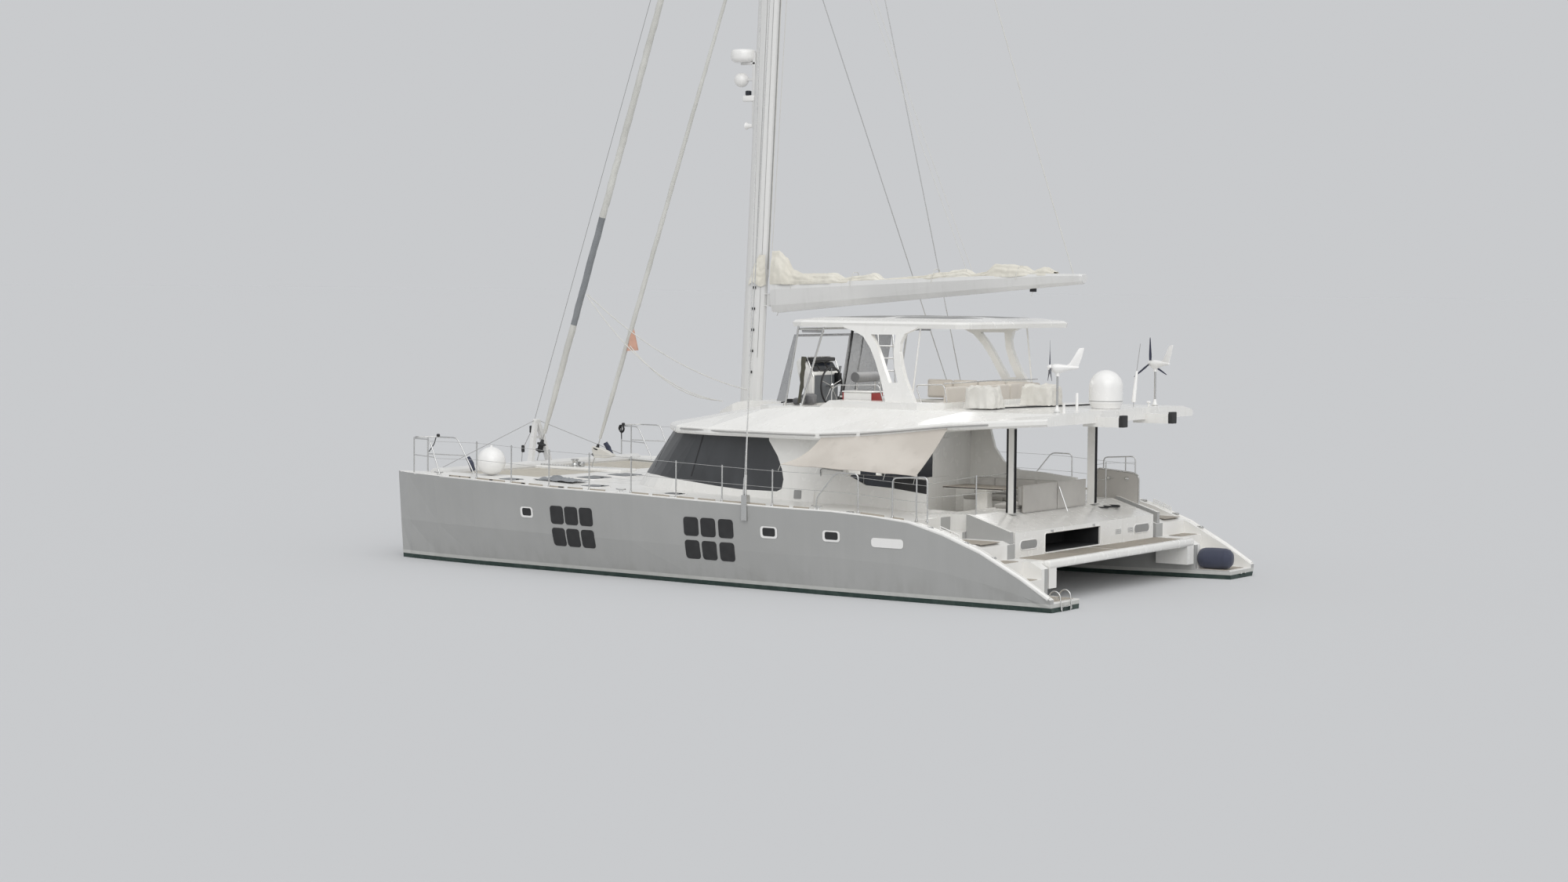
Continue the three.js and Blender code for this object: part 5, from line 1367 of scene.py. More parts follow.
# %% Helm seat
pan = cushion((-2.28, 0.6, 4.135), (-1.83, 1.6, 4.265), 0.025)
bolster = pipes([[(-2.225, 0.66, 4.56), (-2.225, 1.1, 4.555), (-2.225, 1.54, 4.56)]], 0.115, bend=0,
    detail=5)
for vertex in bolster.data.vertices:
    vertex.co += Vector((1, 0, 1)) * bumps(vertex.co * 7.0) * 0.012
settle_cushion([pan], "helm_seat_pan", DARK_CUSHION, ["helm_seat"])
settle_cushion([bolster], "helm_seat_bolster", DARK_CUSHION, ["helm_seat"])
seat_legs = [slab((-2.2, 0.85, 3.562), (-1.95, 1.35, 4.1), 0.03, 3),
             slab((-2.27, 0.61, 4.1), (-1.84, 1.59, 4.14), 0.01)]
seat_tubes = pipes([[(-2.225, y, 4.12), (-2.235, y, 4.56)] for y in (0.72, 1.48)], 0.018, bend=0)
settle(seat_legs, "helm_seat_base", GELCOAT, replaces=["helm_seat"])
settle(seat_tubes, "helm_seat_tubes", STEEL, smooth=50, replaces=["helm_seat"])
print("helm seat made")

# %% [markdown]
# ## Around the fly deck
# Behind the helm there is a ladder under the port arch, hoop rails beside the loungers, a settee
# around the well and the long grey panels let into the hardtop.

# %% Rails and ladder
hoops = [[(-2.29, 2.6, 3.94), (-2.29, 2.6, 4.31), (-2.44, 2.6, 4.42), (-3.53, 2.6, 4.45),
          (-3.7, 2.61, 3.97)]]
seat_rails = [[(-4.37, 2.1, 3.96), (-4.18, 2.1, 4.45), (-4.9, 2.1, 4.48), (-4.98, 2.1, 4.1)],
              [(-4.9, 2.08, 4.5), (-4.95, 0.0, 4.52), (-4.9, -2.08, 4.5)]]
aft_tubes = [[(-4.41, 2.3, 5.72), (-4.2, 2.3, 4.08)], [(-4.48, -2.3, 5.72), (-4.66, -2.3, 4.08)]]
settle(pipes([*hoops, *seat_rails], 0.014, bend=0.09), "fly_rails", STEEL, smooth=50)
# The stainless tubes take white gelcoat: a painted reflection of the bright sky, which the steel
# shows.
settle(pipes(aft_tubes, 0.02, bend=0), "hardtop_tubes", GELCOAT, slot="steel", smooth=50)
ladder_runs = [[(x - 0.1, 1.6, 3.57), (x - 0.08, 1.6, 4.73), (x, 1.6, 5.6)] for x in (-2.85, -3.24)]
ladder_runs += [[(-2.89, 1.6, z), (-3.3, 1.6, z)] for z in (3.9, 4.18, 4.45, 4.73, 5.01, 5.28)]
settle(pipes(ladder_runs, 0.016, bend=0), "hardtop_ladder", STEEL, smooth=50)

# %% Settee around the well
settee = [cushion((-3.76, -2.12, 3.8), (-1.95, -1.7, 3.95), 0.02),
    cushion((-4.86, -2.1, 3.8), (-4.42, -0.72, 3.95), 0.02),
    cushion((-4.86, -0.69, 3.8), (-4.42, 0.69, 3.95), 0.02),
    cushion((-4.86, 0.72, 3.8), (-4.42, 2.1, 3.95), 0.02)]
settee_backs = [cushion((-4.98, y0, 3.93), (-4.86, y1, 4.42), 0.02, 0, 1)
                for y0, y1 in ((-2.1, -0.72), (-0.69, 0.69), (0.72, 2.1))]
side_backs = [cushion((x0, -2.2, 4.0), (x1, -2.08, 4.42), 0.02, 1, 1)
              for x0, x1 in ((-4.8, -4.05), (-4.02, -3.3), (-3.27, -2.62), (-2.59, -1.92))]
settle_cushion(settee, "fly_settee_seats", CUSHION, [])
# The backs take the paler awning canvas, lightened to make up for the hardtop's shade: painted
# light.
settle_cushion([*settee_backs, *side_backs], "fly_settee_backs", AWNING_CLOTH, [])
base = [slab((-4.9, -2.14, 3.562), (-4.4, 2.14, 3.81), 0.02),
    slab((-4.45, -2.14, 3.562), (-1.92, -1.72, 3.81), 0.02)]
settle(base, "fly_settee_base", GELCOAT)
locker = [slab((-3.16, 1.85, 3.562), (-2.4, 2.3, 4.26), 0.03, 3),
          slab((-3.18, 1.83, 4.255), (-2.38, 2.32, 4.285), 0.012)]
settle(locker, "fly_locker", GELCOAT)
locker_ends = [slab((x0, 1.86, 4.03), (x1, 2.31, 4.25), 0.008)
               for x0, x1 in ((-2.41, -2.385), (-3.175, -3.15))]
settle(locker_ends, "locker_ends", RED)
print("settee of", len(settee) + len(settee_backs) + len(side_backs), "cushions")

# %% Winches and the gear by the mast
def winch(x, y, z, size=1.0):
    r = 0.085 * size
    return turned([(r * 1.15, 0.0), (r * 1.15, 0.02), (r, 0.035), (r * 0.8, 0.06), (r * 0.74, 0.12),
        (r * 0.8, 0.155), (r * 0.98, 0.17), (r * 0.98, 0.19), (r * 0.6, 0.2), (r * 0.28, 0.205),
        (r * 0.28, 0.19)], (x, y, z), sides=36)


winches = [winch(-0.72, side * 2.1, top_at("flydeck", -0.72, 2.1, 4.4)) for side in (-1, 1)]
winches += [winch(-0.95, side * 1.65, top_at("flydeck", -0.95, 1.65, 4.4), 1.15)
            for side in (-1, 1)]
settle(winches, "winches", STEEL, smooth=50)
clutches = []
for side in (-1, 1):
    for i in range(5):
        y = side * (0.95 + 0.075 * i)
        z = top_at("flydeck", -0.1, y, 4.6)
        clutches.append(slab((-0.28, y - 0.028, z - 0.005), (-0.02, y + 0.028, z + 0.07), 0.012, 2))
settle(clutches, "rope_clutches", RUBBER)
print("winches:", len(winches), "clutches:", len(clutches))

# %% Panels of the hardtop
skylights = []
for x0, x1 in ((-3.05, -1.5), (-4.9, -3.35)):
    for y0, y1 in ((0.35, 1.75), (-1.75, -0.35)):
        light = round_plate(2, -0.03, 0.033, x0, x1, y0, y1, 0.12)
        cut_across(light, 0, [x0 + (x1 - x0) * i / 5 for i in range(1, 5)])
        cut_across(light, 1, [y0 + (y1 - y0) * i / 5 for i in range(1, 5)])
        for vertex in light.data.vertices:
            vertex.co.z += top_at("hardtop", vertex.co.x, vertex.co.y)
        skylights.append(light)
settle(skylights, "hardtop_panels", GREY_PANEL)
print("skylights:", len(skylights))

# %% [markdown]
# ## Rig
# The mast carries a grey sail track on its after side and thin grooves along its flanks. The
# furled headsails are long tubes whose radius follows the cloth rolled up in them; a slow spiral
# of noise gives the windings. Lines that run between the boom and the mast hang in slack curves.

# %% Tracks and lines of the mast
def mast_x(z):
    """The middle of the raked mast at height z."""
    return 1.55 - 0.0477 * (z - 7.05)


def on_mast(z, ahead=0.0, y=0.0):
    return (mast_x(z) + ahead, y, z)


def rod_between(low, high, width, depth):
    """A square bar between two points on the middle plane."""
    half = depth / 2
    corners = [(low[0] - half, low[2]), (low[0] + half, low[2]), (high[0] + half, high[2]),
               (high[0] - half, high[2])]
    return plate([(x, -width / 2, z) for x, z in corners], (0, width, 0))


sail_track = rod_between(on_mast(7.0, -0.305), on_mast(24.3, -0.305), 0.032, 0.025)
settle(sail_track, "mast_track", WIRE)
# The flank grooves are drawn as thin raised grey lines: painted shade for the dark of each groove.
groove_shade_lines = []
for ahead, y in ((-0.05, 0.1655), (-0.2, 0.124)):
    groove_shade_lines += [[on_mast(4.9, ahead, side * y), on_mast(24.3, ahead, side * y)] for side in (-1, 1)]
settle(pipes(groove_shade_lines, 0.005, bend=0, detail=1), "mast_lines", WIRE, smooth=60)
steps = [slab((mast_x(z) - 0.1, 0.16, z - 0.02), (mast_x(z) - 0.02, 0.19, z + 0.04), 0.008)
         for z in (4.55, 5.05, 5.55, 6.05, 6.55)]
settle(steps, "mast_clamps", DARK_METAL)
halyards = [[on_mast(7.45, -0.4), on_mast(24.3, -0.62), on_mast(27.9, -0.62)],
            [on_mast(6.8, -0.36, 0.05), on_mast(27.9, -0.36, 0.05)]]
crane = [slab((-0.22, -0.05, 27.86), (0.55, 0.05, 27.98), 0.02)]
settle(pipes(halyards, 0.008, bend=0, detail=1), "main_halyard", ROPE, smooth=60)
settle(crane, "mast_crane", SPAR)
print("mast lines run to", on_mast(24.3))

# %% Spreader diamonds and striker wires
TIP_Z, TIP_Y = 18.6, 1.5
diamonds = [[on_mast(14.0, 0.0, side * 0.17), on_mast(TIP_Z, -0.66, side * (TIP_Y - 0.03)),
             on_mast(27.6, 0.0, side * 0.1)] for side in (-1, 1)]
apex = (8.28, 0.0, 3.2)
striker_wires = [[apex, (8.3, side * 3.62, 2.14)] for side in (-1, 1)]
settle(pipes(diamonds, 0.009, bend=0, detail=1), "diamond_wires", WIRE, smooth=60)
settle(pipes(striker_wires, 0.008, bend=0), "striker_wires", STEEL, smooth=60)

# %% Lines from the boom to the mast
def slack(a, b, sag, count=20):
    a, b = Vector(a), Vector(b)
    return [a.lerp(b, i / count) - Vector((0, 0, 4 * sag * i / count * (1 - i / count)))
            for i in range(count + 1)]


line_ends = (("topping_lift", (-6.93, 0.0, 6.93), on_mast(27.9, -0.66), 0.011, 0.35),
    ("lazy_line_port", (-4.33, 0.12, 6.86), on_mast(19.0, -0.2, 0.12), 0.006, 0.12),
    ("lazy_line_starboard", (-4.33, -0.12, 6.86), on_mast(19.0, -0.2, -0.12), 0.006, 0.12))
for line_name, low, high, thick, sag in line_ends:
    low, high = Vector(low), Vector(high)
    line = pipes([slack(low, high, sag, 24)], thick, bend=0, detail=1)
    line.name = line.data.name = line_name
    dress(line, ROPE)
    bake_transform(line)
    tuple(low)
    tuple(high)
print("lines from the boom:", len(line_ends))


# %% Furled headsails
def furled(foot, head, profile, windings, start, end):
    """A rolled sail on its stay between two shares of the way up."""
    foot, head = Vector(foot), Vector(head)
    count = max(12, int((head - foot).length * (end - start) / 0.12))
    shares = [start + (end - start) * i / count for i in range(count + 1)]
    radii = [read_share(profile, share) for share in shares]
    obj = pipes([[foot.lerp(head, share) for share in shares]], 1.0, bend=0, detail=4, radii=radii)
    axis = (head - foot).normalized()
    side = axis.cross(Vector((0, 1, 0))).normalized()
    for vertex in obj.data.vertices:
        along = (vertex.co - foot).dot(axis)
        out = vertex.co - (foot + axis * along)
        if out.length < 0.004:
            continue
        turn = atan2(out.y, out.dot(side)) / (2 * pi)
        spiral = (turn + along * windings) % 1.0
        swell = 0.1 * (1 - spiral) - 0.05 + 0.12 * bumps(vertex.co * 5.0)
        vertex.co += out * swell
    return outward(obj)


def read_share(table, share):
    for (a, low), (b, high) in zip(table, table[1:]):
        if share <= b:
            return low + (high - low) * (share - a) / (b - a)
    return table[-1][1]


GENOA_STAY = ((8.272, 0, 2.11), (1.08, 0, 23.49))
STAYSAIL_STAY = ((6.51, 0, 2.065), (1.38, 0, 16.68))
GENOA_RADII = ((0.0, 0.016), (0.04, 0.05), (0.09, 0.075), (0.2, 0.085), (0.45, 0.082), (0.8, 0.055),
    (0.97, 0.03), (1.0, 0.014))
STAYSAIL_RADII = ((0.0, 0.016), (0.05, 0.035), (0.12, 0.055), (0.3, 0.06), (0.75, 0.042),
    (0.97, 0.025), (1.0, 0.014))
GENOA, STAYSAIL = (*GENOA_STAY, GENOA_RADII, 0.9), (*STAYSAIL_STAY, STAYSAIL_RADII, 1.2)
for roll, part, sail, finish, start, end in (
        ("genoa", "foot", GENOA, ROLL_CLOTH, 0.035, 0.163),
        ("genoa", "strip", GENOA, UV_STRIP, 0.163, 0.287),
        ("genoa", "top", GENOA, ROLL_CLOTH, 0.287, 0.985),
        ("staysail", "top", STAYSAIL, ROLL_CLOTH, 0.245, 0.985),
        ("staysail", "clew", STAYSAIL, ROLL_CLOTH, 0.195, 0.245),
        ("staysail", "foot", STAYSAIL, ROLL_CLOTH, 0.05, 0.195)):
    piece = settle(furled(*sail, start, end), f"{roll}_{part}", finish, slot="sailcloth", smooth=70,
        replaces=[f"{roll}_roll"])
PEAK, LOW_FRONT, LOW_BACK = (Vector((x, 0, z)) for x, z in ((5.25, 5.72), (5.44, 4.97),
    (5.13, 5.0)))


def flap_point(u, v):
    spot = (PEAK + Vector((0.05 * (u - 0.5), 0, 0))).lerp(LOW_FRONT.lerp(LOW_BACK, u), v)
    spot.y = 0.075 * sin(u * 5.0) * v + bumps((u * 3, v * 4, 2.0)) * 0.02 * v
    return spot


settle(grid_cloth(14, 24, flap_point), "clew_flap", AMBER, smooth=60)
declare_sheet(bpy.context.object, (0.36, 0.75), "hung")
print("furled sails on", len((GENOA_STAY, STAYSAIL_STAY)), "stays")


# %% Stays and furling drums
def drum(stay, at, size):
    """A furling drum: a grooved spool between two cheeks, on the line of the stay."""
    foot, head = Vector(stay[0]), Vector(stay[1])
    axis = head - foot
    tilt = axis.to_track_quat("Z", "Y").to_euler()
    profile = [(0.3, -0.14), (0.42, -0.12), (1.0, -0.1), (1.0, -0.08), (0.62, -0.06), (0.6, 0.05),
               (1.0, 0.07), (1.0, 0.09), (0.45, 0.11), (0.3, 0.2)]
    return turned([(r * size, h) for r, h in profile], foot + axis.normalized() * at, tilt, 32)


for name, stay, size in (("genoa", GENOA_STAY, 0.115), ("staysail", STAYSAIL_STAY, 0.1)):
    settle(drum(stay, 0.42, size), f"{name}_drum", RUBBER, smooth=40, replaces=[f"{name}_roll"])
    settle(pipes([[Vector(stay[0]), Vector(stay[1])]], 0.0125, bend=0), f"{name}_stay", STEEL,
        smooth=60, replaces=[f"{name}_roll"])
print("drums and stays made")

# %% [markdown]
# ## Stowed mainsail
# The mainsail lies flaked on the boom: one long sheet folded to and fro. A grid gives the sheet.
# One of its sides runs along the boom, and the other climbs from fold to fold. At the mast the
# headboard lifts the folds into a peak.

# %% Flaked sail
BUNDLE_TOP = ((1.1, 0.8, 0.15), (0.93, 0.78, 0.19), (0.72, 0.58, 0.225), (0.52, 0.3, 0.22),
    (0.25, 0.22, 0.215), (-0.2, 0.2, 0.21), (-0.62, 0.2, 0.21), (-0.95, 0.07, 0.19),
    (-1.3, 0.11, 0.17), (-1.78, 0.16, 0.17), (-2.0, 0.02, 0.16), (-2.9, 0.05, 0.16),
    (-3.6, 0.12, 0.17), (-4.2, 0.17, 0.18), (-4.45, 0.05, 0.17), (-4.75, 0.09, 0.17),
    (-5.0, 0.27, 0.17), (-5.35, 0.22, 0.18), (-5.7, 0.19, 0.18), (-5.95, 0.07, 0.16),
    (-6.25, 0.15, 0.16), (-6.5, 0.04, 0.13))
BOOM_TOP = ((1.2, 6.64), (0.9, 6.66), (-1.41, 6.74), (-4.35, 6.85), (-6.36, 6.93), (-7.2, 6.93))
FLAKES, HIDDEN, AROUND, LENGTHWAYS = 3, 0.35, 72, 330


def bundle_point(s, q):
    """s runs from the mast to the clew, q from the boom up through the folds."""
    x = BUNDLE_TOP[0][0] + (BUNDLE_TOP[-1][0] - BUNDLE_TOP[0][0]) * s
    place = next(i for i in range(len(BUNDLE_TOP) - 1) if x >= BUNDLE_TOP[i + 1][0] - 1e-6)
    (xa, ha, wa), (xb, hb, wb) = BUNDLE_TOP[place], BUNDLE_TOP[place + 1]
    t = (xa - x) / (xa - xb)
    t = t * t * (3 - 2 * t)
    high, half = ha + (hb - ha) * t, wa + (wb - wa) * t
    low = read_table(BOOM_TOP, x) - 0.05
    if q < HIDDEN:
        flake = q / HIDDEN * FLAKES
        across = flake % 2 if flake % 2 < 1 else 2 - flake % 2
        return Vector((x, (across * 2 - 1) * half * 0.7, low + 0.03 + high * 0.6 * flake / FLAKES))
    turn = (q - HIDDEN) / (1 - HIDDEN)
    if turn < 0.12:
        start = Vector((x, half * 0.7, low + 0.03 + high * 0.6))
        return start.lerp(Vector((x, half * 0.96, low)), turn / 0.12)
    angle = pi * (turn - 0.12) / 0.88
    narrow = 1 - 0.62 * sin(angle) ** 2 * min(high / 0.8, 1.0)
    crumple = bumps((x * 2.3, angle * 1.3, 4.0)) + 0.5 * bumps((x * 4.7, angle * 2.9, 6.0))
    small = bumps((x * 11.0, angle * 6.0, 1.0))
    layers = sin(angle * 11 + crumple * 3.0 + x * 0.8) * 0.007
    out = 1 + crumple * 0.14 + small * 0.05
    y = copysign(abs(cos(angle)) ** 0.75, cos(angle)) * half * narrow * out
    z = low + (high + 0.05) * sin(angle) ** 0.8 * (1 + crumple * 0.12 + small * 0.04) + layers
    return Vector((x + small * 0.02 * sin(angle), y + layers * cos(angle), z))


bundle = settle(grid_cloth(LENGTHWAYS, AROUND, bundle_point), "mainsail", SAILCLOTH, "boom",
    smooth=60, replaces=["mainsail_bundle"])
bundle_area = declare_sheet(bundle, (2.75, 7.9), "folded", rests_on=["boom"])
print("mainsail shows", round(bundle_area, 2), "square metres of its cloth")

# %% Luff of the mainsail beside the mast
def luff_point(u, v):
    x = 1.262 + u * (0.12 + 0.31 * v ** 0.8)
    z = 7.33 - v * (0.7 + 0.05 * sin(u * 7.0))
    fold = sin(u * 9.0 + v * 2.0) * 0.014 * v + bumps((u * 3, v * 4, 7.0)) * 0.03
    side = 0.165 * sqrt(max(0.0, 1 - ((x - mast_x(z)) / 0.31) ** 2))
    return x, side + 0.022 + abs(fold) + 0.03 * v * (1 - v), z


luff = settle(grid_cloth(30, 40, luff_point), "luff_drape", SAILCLOTH, smooth=60)
declare_sheet(luff, (0.42, 0.85), "hung")

# %% Fittings of the boom
ties = []
for x in (0.45, -1.2, -3.4, -5.6):
    top = read_table(BOOM_TOP, x)
    ties.append([(x, 0.222, top - 0.12), (x, 0.2, top + 0.02), (x - 0.02, 0.1, top + 0.2),
                 (x - 0.02, -0.1, top + 0.2), (x, -0.2, top + 0.02), (x, -0.222, top - 0.12)])
settle(pipes(ties, 0.008, bend=0.05), "sail_ties", ROPE, "boom", smooth=60)
sheave_box = [slab((-6.0, -0.03, 6.52), (-5.85, 0.03, 6.62), 0.01)]
settle(sheave_box, "boom_fittings", DARK_METAL, "boom")
reef_line = pipes([[(-5.93, 0.0, 6.56), (-5.9, 0.05, 6.42)], [(0.8, 0.2, 6.0), (0.9, 0.12, 5.9)]],
    0.008, bend=0)
settle(reef_line, "boom_lines", ROPE, "boom", smooth=60)
print("boom dressed")

# %% [markdown]
# ## Sheets of the headsails
# The sheets of the headsails hang in slack curves to the roof. Each is a tube along a parabola.

# %% Slack lines of the headsails
sheet_lines = [slack((6.66, 0.06, 6.35), (0.9, 2.3, 3.95), 0.55),
    slack((6.66, 0.0, 6.35), (1.2, 0.8, 4.15), 0.35), slack((5.3, 0.05, 5.1), (2.0, 1.0, 3.9), 0.3)]
settle(pipes(sheet_lines, 0.012, bend=0, detail=1), "headsail_sheets", ROPE, smooth=60)
hanging_line = [(1.02, 0.03, 24.2), (7.78, 0.05, 4.68), (8.39, 0.05, 2.93), (8.69, 0.05, 2.42),
    (8.72, 0.05, 2.02)]
blocks = [slab((x - 0.04, y - 0.03, z - 0.09), (x + 0.04, y + 0.03, z + 0.09), 0.02, 3)
          for x, y, z in ((8.41, 0.05, 2.95), (8.67, 0.05, 2.45))]
settle(pipes([hanging_line], 0.007, bend=0), "spare_halyard", WIRE, slot="canvas", smooth=60)
settle(blocks, "tack_blocks", RUBBER)
print("slack lines:", len(sheet_lines))

# %% [markdown]
# ## Stern
# Weathered teak lies on the steps and on the platform between the hulls. Each tread is a rounded
# plate set a little in from the edges of its step; the inner edge of the lowest tread comes from a
# ray, so that it stays inside the hull's curve.

# %% Treads
def inner_side(node, x, z):
    """How far to port the inboard side of a node begins."""
    return NODES[node].ray_cast((x, 0.2, z), (0, 1, 0))[1].y


def tread(x0, x1, y0, y1, z):
    return bevelled(round_plate(2, z - 0.003, 0.011, x0, x1, y0, y1, 0.05), 0.003, 1)


STEP_TREADS = ((-6.26, -5.8, 1.42), (-7.36, -6.34, 1.28), (-7.81, -7.44, 0.9), (-8.26, -7.89, 0.55))
treads = [tread(x0, x1, 3.8, 4.6, z) for x0, x1, z in STEP_TREADS]
last_inner = inner_side("hull_port", -8.7, 0.15) + 0.09
treads.append(tread(-9.02, -8.35, last_inner, 4.55, 0.2))
settle_pair(treads, "step_treads", TEAK)
platform_boards = [tread(-8.1, -7.42, y0, y0 + 1.5, 0.9) for y0 in (-3.16, -1.58, 0.08, 1.66)]
settle(platform_boards, "platform_treads", TEAK)
platform_rim = slab((-8.32, -3.41, 0.74), (-8.14, 3.41, 0.925), 0.06, 4)
settle(platform_rim, "platform_rim", GELCOAT, smooth=60)
print("treads a side:", len(treads), "inner edge of the last", round(last_inner, 3))

# %% Transom and locker
TRANSOM_X = -7.36


def on_transom(y0, y1, z0, z1, corner, thickness, finish):
    """A rounded plate on the face between the hulls, with a lip around it."""
    outline = [(TRANSOM_X, y, z) for y, z in rounded(y0, y1, z0, z1, corner)]
    face = plate(outline, (-thickness, 0, 0))
    dress(face, finish)
    lip = pipes([outline], 0.014, bend=0, closed=True)
    dress(lip, PLASTIC)
    return joined([face, lip])


recess = on_transom(2.24, 2.99, 1.05, 1.25, 0.098, 0.006, GREY_PANEL)
settle_pair(recess, "transom_recess", None, slot="gelcoat")
# The walls of the open locker are near-black: painted shade that stands for its dark inside.
shaded_locker_walls = [slab((-6.478, -0.59, 0.935), (-6.464, 1.89, 1.325), 0.003, 1),
    slab((-7.33, -0.59, 0.932), (-6.47, 1.89, 0.94), 0.003, 1),
    slab((-7.33, -0.59, 1.318), (-6.47, 1.89, 1.327), 0.003, 1),
    slab((-7.33, -0.598, 0.935), (-6.47, -0.588, 1.325), 0.003, 1),
    slab((-7.33, 1.888, 0.935), (-6.47, 1.898, 1.325), 0.003, 1)]
settle(shaded_locker_walls, "locker_shade_sheets", LOCKER_SHADE_BLACK)
gasket = pipes([[(TRANSOM_X - 0.004, y, z) for y, z in rounded(-0.62, 1.92, 0.915, 1.345, 0.06)]],
    0.016, bend=0, closed=True)
settle(gasket, "locker_gasket", GELCOAT)
hinges = [slab((TRANSOM_X - 0.02, y - 0.05, 1.34), (TRANSOM_X, y + 0.05, 1.4), 0.008)
          for y in (-0.3, 1.6)]
settle(hinges, "locker_hinges", STEEL)
vents = [slab((TRANSOM_X - 0.012, y, z), (TRANSOM_X, y + 0.26, z + 0.012), 0.003, 1)
         for y in (-1.6, -2.2) for z in (1.1, 1.13, 1.16, 1.19)]
settle(vents, "transom_vents", STEEL)
print("transom dressed at x", TRANSOM_X)

# %% Deck lights under the roof's arms
davit_lights = [slab((-8.88, 1.06, 3.645), (-8.77, 1.27, 3.9), 0.015, 3)]
settle_pair(davit_lights, "davit_lights", RUBBER)

# %% [markdown]
# ## Ladder, fender and deck edge
# The bathing ladder is one piece that rides the ladder's own body, so it folds; its two handles
# stay on the boat. The fender is a turned sausage in a cloth sock, creased where the sock is tied.

# %% Swimming ladder
LADDER_X, LADDER_Y, HALF = -9.15, 4.2, 0.18
rails = pipes([[(LADDER_X, LADDER_Y + side * HALF, 0.114), (LADDER_X, LADDER_Y + side * HALF,
    -0.76)] for side in (-1, 1)], 0.0145, bend=0, detail=4)
rungs = [slab((LADDER_X - 0.028, LADDER_Y - HALF, z - 0.011), (LADDER_X + 0.028, LADDER_Y + HALF,
    z + 0.011), 0.009, 3) for z in (0.1, -0.13, -0.36, -0.59)]
settle([rails, *rungs], "ladder_tubes", STEEL, "ladder", smooth=50,
       replaces=["swim_ladder"])
handles = pipes([[(-8.84, LADDER_Y + side * 0.218, 0.2), (-8.87, LADDER_Y + side * 0.218, 0.34),
    (-8.99, LADDER_Y + side * 0.218, 0.43), (-9.12, LADDER_Y + side * 0.218, 0.36),
    (-9.155, LADDER_Y + side * 0.218, 0.03)] for side in (-1, 1)], 0.0145, bend=0.1, detail=4)
handle_feet = [turned([(0.035, 0.0), (0.035, 0.008), (0.02, 0.014)],
    (-8.84, LADDER_Y + side * 0.218, 0.205), sides=20) for side in (-1, 1)]
settle([handles, *handle_feet], "ladder_handles", STEEL, smooth=50)
print("ladder rungs:", len(rungs))


# %% Fender on the starboard step
def lying_fender(centre, length, radius, tilt):
    """A blown-up fender in a cloth sock: a turned sausage, creased where the sock is tied."""
    half = length / 2
    profile = [(radius * 0.12, -half), (radius * 0.55, -half + 0.02), (radius * 0.85, -half + 0.09),
        (radius * 0.97, -half + 0.18), (radius, -half * 0.2), (radius, half * 0.2),
        (radius * 0.97, half - 0.18), (radius * 0.85, half - 0.09), (radius * 0.55, half - 0.02),
        (radius * 0.12, half)]
    obj = turned(profile, sides=48)
    cut_across(obj, 2, [-half + length * i / 24 for i in range(1, 24)])
    for vertex in obj.data.vertices:
        turn = atan2(vertex.co.y, vertex.co.x)
        end = max(0.0, abs(vertex.co.z) / half - 0.55) / 0.45
        crease = cos(turn * 14) * 0.02 * end + bumps(vertex.co * 4.0) * 0.02
        vertex.co.x *= 1 + crease
        vertex.co.y *= 1 + crease
    obj.rotation_euler, obj.location = tilt, centre
    return apply_all(obj)


fender = lying_fender((-8.66, -3.8, 0.445), 0.84, 0.245, (0, pi / 2, 0.2))
settle(fender, "fender", NAVY_CLOTH, smooth=60)
print("fender on the starboard step")

# %% Fittings of the deck edge
edge_gear = []
for x in (-4.3, -6.25, -7.1, -7.75):
    edge_y, edge_z = sheer_edge(x)
    edge_gear += [slab((x - 0.07, edge_y - 0.13, edge_z + 0.0),
                       (x + 0.07, edge_y - 0.03, edge_z + 0.035), 0.014, 3),
                  slab((x - 0.1, edge_y - 0.1, edge_z - 0.01),
                       (x + 0.1, edge_y - 0.06, edge_z + 0.02), 0.008, 2)]
settle_pair(edge_gear, "edge_fairleads", STEEL)
rack_points = []
for x in (-6.52, -6.8, -6.98):
    edge_y, edge_z = sheer_edge(x)
    rack_points.append((x, edge_y - 0.07, edge_z))
rack_runs = [[(x, y, z + lift) for x, y, z in rack_points] for lift in (0.07, 0.12)]
rack_runs += [[(x, y, z - 0.02), (x, y, z + 0.12)] for x, y, z in rack_points]
settle_pair(pipes(rack_runs, 0.011, bend=0), "edge_racks", GELCOAT, smooth=50)


def rope_coil(centre, radius, turns):
    """Loops of rope that lie loosely on one another."""
    x, y, z = centre
    thick, sides, run = 0.01, 22, []
    for i in range(turns * sides + 1):
        angle = 2 * pi * i / sides
        r = radius * (1 + 0.12 * sin(angle * 0.37) + 0.1 * bumps((i * 0.11, x, y)))
        run.append((x + r * cos(angle), y + r * sin(angle),
                    z + thick + thick * 1.3 * (i // sides) * 0.6))
    return pipes([run], thick, bend=0, detail=1)


coil_z = top_at("bridgedeck", -6.75, -2.3, 2.4)
coils = [rope_coil((-6.75, -2.3, coil_z), 0.17, 4), rope_coil((-6.7, -1.95, coil_z), 0.13, 3)]
settle(coils, "dark_coils", RUBBER, slot="canvas", smooth=60)
print("coils lie at z", round(coil_z, 3))

# %% [markdown]
# ## Wind turbines and domes
# Two small wind turbines stand at the aft corners of the roof. Each is modelled pointing ahead
# with its pole at the origin, and then turned to the way that it points, so one recipe serves
# both. The blades take their angles from the tips of the solid's blades.

# %% Turbine heads
POLE_X, POLE_Y, HUB_AHEAD, HUB_Z = -7.82, 2.28, 0.13, 4.93
POINTING = {"port": radians(34), "starboard": radians(-20)}


def set_up(obj, side):
    """Moves a piece made around the origin onto its pole."""
    obj.location = (POLE_X, POLE_Y if side == "port" else -POLE_Y, 0)
    obj.rotation_euler.z = POINTING[side]
    return apply_all(obj)


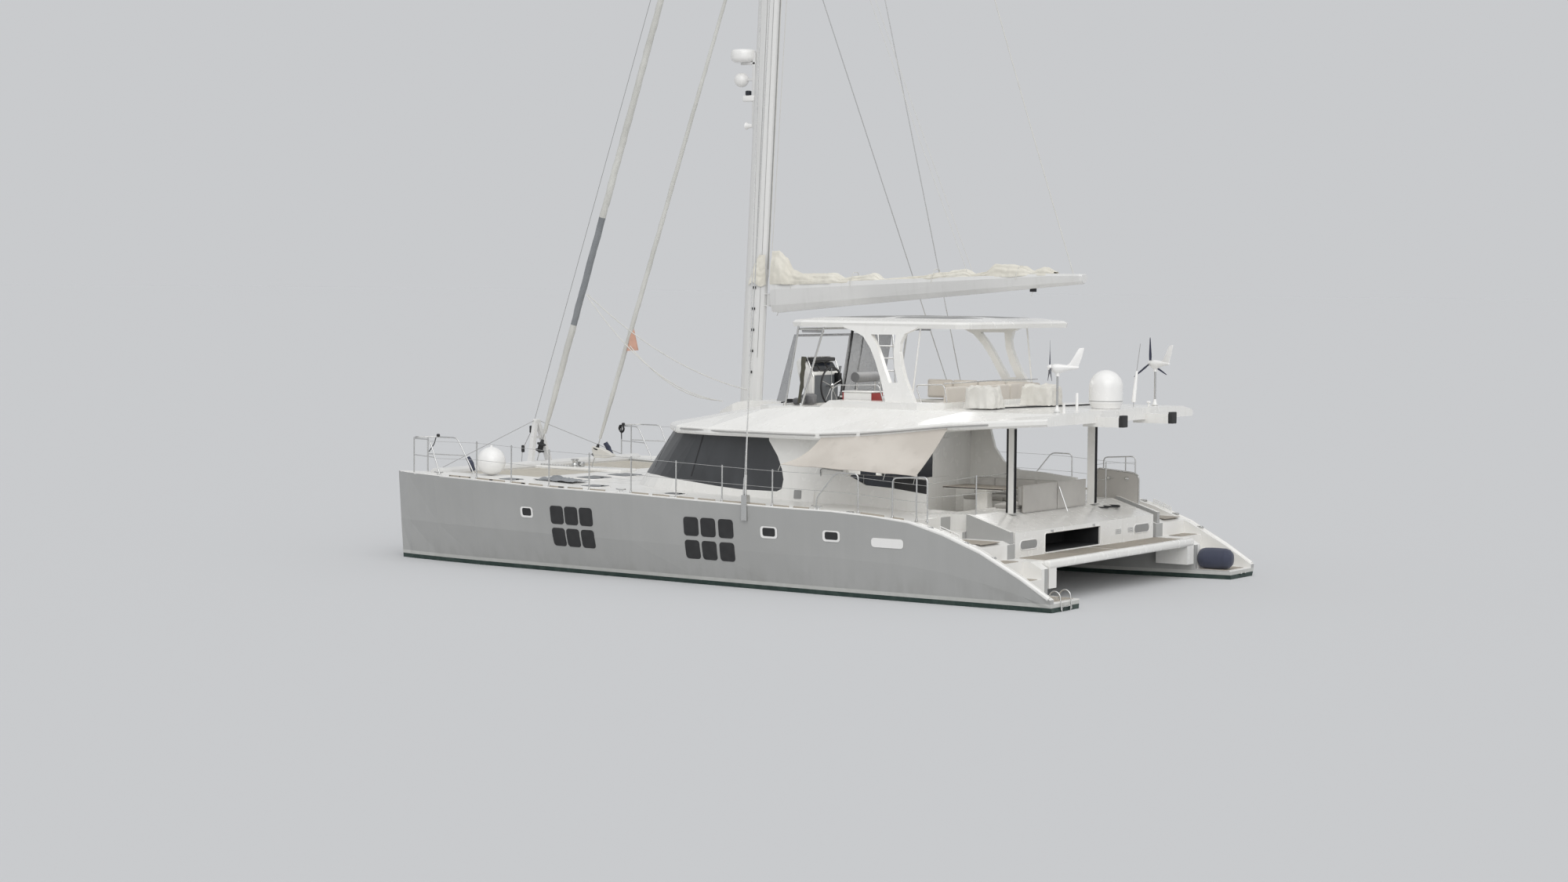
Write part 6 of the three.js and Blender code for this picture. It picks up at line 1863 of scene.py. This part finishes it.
def nacelle():
    profile = [(0.008, -0.585), (0.03, -0.575), (0.04, -0.5), (0.052, -0.4), (0.07, -0.3),
        (0.086, -0.22), (0.095, -0.15), (0.096, -0.09), (0.088, -0.04), (0.074, -0.008),
        (0.06, 0.0)]
    body = turned(profile, tilt=ALONG_X, sides=40)
    for vertex in body.data.vertices:
        vertex.co.z *= 0.8 if vertex.co.z > 0 else 1.0 + 0.4 * exp(-((vertex.co.x + 0.13)
            / 0.14) ** 2)
        vertex.co += Vector((HUB_AHEAD, 0, HUB_Z))
    return body


def tail_fin():
    corners = [(-0.16, 4.955), (-0.25, 5.02), (-0.335, 5.15), (-0.43, 5.315), (-0.46, 5.345),
        (-0.55, 5.35), (-0.562, 5.335), (-0.52, 5.16), (-0.455, 4.99), (-0.45, 4.93), (-0.3, 4.92)]
    return bevelled(plate([(x, -0.013, z) for x, z in corners], (0, 0.026, 0)), 0.009, 3)


def blade(angle):
    """A twisted, tapering blade: a thin slab cut into slices."""
    obj = slab((-0.004, -0.5, 0.03), (0.004, 0.5, 0.58), 0.0015, 1)
    cut_across(obj, 2, [0.03 + 0.55 * i / 14 for i in range(1, 14)])
    cut_across(obj, 1, [-0.25, 0.0, 0.25])
    for vertex in obj.data.vertices:
        r = vertex.co.z
        share = (r - 0.03) / 0.55
        width = read_share(((0.0, 0.044), (0.25, 0.062), (0.6, 0.046), (0.93, 0.026), (1.0, 0.012)),
            share)
        twist = 0.5 - 0.37 * min(share * 1.5, 1.0)
        across, thick = vertex.co.y * width, vertex.co.x * (1.3 - share)
        thick += 0.25 * (across / width) ** 2 * -0.012
        vertex.co.x = across * sin(twist) + thick
        vertex.co.y = across * cos(twist)
    obj.rotation_euler.x = angle
    return apply_all(obj)


def tip_angle(side):
    """The angle about the hub of one blade tip of the solid rotor."""
    hub = Vector((POLE_X, POLE_Y if side == "port" else -POLE_Y, HUB_Z))
    turn = Matrix.Rotation(-POINTING[side], 3, "Z")
    spots = [turn @ (vertex.co - hub) for vertex in NODES[f"turbine_rotor_{side}"].data.vertices]
    tip = max(spots, key=lambda spot: hypot(spot.y, spot.z))
    return atan2(-tip.y, tip.z)


for side in ("port", "starboard"):
    socket = turned([(0.05, 4.742), (0.05, 4.76), (0.043, 4.77), (0.043, 4.84), (0.056, 4.87)],
        sides=32)
    head = joined([nacelle(), tail_fin(), socket])
    settle(set_up(head, side), f"turbine_shell_{side}", PLASTIC, f"turbine_head_{side}",
           smooth=50, replaces=[f"turbine_head_{side}"])
    hub = turned([(0.063, 0.003), (0.063, 0.03), (0.057, 0.055), (0.044, 0.077), (0.024, 0.092),
        (0.004, 0.097)], (HUB_AHEAD, 0, HUB_Z), ALONG_X, 40)
    first = tip_angle(side)
    blades = joined([blade(first + 2 * pi * i / 3) for i in range(3)])
    blades.location = (HUB_AHEAD + 0.035, 0, HUB_Z)
    rotor_body = f"turbine_rotor_{side}"
    settle(set_up(hub, side), f"turbine_hub_{side}", PLASTIC, rotor_body, smooth=50,
           replaces=[rotor_body])
    settle(set_up(apply_all(blades), side), f"turbine_blades_{side}", BLADE, rotor_body,
           smooth=50, replaces=[rotor_body])
    print(side, "blades start at", round(degrees(first), 1), "degrees")
cones = turned([(0.075, 3.985), (0.075, 4.0), (0.05, 4.02), (0.032, 4.08), (0.028, 4.12)],
    (POLE_X, POLE_Y, 0), sides=28)
settle_pair(cones, "pole_cones", PLASTIC, smooth=50)

# %% Dome
DOME_AT = (-7.78, 0.0, 3.985)
profile = [(0.315, 0.0), (0.318, 0.02), (0.345, 0.085), (0.366, 0.118), (0.372, 0.135),
    (0.372, 0.15), (0.364, 0.155), (0.364, 0.167), (0.373, 0.172), (0.3735, 0.47)]
profile += [(0.3735 * cos(pi / 2 * i / 14), 0.47 + 0.3735 * sin(pi / 2 * i / 14))
            for i in range(1, 14)]
settle(turned([*profile, (0.01, 0.8435)], DOME_AT, sides=72), "dome_shell", PLASTIC, smooth=40,
       replaces=["satcom_dome"])
band = turned([(0.3655, 0.152), (0.3655, 0.17)], DOME_AT, sides=72)
settle(band, "dome_band", GREY_PANEL, smooth=40, replaces=["satcom_dome"])

# %% Radar and lamps of the mast
shell = [turned([(0.22, 0.0), (0.29, 0.045), (0.309, 0.09), (0.313, 0.14), (0.313, 0.2),
    (0.308, 0.245), (0.285, 0.285), (0.22, 0.307), (0.02, 0.312)], (1.99, 0, 11.88), sides=56)]
shell.append(turned([(0.175 * sin(pi * i / 20), -0.175 * cos(pi * i / 20)) for i in range(1, 20)],
    (2.05, 0, 11.47), sides=44))
shell += [slab((1.64, -0.08, 10.95), (1.98, 0.08, 11.1), 0.04, 4),
    turned([(0.04, 0.0), (0.042, 0.12), (0.06, 0.24), (0.09, 0.3), (0.07, 0.3), (0.045, 0.25)],
    (1.6, 0, 10.38), ALONG_X, 32)]
settle(shell, "radar_shells", PLASTIC, smooth=50, replaces=["radar_stack"])
arms = [slab((1.42, -0.05, 11.82), (2.05, 0.05, 11.885), 0.012, 2),
    slab((1.4, -0.04, 11.44), (1.92, 0.04, 11.5), 0.012, 2),
    slab((1.62, -0.05, 10.32), (1.72, 0.05, 12.1), 0.02, 2)]
settle(arms, "radar_arms", SPAR, replaces=["radar_stack"])
lenses = [turned([(0.06, 0.0), (0.075, 0.02), (0.075, 0.1), (0.05, 0.115)],
                 (1.85, 0, 11.1), sides=32),
          turned([(0.045, 0.0), (0.05, 0.012), (0.03, 0.018)], (2.17, 0.0, 11.44), ALONG_X, 28)]
settle(lenses, "radar_lenses", HULL_GLASS, smooth=50)
print("domes and radar made")

# %% Posts, antennas and the pole on the roof
def roof_z(x, y):
    return top_at("flydeck", x, y, 4.5)


gear = [turned([(0.035, 0.0), (0.033, 0.02), (0.03, 0.36), (0.02, 0.37)],
    (-7.6, 0.99, roof_z(-7.6, 0.99) - 0.005), sides=24),
    turned([(0.045, 0.0), (0.04, 0.03), (0.03, 0.16), (0.04, 0.18), (0.02, 0.19)],
    (-7.9, 2.13, roof_z(-7.9, 2.13) - 0.005), sides=24),
    turned([(0.018, 0.0), (0.018, 0.07), (0.05, 0.085), (0.055, 0.105), (0.035, 0.125)],
    (-7.9, -1.82, roof_z(-7.9, -1.82) - 0.005), sides=28),
    turned([(0.045, 0.0), (0.05, 0.04), (0.044, 0.3), (0.03, 0.62), (0.022, 0.7), (0.012, 0.71)],
    (-7.8, -1.28, roof_z(-7.8, -1.28) + 0.1), (0.2, 0.0, 0), sides=28)]
settle(gear, "roof_antennas", PLASTIC, smooth=50)
thin_gear = pipes([[(-7.8, -1.28, roof_z(-7.8, -1.28)), (-7.8, -1.28, roof_z(-7.8, -1.28) + 0.14)],
    [(-7.8, -1.41, 4.78), (-7.8, -1.57, 5.38)]], 0.007, bend=0)
settle(thin_gear, "antenna_whips", WIRE, smooth=60)
pole_spots = [(-6.05, 1.79), (-6.28, 1.0), (-6.66, -0.6), (-6.72, -1.8)]
pole = pipes([[(x, y, roof_z(x, y) + 0.017) for x, y in pole_spots]], 0.016, bend=0.3)
settle(pole, "boat_hook", DARK_METAL, smooth=60)
print("roof gear:", len(gear))

# %% [markdown]
# ## Covered loungers
# Two white covers are thrown over folded loungers. A flat grid becomes a cover by one rule: its
# middle makes the top, and what lies further out turns down over the nearest side. Noise that
# grows towards the hem gives the folds, and the hem itself is not level.

# %% Covers
def drape(low, high, top_share, lean, seed):
    """A five-sided cover over a box, its top drawn in by top_share and shifted by lean."""
    centre = [(a + b) / 2 for a, b in zip(low, high)]
    half = [(b - a) / 2 for a, b in zip(low, high)]

    def point(u, v):
        u, v = 2 * u - 1, 2 * v - 1
        reach = max((abs(u) ** 6 + abs(v) ** 6) ** (1 / 6), 1e-6)
        down = min(max((reach - 0.52) / 0.48, 0.0), 1.0)
        u, v = u / max(reach, 0.52), v / max(reach, 0.52)
        size = top_share + (1 - top_share) * down ** 0.8
        turn = atan2(v, u)
        fold = (sin(turn * 7 + seed) * 0.25 + bumps((u * 3, v * 3 + seed, down * 2))) * 0.035 * down
        crumple = bumps((u * 2.1 + seed, v * 2.1, down)) * 0.06
        fine = bumps((u * 6, v * 6 + seed, down * 5)) * 0.02
        x = centre[0] + u * (half[0] * size + fold) + lean * (1 - down) + fine
        y = centre[1] + v * (half[1] * size + fold) + crumple * 0.4
        dome = 0.03 * (1 - min(1, u * u)) * (1 - min(1, v * v)) if down == 0 else 0
        hem = 0.03 * bumps((turn * 2, seed, 5.0)) * down
        z = high[2] - 0.03 + dome + crumple * 1.1 * (1 - down * 0.5) + fine - down * (high[2]
            - low[2] - 0.03) + hem
        return x, y, max(z, low[2] + 0.006)

    return grid_cloth(64, 64, point)


for name, low, high, share, lean, seed, flat in (
        ("lounger_port", (-6.22, 1.64, 3.99), (-5.47, 2.28, 4.46), 0.84, 0.03, 1.3, (1.8, 1.75)),
        ("lounger_centre", (-6.53, -0.44, 4.0), (-5.71, 0.24, 4.45), 0.9, 0.0, 4.1, (1.85, 1.8))):
    cover = settle(drape(low, high, share, lean, seed), f"{name}_cover", COVER, smooth=60,
        replaces=[name])
    area = declare_sheet(cover, flat, "draped", rests_on=["flydeck"])
    print(name, "cover of", round(area, 2), "square metres")

# %% Ball fender on the bow
R = 0.34
ball_z = NODES["ball_fender"].ray_cast((6.75, 3.56, 4.0), (0, 0, -1))[1].z - R
ball_profile = [(R * sin(pi * i / 28), -R * cos(pi * i / 28)) for i in range(2, 28)]
ball = turned([*ball_profile, (0.03, R + 0.005), (0.028, R + 0.03), (0.012, R + 0.04)],
    (6.75, 3.56, ball_z), sides=56)
settle(ball, "ball_shell", PLASTIC, slot="canvas", smooth=50, replaces=["ball_fender"])
print("ball centre at z", round(ball_z, 3))

# %% [markdown]
# ## Bow and foredeck
# The nets are laced to the hulls and to the catwalk with a zigzag line. Hatches, a windlass,
# covered gear and the small things that hang on the pulpits finish the foredeck.

# %% Lacing of the nets
NET_Z, NET_X = 2.008, (5.8, 7.99)
lacing = []
for i in range(42):
    x = NET_X[0] + (NET_X[1] - NET_X[0]) * i / 41
    hull_y = inner_side("hull_port", x, 1.95)
    lacing.append((x, hull_y + (0.006 if i % 2 else -0.085), NET_Z + (0.0 if i % 2 else 0.004)))
inner_lacing = [(NET_X[0] + (NET_X[1] - NET_X[0]) * i / 41, 0.325 if i % 2 else 0.41, NET_Z + 0.006)
    for i in range(42)]
edge_ropes = [[(x, y, NET_Z + 0.003) for x, y, z in lacing[::2]],
    [(x, y, z) for x, y, z in inner_lacing[1::2]], [(5.84, 0.4, NET_Z), (5.84, 3.35, NET_Z)],
    [(7.95, 0.4, NET_Z), (7.95, 3.2, NET_Z)]]
settle_pair(pipes([lacing, inner_lacing, *edge_ropes], 0.006, bend=0, detail=1), "net_lacing", ROPE,
    smooth=60)


# %% Hatches
def hatch(x0, x1, y0, y1, node):
    """A smoked pane in a pale rim, laid on the deck."""
    parts = []
    for inset, high, finish in ((0.0, 0.022, PLASTIC), (0.035, 0.03, SMOKED)):
        part = round_plate(2, -0.02, 0.02 + high, x0 + inset, x1 - inset, y0 + inset, y1 - inset,
            0.08 - inset)
        for vertex in part.data.vertices:
            vertex.co.z += top_at(node, vertex.co.x, vertex.co.y, 3.0)
        dress(part, finish)
        parts.append(part)
    handle = slab((x0 + 0.05, (y0 + y1) / 2 - 0.05, 0.03), (x0 + 0.075, (y0 + y1) / 2 + 0.05,
        0.045), 0.004)
    handle.location.z = top_at(node, x0 + 0.06, (y0 + y1) / 2, 3.0)
    dress(apply_all(handle), DARK_METAL)
    return joined([*parts, handle])


side_hatches = [hatch(3.0, 3.55, 3.72, 4.27, "hull_port"),
    hatch(5.35, 5.85, 3.95, 4.45, "hull_port"), hatch(0.55, 1.0, 4.1, 4.5, "hull_port")]
settle_pair(side_hatches, "deck_hatches", None, slot="dark_glass")
fore_hatches = [hatch(4.45, 5.05, 0.55, 1.35, "bridgedeck"),
    hatch(4.45, 5.05, 1.75, 2.55, "bridgedeck")]
settle_pair(fore_hatches, "foredeck_hatches", None, slot="dark_glass")
print("hatches a side:", len(side_hatches) + len(fore_hatches))

# %% Windlass and chain on the catwalk
walk_z = top_at("catwalk", 6.9, 0.1, 3.0)
windlass = [turned([(0.12, 0.0), (0.12, 0.03), (0.075, 0.05), (0.06, 0.1), (0.075, 0.15),
    (0.1, 0.17), (0.1, 0.19), (0.04, 0.2)], (6.95, 0.12, walk_z), sides=36),
    slab((6.8, -0.12, walk_z), (7.02, 0.02, walk_z + 0.12), 0.03, 3)]
settle(windlass, "windlass", STEEL, smooth=50)
chain = []
for i in range(22):
    x = 7.08 + i * 0.045
    tilt = 0.0 if i % 2 else 0.016
    chain.append([(x, 0.12 - 0.014 + tilt, walk_z + 0.012 + tilt), (x + 0.05, 0.12 - 0.014 + tilt,
        walk_z + 0.012 + tilt), (x + 0.05, 0.12 + 0.014 - tilt, walk_z + 0.012 - tilt * 0.3),
        (x, 0.12 + 0.014 - tilt, walk_z + 0.012 - tilt * 0.3)])
settle(pipes(chain, 0.006, bend=0.01, closed=True), "anchor_chain", STEEL, smooth=60)

# %% Fairing and cloths by the inner stay
fairing = plate([(x, -0.11, z) for x, z in ((6.47, 2.6), (6.2, 2.55), (5.85, 2.42), (5.83, 2.36),
    (6.05, 2.32), (6.36, 2.31), (6.45, 2.46))], (0, 0.22, 0))
cut_across(fairing, 0, [5.9 + 0.09 * i for i in range(6)])
cut_across(fairing, 2, [2.38, 2.46, 2.53])
for vertex in fairing.data.vertices:
    vertex.co.y *= 1 - 0.35 * max(0.0, (vertex.co.z - 2.1) / 0.5)
    vertex.co.y += 0.012 * sin(vertex.co.x * 30) + bumps(vertex.co * 9.0) * 0.012
    vertex.co.z += bumps(vertex.co * 7.0) * 0.012
settle(outward(bevelled(fairing, 0.02, 3)), "covered_gear", COVER, smooth=60)


def limp(points, radius, name, finish):
    """A bundle of cloth along a few points, lumpy and uneven."""
    obj = pipes([points], radius, bend=0.1, detail=4)
    for axis in (0, 2):
        low, high = reach_of(obj, axis)
        cut_across(obj, axis, [low + 0.05 * (i + 0.5) for i in range(int((high - low) / 0.05))])
    for vertex in obj.data.vertices:
        shift = wobble(vertex.co * 6.0) * 0.35 + wobble(vertex.co * 17.0) * 0.14
        vertex.co += shift * radius
    settle(outward(obj), name, finish, slot="canvas", smooth=60)


limp([(6.24, -0.2, 2.68), (6.17, -0.22, 2.56), (6.08, -0.24, 2.38)], 0.06, "navy_bag_inner",
    NAVY_CLOTH)
limp([(7.54, 3.5, 2.44), (7.46, 3.48, 2.28), (7.38, 3.47, 2.12)], 0.062, "navy_bag_port",
    NAVY_CLOTH)
print("cloths hung by the pulpits")

# %% Lights and coils on the pulpits
nav = [slab((8.3, 3.62, 2.91), (8.37, 3.69, 2.98), 0.02, 3)]
strap = pipes([[(8.4, 3.655, 2.91), (8.43, 3.69, 2.74), (8.5, 3.8, 2.55)]], 0.012, bend=0.05)
settle_pair([*nav, strap], "bow_lights", RUBBER)
hang = []
for i in range(5):
    y, drop = -3.58 - 0.014 * i, 0.2 + 0.025 * sin(i * 2.1)
    hang.append([(8.4 - 0.012 * i, y, 2.92), (8.45, y - 0.01, 2.92 - drop * 0.5),
        (8.36, y - 0.01, 2.92 - drop), (8.27, y, 2.92 - drop * 0.5), (8.32, y, 2.92)])
settle(pipes(hang, 0.01, bend=0.06, closed=True), "hanging_coil", RUBBER, slot="canvas", smooth=60)

# %% Canvas left on the foredeck
def heap_point(u, v):
    u, v = u - 0.5, v - 0.5
    x = 4.75 + u * 1.25 + bumps((u * 5.0, v * 4.0, 2.0)) * 0.06
    y = 3.4 + v * 0.72 + bumps((u * 4.0, v * 5.0, 8.0)) * 0.07 - u * 0.12
    edge = max(0.0, 1 - (2 * abs(u)) ** 3) * max(0.0, 1 - (2 * abs(v)) ** 3)
    ridge = abs(bumps((u * 3.0, v * 2.5, 5.0))) * 0.22 + abs(bumps((u * 8, v * 7, 1.0))) * 0.05
    deck = top_at("bridgedeck", x, y, 3.0) if y < 3.6 else top_at("hull_port", x, y, 3.0)
    return x, y, max(deck, 2.0) + 0.008 + ridge * (0.25 + 0.75 * edge)


heap = settle(grid_cloth(70, 44, heap_point), "canvas_heap", UV_STRIP, smooth=60)
heap_area = declare_sheet(heap, (1.55, 1.15), "laid", rests_on=["hull_port"])
print("canvas of", round(heap_area, 2), "square metres")
